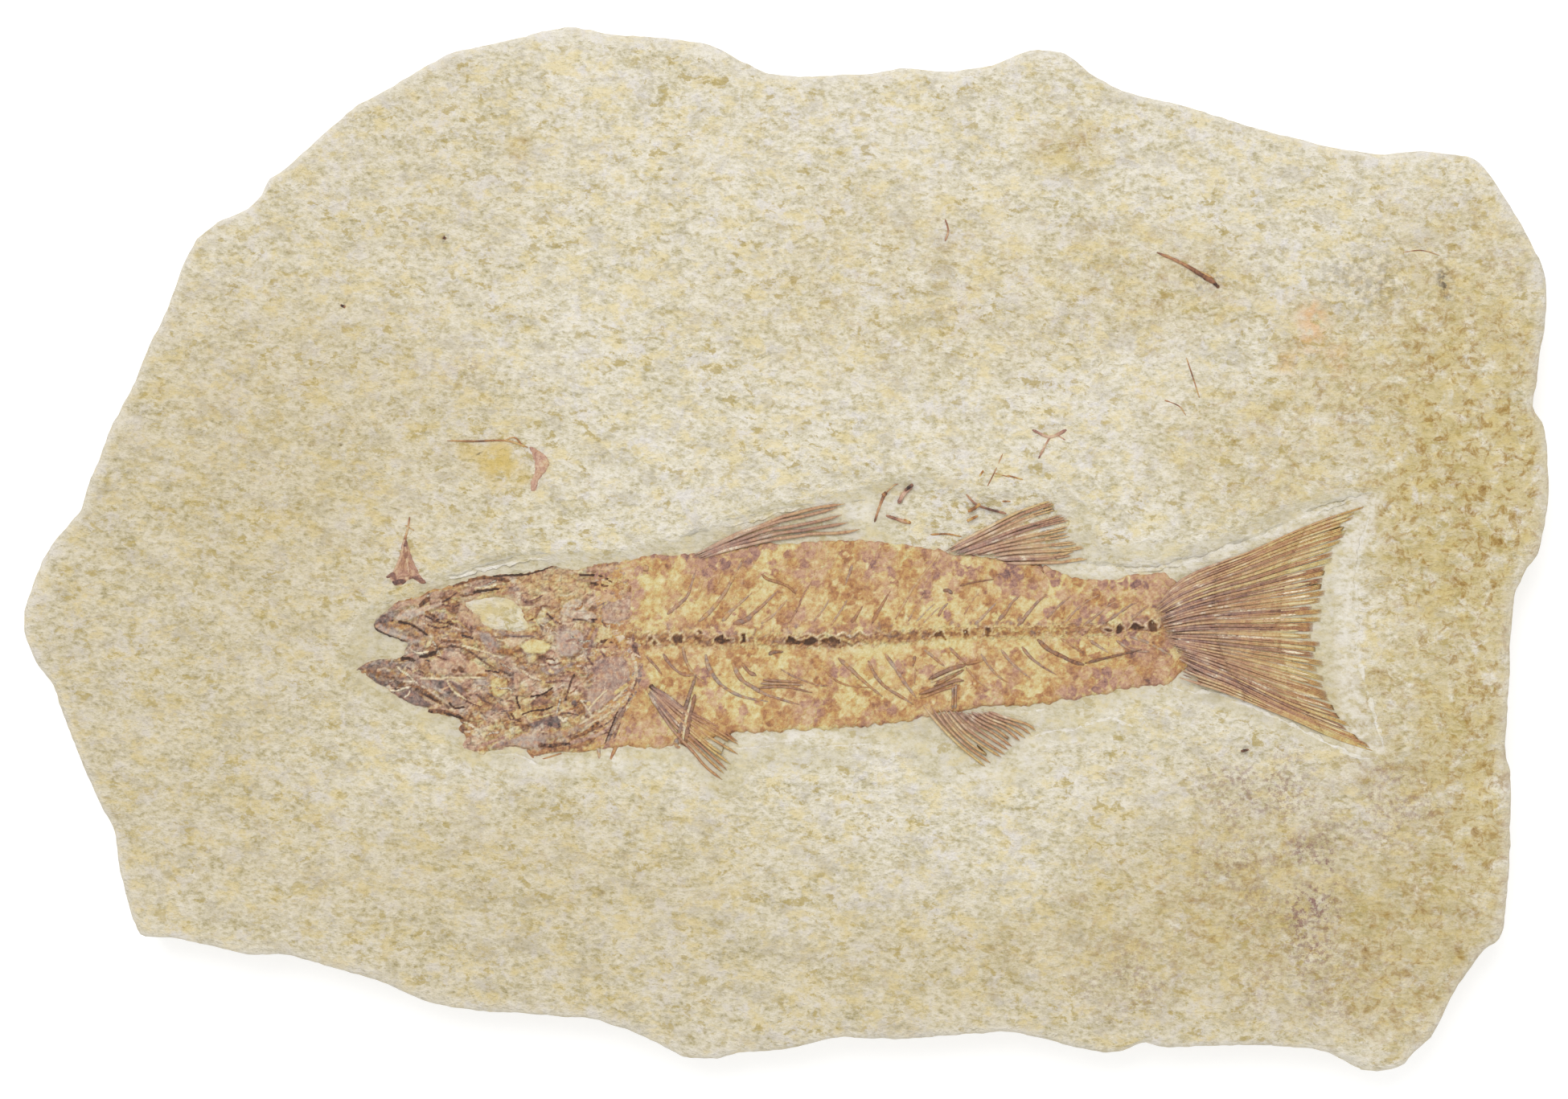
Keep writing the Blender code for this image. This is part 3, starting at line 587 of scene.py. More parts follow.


# ---------------------------------------------------------------- the stone


# Where each stain or broad darkening of the stone lies: soft ellipses as centre, two radii and
# strength.
Blot = tuple[float, float, float, float, float]
STAINS: dict[str, Sequence[Blot]] = {
    "iron": (
        (132, 12, 26, 52, 1.0), (134, -42, 22, 40, 0.85), (112, 34, 20, 18, 0.6),
        (95, 20, 26, 16, 0.4), (84, -70, 34, 24, 0.5), (120, -78, 22, 22, 0.7),
        (70, 52, 24, 12, 0.4), (48, -79, 14, 9, 0.3), (54, 77, 8, 6, 0.5), (-95, 20, 40, 40, 0.14),
        (20, 50, 50, 20, 0.22), (-60, -60, 60, 18, 0.12), (-52, 77, 4, 3, 0.5),
        (30, -82, 30, 10, 0.2), (118, -30, 16, 20, 0.5),
    ),
    "chalk": (
        (72, -3.2, 9, 1.5, 0.9), (84, -0.2, 7, 1.8, 0.9), (94, 3.2, 7, 2, 0.9),
        (103, 6.6, 7, 2.4, 0.8), (-8, 4.8, 9, 1.5, 0.7), (8, 8, 6, 1.4, 0.6), (108, 6, 5, 3, 0.8),
        (-44, -42, 9, 2, 0.6), (-33, -40.6, 2, 3, 0.9), (45, -39, 8, 4, 0.5),
        (37, -43.5, 8, 2, 0.6), (109, -12, 2.6, 30, 0.6), (2, -36.4, 14, 1.6, 0.9),
        (14.6, 7.4, 3, 2.4, 0.8), (60, -3.8, 8, 1.6, 0.6), (53.4, 2.6, 1.2, 1, 0.8),
        (36, 5.2, 1.8, 0.7, 0.8), (32.6, 4.8, 1.8, 1, 0.5), (28, 8, 1.6, 1.4, 0.4),
        (-60, -4.4, 8, 1.4, 0.5), (-77, -10.4, 4, 1.6, 0.4), (84, -63.5, 1.2, 0.8, 1.0),
        (38, -46, 1.2, 0.9, 1.0), (60, -39, 1, 0.6, 0.8), (20, -46, 1.2, 1.6, 0.7),
    ),
    # dull darkens the stone broadly towards the left and the bottom
    "dull": (
        (-112, -20, 60, 80, 1.0), (-60, -70, 80, 34, 0.9), (30, -84, 90, 26, 0.7),
        (-80, 62, 40, 40, 0.5), (100, -70, 50, 34, 0.8), (-86, 30, 40, 30, 0.5),
    ),
    "ochre": (
        (-55.4, 16.4, 5.2, 5.2, 1.3), (-60.5, 18.6, 3.6, 2.8, 0.8), (-51.6, 13.6, 2.4, 2.6, 0.9),
        (-59, -13.2, 7, 4, 0.45),
    ),
    "mauve": (
        (102, -66, 7, 14, 1.3), (92, -46, 16, 9, 0.8), (66, -84, 12, 9, 0.6),
        (88, -62, 16, 14, 0.6), (-62, 34, 5, 5, 0.4), (60, 42, 22, 8, 0.2), (114, -50, 14, 12, 0.7),
        (104, -84, 20, 10, 0.5),
    ),
    "blush": (
        (101.5, 43, 3.4, 5.4, 1.0), (97, 36, 3, 3, 0.5), (106, 37, 3, 4, 0.4),
    ),
    # small dark spots and a few broader darker patches on the stone
    "dark_patches": (
        (127, 51, 1.6, 3.6, 0.9), (112, 52, 10, 8, 0.35), (-66, 60, 0.6, 0.6, 1.0),
        (-85.5, 47, 0.9, 0.5, 0.9), (20, 55.5, 0.5, 0.5, 1.0), (37.6, -91, 4, 0.8, 0.2),
        (80, 52, 5, 2.5, 0.4), (-86, 20, 0.5, 0.5, 1.0), (88, -39, 1.2, 0.9, 0.9),
        (-59.3, 18.6, 0.7, 0.6, 1.0), (-58.8, 17, 0.5, 0.4, 0.8), (80, 4, 0.8, 0.5, 0.8),
    ),
}


@dataclass
class StoneSlab:
    """The slab: a broken edge all round, a pecked face with a smooth trench, a flat back."""

    FIELDS = ("iron", "chalk", "dull", "ochre", "mauve", "blush", "dark_patches", "shade",
              "scraped", "broken")

    columns: int = 352
    rows: int = 200
    levels: int = 17
    trench_soft: float = 5.0       # width of the trench's gentlest slope
    trench_crisp: float = 2.2      # and of its steepest
    back_middle: float = 0.3       # height of the hollow back's middle
    back_shares: tuple[float, ...] = (0.92, 0.74, 0.5, 0.26)
    noise: Noise = field(default_factory=lambda: Noise(11))
    # Where the fine grid of the face lies along and across it, and how close its steps are there.
    fine_columns: tuple[float, float, float] = (0.1, 0.97, 0.55)
    fine_rows: tuple[float, float, float] = (0.22, 0.7, 0.5)
    # Places beyond the trench that are scraped too: centre and two radii.
    swept: Sequence[tuple[float, float, float, float]] = (
        (38, -41.5, 15, 4.2), (57, -34, 10, 3), (1, -40, 14, 3.4), (-38, -42, 16, 3.0),
        (70, -1, 11, 2.4), (28, 8, 12, 5),
    )
    # Height above the back, and how far the side draws in there.
    side: Line = (
        (12.78, 0.75), (12.5, 0.36), (12.0, 0.12), (11.2, 0.0), (10.2, 0.0), (9.2, 0.1),
        (8.0, 0.3), (6.4, 0.45), (6.0, 0.95), (4.8, 0.6), (3.4, 0.7), (2.9, 1.3),
        (1.4, 1.6), (0.5, 2.1), (0.0, 2.7),
    )
    # Conchoidal chips: place, height and radius.
    chips: Sequence[tuple[float, float, float, float]] = (
        (34, -98.5, 3.0, 7.0), (106, -104.5, 17.0, 8.4), (-15, -104, 2.0, 8.0),
        (146, -45, 3.0, 7.8), (-135, -60, 2.0, 8.0), (60, 100.5, 3.0, 7.2),
        (30, -99.8, 15.5, 6.4), (-93, -85.5, 15.0, 6.5), (-148, -30, 15.5, 8.5),
        (119, 83, 15.0, 6.5), (-70, 99.5, 14.5, 6.0), (144.5, -31, 16.0, 6.5),
    )

    def rim(self) -> Array:
        """The widest ring, anticlockwise from the lower left corner.

        Each of the four sides is a near-straight smooth line through its corners; noise then
        bites it inwards, deepest at broad bays, and the whole is held inside the part's box.
        """
        u, v = self.spread()
        sides = (
            (list(RIM_BOTTOM) + [RIM_RIGHT[0]], u), (list(RIM_RIGHT) + [RIM_TOP[0]], v),
            (list(RIM_TOP) + [RIM_LEFT[0]], 1 - u[::-1]),
            (list(RIM_LEFT) + [RIM_BOTTOM[0]], 1 - v[::-1]),
        )
        run = []
        for line, share in sides:
            dense = curve(line, 3000, tight=0.32)
            at = share[:-1] * 2999
            run.append(np.stack([np.interp(at, np.arange(3000), dense[:, k]) for k in (0, 1)], 1))
        ring = np.vstack(run)
        low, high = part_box("limestone_slab")
        x, y = ring.T
        bite = 0.28 * (0.6 + self.noise.fractal(x, y, 7, 4)) + 0.1 * self.noise.smooth(x, y, 1.6)
        ring = ring + self.inward(ring) * np.clip(bite, 0, None)[:, None]
        return np.clip(ring, np.array(low)[:2] / MM + 0.02, np.array(high)[:2] / MM - 0.02)

    def spread(self) -> tuple[Array, Array]:
        """Shares along the slab and across it, set closer where the fish lies.

        Each is the running sum of a spacing that dips from 1 to `close` between two ends.
        """
        shares = []
        for count, (start, end, close) in ((self.columns, self.fine_columns),
                                           (self.rows, self.fine_rows)):
            t = (np.arange(count) + 0.5) / count
            steps = (end - start) / close + (1 - end + start)
            first, inner = start / steps, (end - start) / close / steps
            step = np.where((t > first) & (t < first + inner), close, 1.0)
            step = np.convolve(np.pad(step, 12, mode="edge"), np.ones(25) / 25, mode="valid")
            total = np.concatenate([[0], np.cumsum(step)])
            shares.append(total / total[-1])
        return shares[0], shares[1]

    @staticmethod
    def inward(ring: Array) -> Array:
        """The unit way in from each point of an anticlockwise ring: its run turned left."""
        way = np.roll(ring, -2, axis=0) - np.roll(ring, 2, axis=0)
        way /= np.linalg.norm(way, axis=1, keepdims=True)
        return np.stack([-way[:, 1], way[:, 0]], axis=1)

    def face_places(self, ring: Array) -> tuple[Array, Array]:
        """Spread a grid over the face inside a ring.

        A Coons patch: the mean of the four sides' straight blends less the blend of the four
        corners, so the outer lines of the grid run along the ring itself.
        """
        m, n = self.columns, self.rows
        low, right = ring[:m + 1], ring[m:m + n + 1]
        high = ring[m + n:2 * m + n + 1][::-1]
        left = np.vstack([ring[2 * m + n:], ring[:1]])[::-1]
        u, v = self.spread()
        u, v = u[:, None, None], v[None, :, None]
        ruled = (1 - v) * low[:, None] + v * high[:, None] + (1 - u) * left[None] + u * right[None]
        corners = (
            (1 - u) * (1 - v) * low[0] + u * (1 - v) * low[-1]
            + (1 - u) * v * high[0] + u * v * high[-1]
        )
        grid = ruled - corners
        return grid[..., 0], grid[..., 1]

    def crispness(self, x: Array, y: Array) -> Array:
        """How steep the trench's wall is: crisp round the tail and fins, soft round the head."""
        return np.clip(smoothstep(x, -84, -66) * smoothstep(y, -24, -10)
                       + smoothstep(x, -14, 12), 0, 1)

    def carve(self, x: Array, y: Array) -> tuple[Array, Array]:
        """The face's height, and how smooth it has been scraped, at each place."""
        n = self.noise
        rock = 0.14 * n.fractal(x, y, 34, 3) + 0.08 * n.fractal(x, y, 9, 3)
        lean_x, lean_y = 0.6 * (0.99 * x - 0.12 * y), 0.99 * y + 0.12 * x
        peck = n.ridged(lean_x, lean_y, 2.4, 3) - 0.5
        first, second, _ = n.cells(lean_x, lean_y, 2.2)
        rock += 0.2 * peck + 0.08 * smoothstep(second - first, 0, 0.9)
        wall = blend(self.trench_soft, self.trench_crisp, self.crispness(x, y))
        inside = depth_inside(x, y, TRENCH) + 0.55 * n.fractal(x, y, 5, 4)
        sunk = smoothstep(inside / wall, -0.3, 1.0)
        scraped = smoothstep(inside, -1.4, 0.3)
        for cx, cy, rx, ry in self.swept:
            d = np.hypot((x - cx) / rx, (y - cy) / ry) + 0.3 * n.fractal(x, y, 5, 2)
            scraped = np.maximum(scraped, 0.85 * smoothstep(1.2 - d, 0, 0.5))
        fin_side = np.hypot((x - 38) / 17, (y - 6.5) / 7.2)
        scraped *= smoothstep(fin_side, 0.8, 1.3)
        top = FACE - 0.08 + rock * (1 - 0.55 * scraped)
        bed = BED + 0.18 + 0.07 * n.fractal(x, y, 4, 4) + 0.3 * rock * (1 - scraped)
        eye = depth_inside(x, y, Head.orbit)
        bed += 0.42 * smoothstep(eye, -1.2, 0.2)
        z = blend(top, bed, sunk)
        lip = smoothstep(inside, -1.6, -0.2) * smoothstep(-inside, -0.3, 0.5) * scraped
        scraped *= 1 - 0.7 * smoothstep(eye, -1.2, 0.2)
        return np.clip(z + 0.1 * lip, BED - 0.15, 13.42), scraped

    def stains(self, x: Array, y: Array) -> dict[str, Array]:
        """Soft fields that the stone's finish breaks up: iron, mauve and dark specks, lime."""
        return {key: self.blots(x, y, spots) for key, spots in STAINS.items()}

    def blots(self, x: Array, y: Array, spots: Sequence[Blot]) -> Array:
        """The greatest of several soft ellipses with wandering edges."""
        total = np.zeros(x.shape)
        for cx, cy, rx, ry, much in spots:
            d = np.hypot((x - cx) / rx, (y - cy) / ry)
            d = d + 0.35 * self.noise.fractal(x, y, 0.5 * (rx + ry), 3)
            total = np.maximum(total, much * smoothstep(1.3 - d, 0, 1.0))
        return total

    def side_rings(self, ring: Array) -> list[Array]:
        """The side, from the shoulder down: the widest ring drawn in, roughened and chipped."""
        inward = self.inward(ring)
        x, y = ring.T
        far = np.linalg.norm(ring - np.roll(ring, 1, axis=0), axis=1).cumsum()
        known, drawn = np.array(self.side).T
        at = np.linspace(0, len(known) - 1, self.levels)
        heights = np.interp(at, np.arange(len(known)), known)
        rings = []
        for k, (height, draw) in enumerate(zip(heights, np.interp(-heights, -known, drawn))):
            layer = self.noise.smooth(x * 0.12 + 7 * k, y * 0.12 - 5 * k, 1.6)
            rough = self.noise.fractal(far * 0.6 + 40, np.full(len(ring), height * 2.6), 3.0, 3)
            free = smoothstep(np.array(FACE - height), 0.2, 1.6)
            inset = draw + free * (0.3 * np.clip(layer, -0.4, 1) + 0.28 * np.clip(rough, 0, 1))
            places = ring + inward * np.clip(inset, 0, None)[:, None]
            for cx, cy, cz, radius in self.chips:
                away = np.sqrt((places[:, 0] - cx) ** 2 + (places[:, 1] - cy) ** 2
                               + (height - cz) ** 2)
                places = places + inward * np.clip(radius - away, 0, 2.4)[:, None]
            rings.append(np.column_stack([places, np.full(len(ring), height)]))
        return rings

    def back_rings(self, lowest: Array) -> list[Array]:
        """The back: the lowest ring shrunk towards the middle, and slightly hollow."""
        rings = []
        for share in self.back_shares:
            places = lowest[:, :2] * share
            hollow = 0.25 * (1 + self.noise.fractal(places[:, 0], places[:, 1], 30, 3))
            rings.append(np.column_stack([places, np.clip(hollow, 0, 0.6) * (1 - share) * 2]))
        return rings

    def build(self) -> bpy.types.Object:
        """Face, side and back in one closed mesh.

        The face is a grid whose outer points are the shoulder, the side and the back are bands
        between rings, and a fan closes the back's middle.
        """
        rings = self.side_rings(self.rim())
        shoulder, around = rings[0], np.arange(len(rings[0]))
        gx, gy = self.face_places(shoulder[:, :2])
        z, scraped = self.carve(gx, gy)
        i, j = np.indices(gx.shape)
        steps_in = np.minimum(np.minimum(i, self.columns - i), np.minimum(j, self.rows - j))
        whole = np.clip(steps_in / 2.0, 0, 1)
        z = blend(shoulder[0, 2], z, whole)
        number = np.arange(gx.size).reshape(gx.shape)
        above = np.concatenate([number[:-1, 0], number[-1, :-1], number[:0:-1, -1],
                                number[0, :0:-1]])
        first = gx.size
        points = [np.stack([gx, gy, z], axis=-1).reshape(-1, 3)]
        faces = [grid_faces(*gx.shape)]
        for places in rings[1:] + self.back_rings(rings[-1]):
            below = first + around
            faces.append(np.stack([above, below, np.roll(below, -1), np.roll(above, -1)], -1))
            points.append(places)
            above, first = below, first + len(around)
        points.append(np.array([[0.0, 0.0, self.back_middle]]))
        fan = np.stack([above, np.full(len(around), first), np.roll(above, -1)], -1)
        everything = np.vstack(points)
        paint = self.stains(everything[:, 0], everything[:, 1])
        for key, value in (("shade", 0.0), ("scraped", 0.0), ("broken", 1.0)):
            paint[key] = np.full(len(everything), value)
        behind_tail = 0.85 * scraped * smoothstep(gx - 0.02 * (gy + 12) ** 2 / 6, 104, 107.5)
        paint["scraped"][:gx.size] = scraped.ravel()
        paint["chalk"][:gx.size] = np.maximum(paint["chalk"][:gx.size], behind_tail.ravel())
        paint["broken"][:gx.size] = 1 - whole.ravel()
        quads = [f for block in faces for f in block.tolist()]
        piece = put_mesh("stone_slab", everything, quads + fan.tolist(), paint)
        return dress(piece, Slot.STONE, "limestone_slab")


# ---------------------------------------------------------------- the fish


# Scratched lines round the fish: (line, half-width, whiteness, greyness as painted shade).
SCARPS = (
    ([(-66.5, -5.3), (-63.5, -4.9), (-61, -3.9), (-59, -2.9), (-56, -2.3), (-52.5, -1.2),
      (-49, -0.8), (-45, -1.1)], 0.26, 0.0, 0.8),
    ([(-66, -6), (-60, -3.9), (-55, -3), (-50, -1.8), (-45, -1.9)], 0.6, 0.9, 0.0),
    ([(-81, -11.6), (-78, -10.2), (-75.6, -9.5)], 0.3, 0.0, 0.5),
    ([(-21, 2.2), (-18, 3.2), (-14.6, 3.9)], 0.24, 0.0, 0.7),
    ([(-13.4, 5.6), (-9, 6.3), (-5.6, 6.8)], 0.2, 0.0, 0.7),
    ([(-4.8, 7.3), (-1, 8), (3, 8.6), (6.4, 8.7)], 0.2, 0.0, 0.7),
    ([(12.4, 9.3), (15.4, 9.7)], 0.2, 0.0, 0.6),
    ([(-12, 4.4), (-6, 5.9), (-1, 7.4), (3, 8)], 0.5, 0.7, 0.0),
    ([(53, -2.9), (57, -2.6), (62, -2.8), (67, -3), (71, -2.8), (75, -1.9), (79, -1),
      (82, -0.2), (85, 1.2), (88, 1.9), (91, 2.9), (95, 4.7), (98.5, 6.4)], 0.42, 0.0, 0.6),
    ([(98.5, 6.4), (103, 8.8), (108, 10.3), (112.6, 11)], 0.42, 0.0, 0.5),
    ([(54, -3.8), (62, -3.9), (68, -3.8), (74, -3), (79, -2), (84, -0.5), (89, 1.3), (94, 3.4),
      (99, 5.6), (105, 8.6), (112, 10)], 0.6, 0.85, 0.0),
    ([(113, 10.4), (112.4, 6), (111.4, 2), (110.2, -4), (109.8, -10), (110, -17), (110.8, -23),
      (112.4, -29), (114.6, -36), (115.4, -40)], 0.5, 0.8, 0.0),
    ([(73.6, -26.6), (78, -27.8), (84, -28.2), (88, -29.7), (92, -31.6), (98, -34.4),
      (104, -37.4), (110, -40), (114.4, -41)], 0.55, 1.0, 0.0),
    ([(-12.5, -37.5), (-10, -38.4), (-5, -38.3), (0, -37.6), (5, -38.3), (12, -37.9),
      (20, -37.2)], 0.2, 0.9, 0.0),
    ([(45, -31.5), (47.5, -31.3), (50, -30.8)], 0.2, 1.0, 0.0),
    ([(46, -37), (50, -35.5), (55, -34.8), (59, -33.4), (63, -32.7), (65, -33.7),
      (67.5, -34.4)], 0.34, 1.0, 0.0),
    ([(-57, -39.8), (-52, -39.8), (-47, -42), (-41, -41.2), (-37, -41.4)], 0.34, 0.8, 0.0),
)


@dataclass
class Scarps:
    """Thin crisp lips left where the stone was scraped back to the fish."""

    slab: StoneSlab
    noise: Noise = field(default_factory=lambda: Noise(31))

    def build(self) -> bpy.types.Object:
        """Every lip as a low ribbon lying on the stone."""
        strands = Strands(sides=12, fields=StoneSlab.FIELDS)
        for line, half, white, grey in SCARPS:
            path = curve(line, 14 * len(line))
            x = path[:, 0]
            y = path[:, 1] + 0.26 * self.noise.fractal(x, path[:, 1], 2.2, 3)
            z = self.slab.carve(x, y)[0]
            t = np.linspace(0, 1, len(x))
            wide = half * np.clip(1 + 1.3 * self.noise.fractal(x, y + 40, 2.4, 4), 0.25, 1.9)
            wide *= np.clip(7 * np.minimum(t, 1 - t), 0.12, 1)
            worn = np.clip(0.75 + 0.9 * self.noise.fractal(x + 20, y, 2.8, 4), 0, 1)
            flat = 0.08 if white else 0.12
            z = z + 0.02 * self.noise.fractal(x, y, 1.2, 2) - 0.5 * flat * wide
            # grey is painted shade of the scarp's steep face; white is lime
            strands.add(np.column_stack([x, y, z]), wide, flat, chalk=1.2 * white * worn,
                        shade=grey * worn, scraped=0.6)
        return dress(strands.put("scarp_lips"), Slot.STONE, "limestone_slab")


@dataclass
class Trunk:
    """The fish's flank: scales over matrix, the backbone with its fallen-in drums."""

    stations: int = 470
    across: int = 150
    ends: tuple[float, float] = (-37.5, 79.6)
    noise: Noise = field(default_factory=lambda: Noise(5))
    back: Line = (
        (-38, -3), (-34, -2.5), (-26, -1), (-18.5, -0.8), (-11.5, 0.1), (-4.5, 1.1), (3.5, 1.6),
        (12.5, 1.9), (22, 1.2), (30.5, -0.3), (40.5, -1.6), (50, -3.2), (54.5, -5.2),
        (61, -5.9), (67, -4.9), (73, -4.4), (77.5, -8), (80, -11),
    )
    belly: Line = (
        (-38, -39), (-31.5, -38.6), (-24.5, -38.6), (-16.5, -37.2), (-9, -35.4), (-3, -35.6),
        (9.5, -34.7), (19, -34.1), (26.5, -32.6), (36, -31), (45.5, -30.2), (54.5, -29.1),
        (65.5, -27.1), (74, -26), (77.5, -23), (80, -20),
    )
    pits: Sequence[tuple[Line, float]] = (
        # outline, depth of shadow
        ([(-26.6, -17.2), (-26, -16.8), (-25.8, -17.3), (-26.3, -17.6)], 0.6),
        ([(-26, -18.2), (-25.4, -17.6), (-24.9, -18.1), (-25.4, -18.7)], 0.6),
        ([(-22.1, -17.5), (-21.6, -16.7), (-20.2, -16.4), (-20, -17.9), (-21.2, -18.3)], 0.7),
        ([(-17.5, -15.9), (-16.8, -15.8), (-16.3, -16.4), (-17, -16.2)], 0.9),
        ([(-17.6, -16.9), (-17.1, -16.9), (-16.4, -18), (-17, -18.3)], 0.35),
        ([(-13.7, -17.5), (-12.9, -16.7), (-12.2, -16.3), (-12.3, -17.2), (-11.6, -17.5),
          (-10.4, -17.4), (-11.6, -17.9), (-12.5, -18.5), (-13.2, -18)], 1.0),
        ([(-8.7, -16.5), (-8.1, -16.4), (-8, -17.4), (-7.6, -18.2), (-8.8, -18.2),
          (-8.3, -17.4)], 1.0),
        ([(0, -18.1), (0.4, -16.9), (1.2, -17.1), (2.2, -17.8), (3.4, -17.7), (5, -16.9),
          (6.2, -17.6), (6.2, -18), (4.7, -18.7), (3, -18.2), (1.2, -18.3)], 1.0),
        ([(6.4, -17.8), (7.8, -17.3), (8.9, -16.9), (10.1, -17.5), (10.2, -18), (8.4, -18)], 0.8),
        ([(5.6, -18), (9.4, -17.9), (11.8, -18.2), (9.9, -19.4), (7.2, -19)], 0.25),
        ([(28, -17), (29, -16.2), (29.8, -15.8), (30.8, -17.5), (29.9, -16.7), (28.9, -17)], 0.7),
        ([(34.2, -15.8), (34.9, -15.4), (35, -16.6), (34.5, -17)], 0.55),
        ([(38.5, -15.3), (39.4, -15.1), (39.1, -16.3), (38.7, -17), (38.4, -16.6)], 0.65),
        ([(61.3, -15.4), (62.8, -15.7), (62, -15.9)], 0.7),
        ([(63.7, -15), (64.4, -14.5), (65, -15.2), (64.6, -16.1), (63.7, -16.4)], 0.95),
        ([(66.2, -15.5), (66.6, -14.9), (67.3, -14.2), (68.2, -14.8), (69.2, -15.3),
          (67.6, -15.5)], 1.0),
        ([(69.6, -14.3), (70.4, -13.8), (71.6, -14.6), (71.4, -15.8), (70.3, -16)], 0.7),
    )
    drum: float = 3.4              # length of one vertebra
    relief: Relief = field(init=False)

    def lay_out(self) -> Relief:
        """The grid: stations along X, each with points from the back's edge to the belly's."""
        n = self.noise
        x = np.linspace(*self.ends, self.stations)
        scallop = 0.42 * np.sqrt(np.clip(1 - ((x % 1.9) / 0.95 - 1) ** 2, 0, 1))
        scallop *= 0.6 + 0.8 * np.clip(n.smooth(x, 0 * x + 9, 5.0), -0.7, 1)
        back = np.asarray(self.back)
        belly = np.asarray(self.belly)
        high = np.interp(x, *back.T) + scallop - 0.2 + 0.5 * n.fractal(x, 0 * x, 2.6, 4)
        low = np.interp(x, *belly.T) - scallop * 0.8 + 0.15
        low = low + 0.75 * n.fractal(x, 0 * x + 50, 2.6, 4)
        v = np.linspace(0, 1, self.across)[None]
        y = low[:, None] + (high - low)[:, None] * v
        gx = np.repeat(x[:, None], self.across, axis=1)
        rim = np.minimum(y - low[:, None], high[:, None] - y)
        rim = np.minimum(rim, np.minimum(gx - x[0], x[-1] - gx) * 1.2)
        z = SUNK + (FLESH - SUNK) * dome(rim, 1.0) - 0.2 * smoothstep(gx, 67, 78)
        return Relief(gx, y, z)

    def lay_scales(self, r: Relief) -> None:
        """Scales where they are kept, raised and darker; pale yellow matrix between them."""
        n = self.noise
        wide = n.fractal(r.x, r.y, 11, 3)
        patch = n.fractal(r.x + 90, r.y, 4.2, 3)
        side = to_path(r.x, r.y, COLUMN)[2]
        high = np.interp(r.x, *np.asarray(self.back).T)
        low = np.interp(r.x, *np.asarray(self.belly).T)
        near_back = smoothstep(high - r.y, 9, 1.5)
        near_belly = smoothstep(r.y - low, 6, 1.0)
        front = smoothstep(r.x, -16, -31)
        tailward = smoothstep(r.x, 48, 68)
        kept = (0.62 + 0.32 * near_back + 0.26 * near_belly + 0.5 * front + 0.35 * tailward
                + 0.5 * wide + 0.5 * patch)
        kept -= 0.3 * smoothstep(np.abs(side), 5.5, 1.8)
        warp = (0.6 * n.fractal(r.x, r.y, 2.6, 3), 0.6 * n.fractal(r.x + 70, r.y, 2.6, 3))
        edge, lean, mark, other = n.scales(r.x + warp[0], r.y + warp[1], (2.2, 1.9), 1.5)
        there = (edge > 0) & (mark < kept)
        crumb = n.ridged(r.x, r.y, 1.3, 3)
        body = smoothstep(edge, 0.0, 0.4) * there * (0.5 + 0.5 * other)
        body *= smoothstep(n.fractal(r.x - 20, r.y, 1.3, 3), -0.75, -0.3)
        r.z += 0.1 * n.fractal(r.x, r.y, 3.0, 3) + body * (0.06 + 0.1 * lean) + 0.1 * crumb
        matrix = 0.22 + 0.18 * n.fractal(r.x, r.y, 1.7, 4) + 0.08 * wide + 0.05 * patch
        tone = 0.45 + 0.2 * (other - 0.4) + 0.08 * wide + 0.05 * near_back + 0.05 * tailward
        r.tone = blend(matrix, tone, body) + 0.12 * n.fractal(r.x, r.y + 11, 0.9, 2)
        r.tone += 0.1 * smoothstep(0.16 - np.abs(edge - 0.05), 0, 0.16) - 0.1 * (crumb - 0.5)
        hue = smoothstep(n.fractal(r.x - 40, r.y + 12, 6.5, 3) + 0.5 * (mark - 0.3)
                         + 0.25 * near_back + 0.35 * tailward, -0.1, 0.5)
        r.mauve = blend(0.14 + 0.25 * wide, 0.14 + 0.86 * hue, body)
        # painted shade along each scale's back edge, where it lies over the next scale
        r.dark = 0.22 * smoothstep(0.2 - np.abs(edge - 0.06), 0, 0.2) * there * (lean > 0.45)
        r.crust = 0.35 * smoothstep(n.fractal(r.x + 7, r.y - 60, 2.6, 4), 0.3, 0.8) * (1 - body)
        r.crust += 0.3 * smoothstep(crumb, 0.8, 0.97)

    def lay_backbone(self, r: Relief) -> None:
        """Crumbly drums, waisted at the middle, crusted white above hollows in painted shade."""
        n = self.noise
        d, along, side = to_path(r.x, r.y, COLUMN)
        flow = n.fractal(r.x, r.y, 1.1, 3)
        worn = smoothstep(n.fractal(along, 0 * along + 7, 9, 3), -0.5, 0.4)
        turn = (along + 0.5 * n.smooth(along, 0 * along, 6)) % self.drum / self.drum
        waist = 1 - 0.4 * np.sin(np.pi * turn) ** 1.4
        half = 1.6 * waist * blend(1.0, 0.7, smoothstep(along, 60, 110)) * (1 + 0.22 * flow)
        inner = np.clip(1 - (d / half) ** 2, 0, 1)
        crumb = n.ridged(r.x, r.y, 1.0, 3)
        first, second, mark = n.cells(r.x, r.y, 0.8)
        r.z += 0.3 * np.sqrt(inner) * worn + 0.3 * (crumb - 0.5) * smoothstep(2.1 - d, 0, 0.8)
        share = smoothstep(inner, 0, 0.5) * (0.45 + 0.55 * worn)
        r.tone = blend(r.tone, 0.2 + 0.42 * mark, share)
        r.tint(share * 0.6, mauve=0.15)
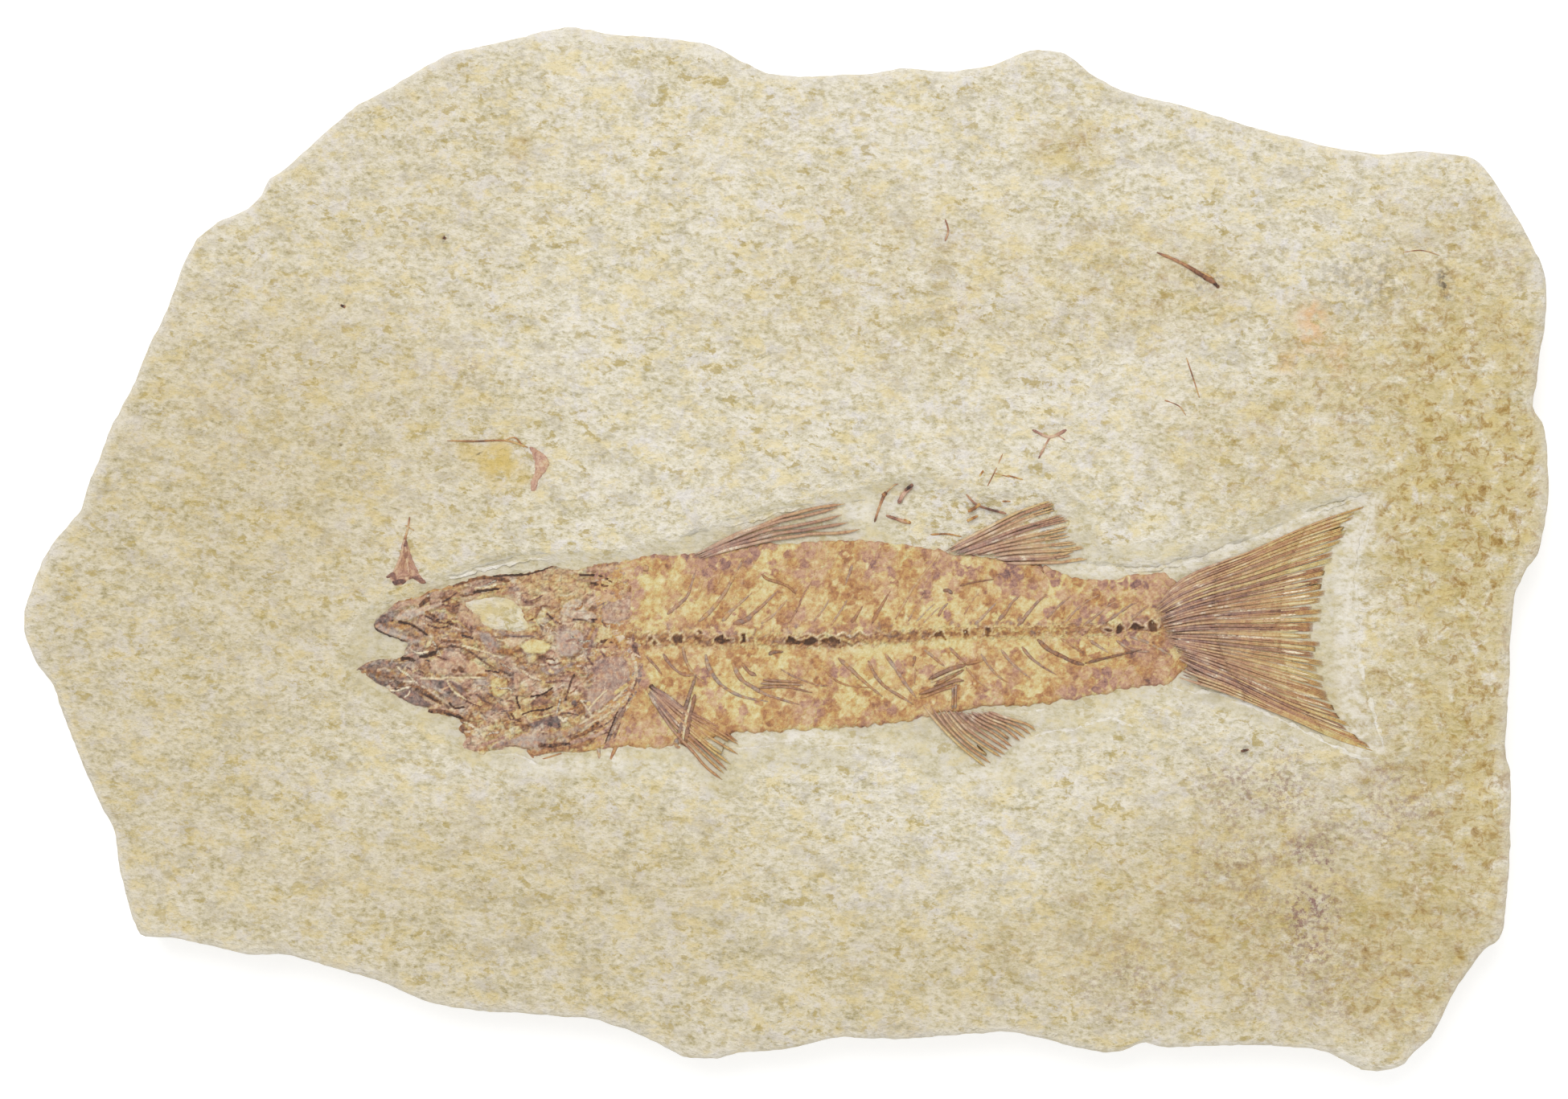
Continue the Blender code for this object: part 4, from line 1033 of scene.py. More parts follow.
        # painted shade in the cracks between crumbs round the backbone
        r.tint(smoothstep(2.2 - d, 0, 1) * smoothstep(second - first, 0.14, 0.0) * 0.7, dark=0.8)
        r.tint(smoothstep(2.0 - d, 0, 1) * smoothstep(crumb, 0.72, 0.95) * 0.7, crust=0.9)
        drawn = smoothstep(along, 33, 36) * smoothstep(along, 47, 44) + 0.4 * worn
        for a, b, lift in ((0.7, 1.5, 1.0), (-1.5, -0.8, 0.5)):
            middle = 0.5 * (a + b) + 0.42 * np.cos(2 * np.pi * along / self.drum) + 0.35 * flow
            band = smoothstep(0.34 - np.abs(side - middle), 0, 0.3) * np.clip(drawn, 0, 1) * lift
            r.z += 0.14 * band
            r.tint(band * 0.8, crust=1.0, tone=0.12)
            # painted shade in the hollow beside each lime band
            under = smoothstep(0.3 - np.abs(side - middle + 0.5 * np.sign(a)), 0, 0.25)
            r.tint(under * np.clip(drawn, 0, 1) * 0.8, dark=0.9)
        dark_patches = smoothstep(n.fractal(r.x, r.y + 33, 1.3, 3), 0.1, 0.5)
        r.tint(dark_patches * smoothstep(2.4 - np.abs(side - 1.2), 0, 1) * 0.75, slate=0.8, tone=0.62)
        grit = smoothstep(n.fractal(r.x - 9, r.y + 5, 0.9, 3), -0.1, 0.35)
        r.tint(grit * smoothstep(1.1 - np.abs(side + 0.5 * flow - 0.2), 0, 0.7) * 0.6,
               tone=0.74, dark=0.45, crust=0.0)
        for outline, shade in self.pits:
            rag = 0.26 * flow + 0.24 * n.fractal(r.x, r.y, 0.7, 3)
            inside = depth_inside(r.x, r.y, outline) + rag
            # pale rim on the upper lip of each shaded pit: lime, and partly a painted highlight on
            # the lip that faces the light
            top = r.y > np.mean([y for _, y in outline]) - 0.4
            ring = smoothstep(0.3 - np.abs(inside + 0.32), 0, 0.25) * top * (shade > 0.5)
            r.z += 0.14 * ring
            r.tint(ring * 0.6, crust=0.65, tone=0.2, dark=0.0)
            r.pit(inside, 0.4, shade)

    def build(self) -> bpy.types.Object:
        """The flank as one closed relief."""
        self.relief = self.lay_out()
        self.lay_scales(self.relief)
        self.lay_backbone(self.relief)
        self.relief.z = np.clip(self.relief.z, SUNK - 0.1, FLANK_TOP)
        self.relief.sink_edge()
        return dress(self.relief.solid("fish_flank"), Slot.FISH, "fossil_fish")


# Bones of the head, from the deepest up. A plate is an outline; a rod is a line with its radii.
# Paints are (tone, mauve, slate).
HEAD_PLATES = (
    # outline, paint, lift, flatness
    ([(-75.6, -13.9), (-74.9, -12.4), (-73.2, -11.6), (-70.6, -11.2), (-66.4, -10), (-66.5, -10.9),
      (-69, -12), (-71.5, -13.3), (-74, -13.9)], (0.16, 0.9, 0.6), 0.25, 0.6),
    ([(-77.3, -11.9), (-75, -10.2), (-71, -9.2), (-68.6, -8.1), (-66, -8), (-66.5, -9.2),
      (-69.4, -9.6), (-70.5, -10.7), (-73.5, -11.3), (-75.6, -12)], (0.3, 0.8, 0.2), 0.3, 0.5),
    ([(-66, -8), (-63.5, -7.8), (-62.6, -9), (-64.5, -9.6), (-66.5, -9.2)], (0.52, 0.6, 0.2),
     0.2, 0.3),
    ([(-79.6, -14.9), (-79.2, -13.6), (-77.6, -12.3), (-76, -11.9), (-75.2, -12.6), (-76.2, -14),
      (-78.2, -14.6)], (0.62, 0.9, 1.0), 0.35, 0.7),
    ([(-79.5, -15), (-78.3, -14.3), (-75.8, -15.6), (-73, -16.7), (-70.6, -17.4), (-71.2, -18.3),
      (-73, -17.9), (-75.4, -17), (-77.6, -16.3)], (0.26, 0.9, 1.0), 0.35, 0.8),
    ([(-66.4, -11.2), (-64.8, -10.4), (-63.3, -10.9), (-63.2, -12.3), (-64.6, -12.4)],
     (0.66, 0.4, 0.1), 0.15, 0.3),
    ([(-63.4, -12.4), (-61.4, -12), (-59.4, -13), (-59.2, -14.6), (-61.5, -15), (-63.6, -14.5)],
     (0.28, 0.7, 0.1), 0.2, 0.6),
    ([(-62.8, -7.8), (-60, -7.2), (-57, -6.4), (-54.8, -6.8), (-58, -7.1), (-60.2, -8.2),
      (-62.5, -8.7)], (0.33, 0.9, 0.3), 0.3, 0.5),
    ([(-57.8, -8.6), (-56, -8.4), (-53, -7.9), (-52.2, -8.5), (-54, -9), (-57, -8.9)],
     (0.42, 0.5, 0.1), 0.2, 0.6),
    ([(-52, -5.4), (-45, -3.8), (-40, -4.4), (-38, -9), (-43, -11), (-50, -10)],
     (0.2, 0.3, 0.1), 0.08, 0.15),
    ([(-44.8, -3.3), (-42.5, -4.1), (-37, -3.3), (-33, -3), (-32.6, -4.4), (-38.6, -4.4),
      (-42, -4.9)], (0.22, 0.8, 0.3), 0.2, 0.4),
    ([(-39.3, -4.9), (-38, -4.6), (-36.5, -4.1), (-36.8, -4.8), (-38, -5.1)], (0.72, 0.4, 0.0),
     0.3, 0.5),
    ([(-40.4, -6.1), (-40, -5.6), (-37.6, -5.6), (-36.2, -6.6), (-38.5, -6.6)],
     (0.42, 0.2, 0.5), 0.2, 0.5),
    ([(-43.8, -11.9), (-42.5, -10.3), (-41, -9.4), (-39.6, -9.8), (-39, -11.2), (-37, -12.2),
      (-36.4, -13.2), (-37.6, -14.3), (-39.8, -13.5), (-43, -12.9)], (0.06, 0.9, 0.9), 0.25, 0.4),
    ([(-34.8, -10.3), (-33, -9.8), (-30, -9.3), (-29.8, -12), (-30.2, -13.4), (-32.5, -14.2),
      (-34.6, -14.5), (-35.8, -12.9)], (0.32, 1.0, 0.4), 0.25, 0.4),
    ([(-51.3, -18.6), (-49.5, -17.4), (-47, -17.6), (-45.2, -18.6), (-46.5, -20.1),
      (-48.6, -20.3), (-50.4, -19.9)], (0.04, 0.0, 0.0), 0.1, 1.0),
    ([(-55, -17.3), (-52.5, -16.9), (-50.3, -17.2), (-51.6, -18.7), (-53.6, -19)],
     (0.1, 0.6, 0.2), 0.12, 0.9),
    ([(-59.4, -16.1), (-57.5, -16), (-56, -17.6), (-55.4, -19), (-57.3, -19.3), (-58.8, -18)],
     (0.36, 0.9, 1.0), 0.2, 0.7),
    ([(-44.7, -17.2), (-44, -15.8), (-42, -15.3), (-40, -15.6), (-38.9, -17), (-39.2, -18.8),
      (-40.6, -20.3), (-42.4, -21), (-44, -19.9)], (0.26, 0.9, 0.8), 0.3, 0.9),
    ([(-37.4, -15), (-38.4, -16.6), (-39.4, -18.7), (-38.4, -19.5), (-37.7, -17.6),
      (-36.9, -15.4)], (0.44, 0.0, 0.0), 0.3, 0.7),
    ([(-36.5, -14.4), (-34.8, -14.9), (-33.5, -15.8), (-33.6, -17.3), (-35.2, -17.3),
      (-36.4, -18.6)], (0.08, 0.2, 0.1), 0.2, 0.6),
    ([(-68.8, -21.6), (-67, -20.4), (-65, -19.6), (-62.6, -20), (-61.2, -21.5), (-60.6, -23.3),
      (-62, -24.4), (-64.5, -24.2), (-67, -24.4), (-68.6, -23.6)], (0.26, 0.9, 0.2), 0.26, 0.5),
    ([(-61.8, -21.4), (-60.2, -21.6), (-58.2, -22.6), (-57.6, -24.2), (-59.6, -24.6),
      (-61.4, -24.2)], (0.2, 0.6, 0.0), 0.2, 0.8),
    ([(-57.2, -24.4), (-55, -24.8), (-53.6, -26), (-54.4, -28), (-56.6, -28.3)],
     (0.1, 0.0, 0.0), 0.15, 0.5),
    ([(-56, -20.9), (-54, -22), (-52.6, -23.6), (-52.4, -24.6), (-54.2, -24), (-56, -22.8)],
     (0.5, 0.3, 0.7), 0.2, 0.5),
    ([(-52.6, -23.8), (-51.6, -24), (-51.4, -26.6), (-52.4, -27.4)], (0.24, 0.8, 0.1), 0.15, 0.7),
    ([(-56, -19.9), (-55, -19.1), (-53.3, -19.1), (-52.2, -19.8), (-52.5, -20.5),
      (-54.2, -20.5)], (0.5, 0.0, 0.0), 0.4, 0.9),
    ([(-48, -20.6), (-46.9, -20.2), (-46, -20.4), (-46.3, -20.9), (-47.6, -21.2)],
     (0.76, 0.0, 0.0), 0.4, 0.9),
    ([(-47.6, -23.2), (-46.5, -22.5), (-44, -22.7), (-41.6, -21.8), (-40.2, -21.6),
      (-41, -22.6), (-43.2, -23.5), (-44.6, -24.6), (-46.3, -24.3)], (0.46, 0.9, 1.0), 0.3, 0.6),
    ([(-37.2, -21.6), (-35, -20.8), (-33, -20.5), (-31.2, -20.9), (-30.4, -22.5),
      (-30.1, -24.2), (-30.6, -26), (-32.4, -28), (-34.6, -30), (-36.6, -31.3), (-38.6, -32),
      (-38.9, -30), (-37.9, -27), (-37.3, -24)], (0.3, 0.9, 0.6), 0.3, 0.9),
    ([(-30, -16.5), (-29.2, -16.2), (-28.5, -18.5), (-28.1, -20.6), (-28.3, -21.3),
      (-29.4, -20.5), (-30, -19)], (0.7, 0.6, 0.1), 0.25, 0.6),
    ([(-28.8, -23.6), (-28, -22.2), (-27.4, -22), (-27.6, -24.4), (-28.2, -27), (-29.4, -29.4)],
     (0.5, 0.9, 0.9), 0.2, 0.7),
    ([(-83, -23.2), (-81, -22), (-78.8, -21.5), (-75.4, -21.7), (-74.8, -22.8), (-76.6, -23),
      (-78.6, -22.4), (-81, -23.1)], (0.55, 0.9, 1.0), 0.3, 0.5),
    ([(-81, -23.2), (-78.6, -22.4), (-76.6, -23.4), (-75.4, -24.2), (-76.6, -25.2),
      (-79, -24.8)], (0.62, 0.3, 0.0), 0.2, 0.2),
    ([(-80.3, -24.3), (-78, -25.2), (-76.8, -26.4), (-77.6, -26.7), (-79, -26)],
     (0.72, 0.8, 0.8), 0.2, 0.6),
    ([(-76.2, -27.3), (-74.3, -27.6), (-73.2, -26.8), (-71.4, -27.4), (-70, -28.7), (-68.2, -30),
      (-69.6, -30.5), (-72, -30.1), (-74.6, -28.8)], (0.64, 1.0, 0.4), 0.3, 0.8),
    ([(-69, -25.3), (-66.4, -25.1), (-65.2, -25.6), (-64.4, -27.2), (-64.9, -28.2),
      (-67, -27.3)], (0.6, 0.9, 0.9), 0.25, 0.7),
    ([(-65, -25.3), (-63.6, -25.6), (-62, -27), (-61.5, -28.4), (-62.6, -28.4), (-64, -27)],
     (0.62, 0.9, 0.8), 0.25, 0.7),
    ([(-65.4, -29), (-64, -28.2), (-62.4, -28.9), (-61.6, -29.6), (-62.2, -30.2),
      (-64.4, -30.4)], (0.48, 0.4, 0.8), 0.3, 0.8),
    ([(-60.4, -25.4), (-58.5, -25.1), (-57, -25.6), (-57.4, -26.3), (-59.5, -26.4)],
     (0.34, 0.9, 0.9), 0.2, 0.7),
    ([(-60.2, -27.9), (-59.2, -27.9), (-58, -28.9), (-56.8, -29.6), (-57.6, -30),
      (-59, -29.4)], (0.86, 0.4, 0.3), 0.1, 0.4),
    ([(-63.2, -34.8), (-62.9, -33.9), (-61.9, -34), (-61.8, -34.9), (-62.6, -35.4)],
     (0.8, 0.5, 0.1), 0.3, 0.3),
    ([(-49, -29), (-47, -28.6), (-45.4, -28.8), (-45, -29.8), (-47.5, -30.3), (-49.6, -30.2)],
     (0.62, 0.6, 0.1), 0.2, 0.6),
    ([(-51.6, -29.6), (-49.6, -28.6), (-48.8, -29.4), (-50.4, -30.2)], (0.08, 0.1, 0.2), 0.2, 0.8),
    ([(-41.8, -29.7), (-40.9, -28.9), (-40.1, -29.2), (-40.2, -30.2), (-41, -30.4)],
     (0.62, 0.9, 1.0), 0.25, 0.8),
    ([(-49.8, -33.6), (-47.6, -32.8), (-45.6, -32.2), (-44.2, -31.9), (-43.6, -33),
      (-43.4, -34.4), (-45, -34.6), (-47, -34.1), (-48.6, -34.6)], (0.66, 0.9, 0.9), 0.2, 0.8),
    ([(-47.9, -32.3), (-46.4, -31.9), (-44.4, -31.4), (-44.9, -31.9), (-46.4, -32.5),
      (-47.6, -32.7)], (0.0, 0.0, 0.0), 0.45, 0.9),
    ([(-54, -37), (-52, -36.1), (-50.6, -35.4), (-48.4, -35.3), (-46.2, -36), (-46.2, -37.5),
      (-47.4, -38.3), (-51, -38.3), (-52.6, -37.9)], (0.3, 0.8, 0.9), 0.3, 0.9),
    ([(-57.2, -38.6), (-56, -37.3), (-54, -36.8), (-53.3, -37.4), (-54.6, -38.2)],
     (0.5, 0.9, 1.0), 0.25, 0.8),
    ([(-39.5, -38.6), (-37, -37.2), (-34.8, -36.6), (-34.4, -37.8), (-36.5, -38.8),
      (-38.5, -39.2)], (0.28, 0.0, 0.0), 0.15, 0.8),
    ([(-47.6, -36.8), (-42, -36), (-38.8, -34.6), (-36, -32.6), (-38.4, -32.6), (-41.6, -34.4),
      (-46, -35.2)], (0.38, 0.3, 0.7), 0.15, 0.7),
    ([(-50, -39.2), (-48.4, -38.6), (-47.4, -39.4), (-48.4, -40.1), (-49.6, -40)],
     (0.5, 0.1, 0.0), 0.3, 0.4),
)
GILL_COVER = 29                # the number of its plate in HEAD_PLATES
HEAD_RODS = (
    # line, radii, paint, lift, lime, hollow; hollow is painted shade along the rod
    ([(-79.3, -15.4), (-76.6, -16.8), (-73.5, -17.9)], (0.25, 0.25), (0.8, 0.8, 0.6), 0.2, 0, 0.3),
    ([(-76.4, -14.4), (-73, -15.4), (-70.6, -16.8)], (0.55, 0.4), (0.36, 0.1, 0.0), 0.2, 0, 0),
    ([(-74.6, -14), (-72.2, -14.6), (-70.2, -15.9), (-69.2, -16.6)], (0.3, 0.2), (0.86, 0.2, 0),
     0.2, 0, 0.5),
    ([(-70.6, -10.9), (-69, -9.5)], (0.35, 0.6), (0.7, 0.2, 0.1), 0.1, 0, 0.2),
    ([(-75, -9.6), (-71, -8.9), (-68, -7.9), (-64, -7.3)], (0.4, 0.3), (0.3, 0.1, 0), 0.1, 0, 0),
    ([(-64.1, -7), (-61.5, -6.2), (-59, -5.5), (-57, -5.5), (-53.5, -6.1)], (0.32, 0.4),
     (0.66, 0.2, 0), 0.25, 0, 0.1),
    ([(-60.2, -8.3), (-57.5, -7.9), (-55.3, -7.6)], (0.3, 0.2), (0.96, 0.2, 0), 0.1, 0, 0.9),
    # a pale strip over a dark line: lime, and partly a painted highlight
    ([(-60, -7.6), (-57.5, -7.3), (-56, -6.9)], (0.22, 0.22), (0.1, 0.2, 0), 0.3, 0.8, 0),
    ([(-62.4, -9.1), (-60.2, -8.7)], (0.2, 0.2), (0.7, 0.1, 0.2), 0.1, 0, 0.4),
    ([(-56.5, -5.2), (-52, -5), (-50, -4.9), (-48, -4.3), (-44.9, -3.3)], (0.2, 0.14),
     (0.9, 0.2, 0.3), 0.1, 0, 0.8),
    ([(-52.1, -4.9), (-51, -4.9)], (0.42, 0.4), (0.9, 0.2, 0), 0.1, 0, 0.8),
    ([(-39.8, -5), (-37.5, -5), (-35.4, -5.3), (-33.6, -6.4)], (0.2, 0.16), (0.9, 0.3, 0), 0.1,
     0, 0.7),
    ([(-37.6, -6.5), (-35.6, -6.9), (-34.4, -7.2)], (0.24, 0.3), (0.8, 0.3, 0), 0.2, 0, 0.3),
    ([(-37.8, -7.3), (-36, -7.8), (-34.6, -8.1)], (0.3, 0.35), (0.5, 0.5, 0), 0.2, 0, 0),
    ([(-69.4, -12.2), (-67.6, -13.1)], (0.35, 0.25), (0.6, 0, 0), 0.2, 0, 0),
    ([(-68, -13.7), (-67.8, -14)], (0.4, 0.35), (0.66, 0.2, 0), 0.2, 0, 0),
    ([(-64.8, -14.3), (-64.2, -14.4)], (0.4, 0.35), (0.72, 0.3, 0), 0.2, 0, 0.2),
    ([(-66.4, -12.9), (-65.6, -13.2)], (0.8, 0.7), (0.36, 0.8, 0.9), 0.05, 0, 0),
    ([(-59.4, -15.3), (-58.6, -15.3)], (0.5, 0.5), (0.5, 0, 0), 0.15, 0, 0),
    ([(-55.2, -16.1), (-53.4, -16.6), (-51, -16.8), (-48.4, -16.9)], (0.45, 0.16),
     (0.66, 0.9, 1), 0.3, 0, 0.1),
    ([(-51.1, -12.4), (-50.6, -13.4)], (0.3, 0.3), (0.8, 0.2, 0), 0.1, 0, 0.3),
    ([(-36.6, -15.5), (-37.6, -18), (-38.3, -20.5)], (0.4, 0.3), (0.42, 0.9, 0.5), 0.3, 0, 0),
    ([(-35.6, -17.9), (-34.6, -17.7), (-33.5, -18.1)], (0.35, 0.3), (0.8, 0.3, 0), 0.1, 0, 0.5),
    ([(-33.3, -16.9), (-32, -19.3)], (0.35, 0.35), (0.4, 0, 0), 0.25, 0, 0),
    ([(-30.3, -19.4), (-30.1, -19.9)], (0.5, 0.4), (0.2, 0.9, 1), 0.2, 0, 0),
    ([(-47.4, -22.3), (-46.1, -22.3)], (0.3, 0.3), (0.26, 0.9, 0.8), 0.2, 0, 0),
    ([(-45.5, -23.5), (-45, -23.8)], (0.4, 0.35), (0.2, 0, 0), 0.1, 0.4, 0),
    ([(-36.9, -23.2), (-36.1, -23.6)], (0.8, 0.6), (0.5, 1, 0.4), 0.02, 0, 0),
    ([(-34.8, -21.9), (-34.2, -22.2)], (0.5, 0.4), (0.46, 1, 0.4), 0.02, 0, 0),
    ([(-29.7, -20.5), (-29, -22.6), (-29.1, -25), (-30, -27.5), (-32.2, -30), (-35, -32.3),
      (-38.8, -34.4)], (0.4, 0.35), (0.16, 0.3, 0.4), 0.2, 0.4, 0),
    ([(-30.6, -26.2), (-32.9, -28.9), (-36, -31.4), (-40, -33.9)], (0.25, 0.2), (0.14, 0.4, 0.3),
     0.15, 0.4, 0),
    ([(-28.9, -25), (-29.6, -27.6), (-31.4, -30.6), (-34.4, -33.4), (-38, -35.2)], (0.2, 0.25),
     (0.56, 0.6, 0.7), 0.1, 0, 0.3),
    ([(-32.8, -27.6), (-30.4, -25.9)], (0.4, 0.4), (0.12, 0, 0), 0.1, 0, 0),
    ([(-39.6, -29.2), (-38.2, -31), (-37.2, -32.6)], (0.2, 0.2), (0.1, 0.5, 0.5), 0.2, 0.3, 0),
    ([(-38.2, -30.9), (-36, -28.4), (-34.6, -27.2)], (0.2, 0.16), (0.1, 0.3, 0.2), 0.2, 0.4, 0),
    ([(-38.1, -29.8), (-37.9, -29.9)], (0.5, 0.45), (0.06, 0, 0), 0.2, 0, 0),
    ([(-41.4, -36.5), (-39.2, -35.6), (-37.2, -34.3), (-36.3, -33.3)], (0.25, 0.5),
     (0.66, 0.1, 0), 0.25, 0, 0),
    ([(-47.4, -37.8), (-45.5, -37.9), (-43, -37.6), (-41.2, -37.4)], (0.45, 0.25),
     (0.7, 0.3, 0), 0.3, 0, 0),
    ([(-41.4, -37.3), (-38.6, -36.6), (-36, -35.6), (-33.8, -34), (-32.3, -31.5)], (0.4, 0.4),
     (0.32, 0.9, 0.3), 0.3, 0, 0),
    ([(-47.6, -39.3), (-44, -38.7), (-41.8, -38.2), (-39.5, -37.7), (-37, -36.4)], (0.4, 0.35),
     (0.46, 0.3, 0), 0.25, 0, 0),
    ([(-32, -30.8), (-33.4, -34), (-34.6, -37.6)], (0.35, 0.45), (0.42, 0.7, 0.8), 0.3, 0, 0),
    ([(-31.2, -30.8), (-32.5, -34.6), (-33.3, -37.2)], (0.3, 0.4), (0.46, 0.6, 0.4), 0.3, 0, 0),
    ([(-32.6, -31.4), (-34, -35), (-35, -37.5)], (0.14, 0.12), (0.85, 0.4, 0.3), 0.1, 0, 0.8),
    ([(-51, -31.9), (-49, -31.2), (-46.8, -31), (-45, -30.4)], (0.14, 0.2), (0.9, 0.3, 0.2), 0.1,
     0, 0.8),
    ([(-49.2, -28.4), (-47, -28), (-45, -26.7)], (0.2, 0.16), (0.9, 0.3, 0.4), 0.1, 0, 0.7),
    ([(-46.3, -28.2), (-45.2, -27.6)], (0.4, 0.4), (0.62, 0, 0), 0.2, 0, 0),
    ([(-42.6, -29), (-41.5, -25.5), (-40.9, -24.2)], (0.22, 0.2), (0.7, 0.3, 0.3), 0.2, 0, 0.3),
    ([(-43.4, -28.6), (-42.4, -26)], (0.2, 0.2), (0.3, 0.3, 0.2), 0.2, 0.3, 0),
    ([(-43.8, -32.4), (-43, -33), (-42.3, -32.6)], (0.3, 0.3), (0.05, 0.3, 0.3), 0.3, 0.8, 0),
    ([(-47.1, -33.9), (-46.9, -34.9)], (0.32, 0.12), (0.1, 0.6, 0.9), 0.2, 0.3, 0),
    ([(-58.6, -37.8), (-56.5, -37), (-54.4, -36.4)], (0.35, 0.3), (0.36, 0.9, 0.1), 0.2, 0, 0),
    ([(-78.8, -23.4), (-77.4, -23), (-76.4, -23.6)], (0.3, 0.2), (0.3, 0.5, 0.1), 0.2, 0.2, 0),
    ([(-79.6, -23.7), (-77.6, -24.2), (-76, -24.9)], (0.28, 0.28), (0.55, 0.1, 0), 0.25, 0, 0),
    ([(-75.4, -25.5), (-74.6, -26.2), (-73.8, -26)], (0.4, 0.6), (0.7, 0, 0.3), -0.1, 0, 0.3),
    ([(-76.4, -27.3), (-74.8, -27.3), (-73.6, -26.8), (-72.2, -26.5)], (0.18, 0.18), (0, 0.4, 0),
     0.3, 1, 0),
    ([(-72.7, -27.3), (-72.8, -28), (-73.6, -28.5)], (0.12, 0.12), (0, 0.4, 0), 0.2, 1, 0),
    ([(-75, -22.6), (-74.4, -23.4), (-73.2, -24.1), (-72, -25.2)], (0.2, 0.18), (0.05, 0.3, 0),
     0.3, 0.9, 0),
    ([(-72.3, -26.3), (-69.6, -27.3), (-67.3, -29.2)], (0.35, 0.3), (0.56, 0, 0.1), 0.25, 0, 0),
    ([(-71.4, -27.2), (-68.8, -28.5), (-66.6, -29.8)], (0.3, 0.3), (0.7, 0.2, 0.3), 0.2, 0, 0.3),
    ([(-69, -27.2), (-66.6, -28.9), (-65, -30.2)], (0.28, 0.2), (0.18, 0.5, 0.5), 0.3, 0.2, 0),
    ([(-70.2, -25.7), (-68, -26.6), (-65, -28.5)], (0.4, 0.45), (0.24, 0.9, 1), 0.4, 0, 0),
    ([(-65, -29.7), (-64, -30.6), (-62, -30.5)], (0.2, 0.2), (0.9, 0.4, 0.4), 0.1, 0, 0.8),
    ([(-65.4, -25.4), (-64.3, -27.2), (-62.6, -28.5), (-61.8, -29)], (0.18, 0.2), (0.08, 0.2, 0),
     0.3, 0.5, 0),
    ([(-70.5, -24.9), (-67.5, -25), (-63, -24.7), (-58, -24.9)], (0.2, 0.2), (0.1, 0.4, 0), 0.2,
     0.5, 0),
    ([(-69.2, -31.3), (-67, -31.2), (-64.6, -31.8), (-62.5, -32.4)], (0.4, 0.35), (0.64, 0.3, 0),
     0.25, 0, 0),
    ([(-66, -31.6), (-62.5, -32.6)], (0.2, 0.3), (0.88, 0.4, 0.1), 0.2, 0, 0.3),
    ([(-74.2, -21.2), (-73, -21.1), (-71.8, -21.5)], (0.35, 0.35), (0.9, 0.1, 0), -0.1, 0, 0.9),
    ([(-70.6, -20.7), (-69, -20.5), (-67.6, -19.9)], (0.3, 0.5), (0.82, 0.1, 0), 0, 0, 0.6),
    # a pale strip over a dark line: lime, and partly a painted highlight
    ([(-71.2, -20.1), (-69, -19.8)], (0.2, 0.2), (0.02, 0, 0), 0.3, 0.9, 0),
    ([(-67.5, -19.4), (-65.5, -18.8), (-63, -18.9), (-60.8, -19.9), (-58, -22), (-56.2, -23)],
     (0.25, 0.2), (0.62, 0.1, 0.5), 0.2, 0, 0.3),
    ([(-62.9, -23.1), (-62.3, -23.6)], (0.6, 0.5), (0.64, 0.3, 0), 0.1, 0, 0.2),
    ([(-64.2, -23.4), (-63.6, -23.7)], (0.4, 0.4), (0.66, 0.3, 0), 0.1, 0, 0.2),
    ([(-59.4, -24.3), (-57.8, -24.3)], (0.35, 0.4), (0.5, 0, 0), 0.2, 0, 0),
    ([(-68, -15.6), (-64, -15.9), (-60, -15.7)], (0.25, 0.2), (0.4, 0.4, 0.6), 0.2, 0, 0),
    ([(-62.5, -16.7), (-60.4, -17.2)], (0.22, 0.2), (0.85, 0.6, 0.2), 0.1, 0, 0.4),
    ([(-66.4, -17.6), (-63, -18)], (0.25, 0.3), (0.62, 0.2, 0), 0.2, 0, 0.1),
    ([(-62.4, -18.6), (-59.6, -19.4), (-57.5, -20), (-55.8, -20.8)], (0.22, 0.2), (0.06, 0.2, 0),
     0.3, 0.6, 0),
    ([(-52, -28.6), (-51.8, -29.8), (-51.3, -30.7)], (0.18, 0.18), (0.9, 0.2, 0.3), 0.1, 0, 0.7),
    ([(-55.3, -23.3), (-53, -24.4)], (0.28, 0.25), (0.62, 0.2, 0.6), 0.1, 0, 0.3),
)


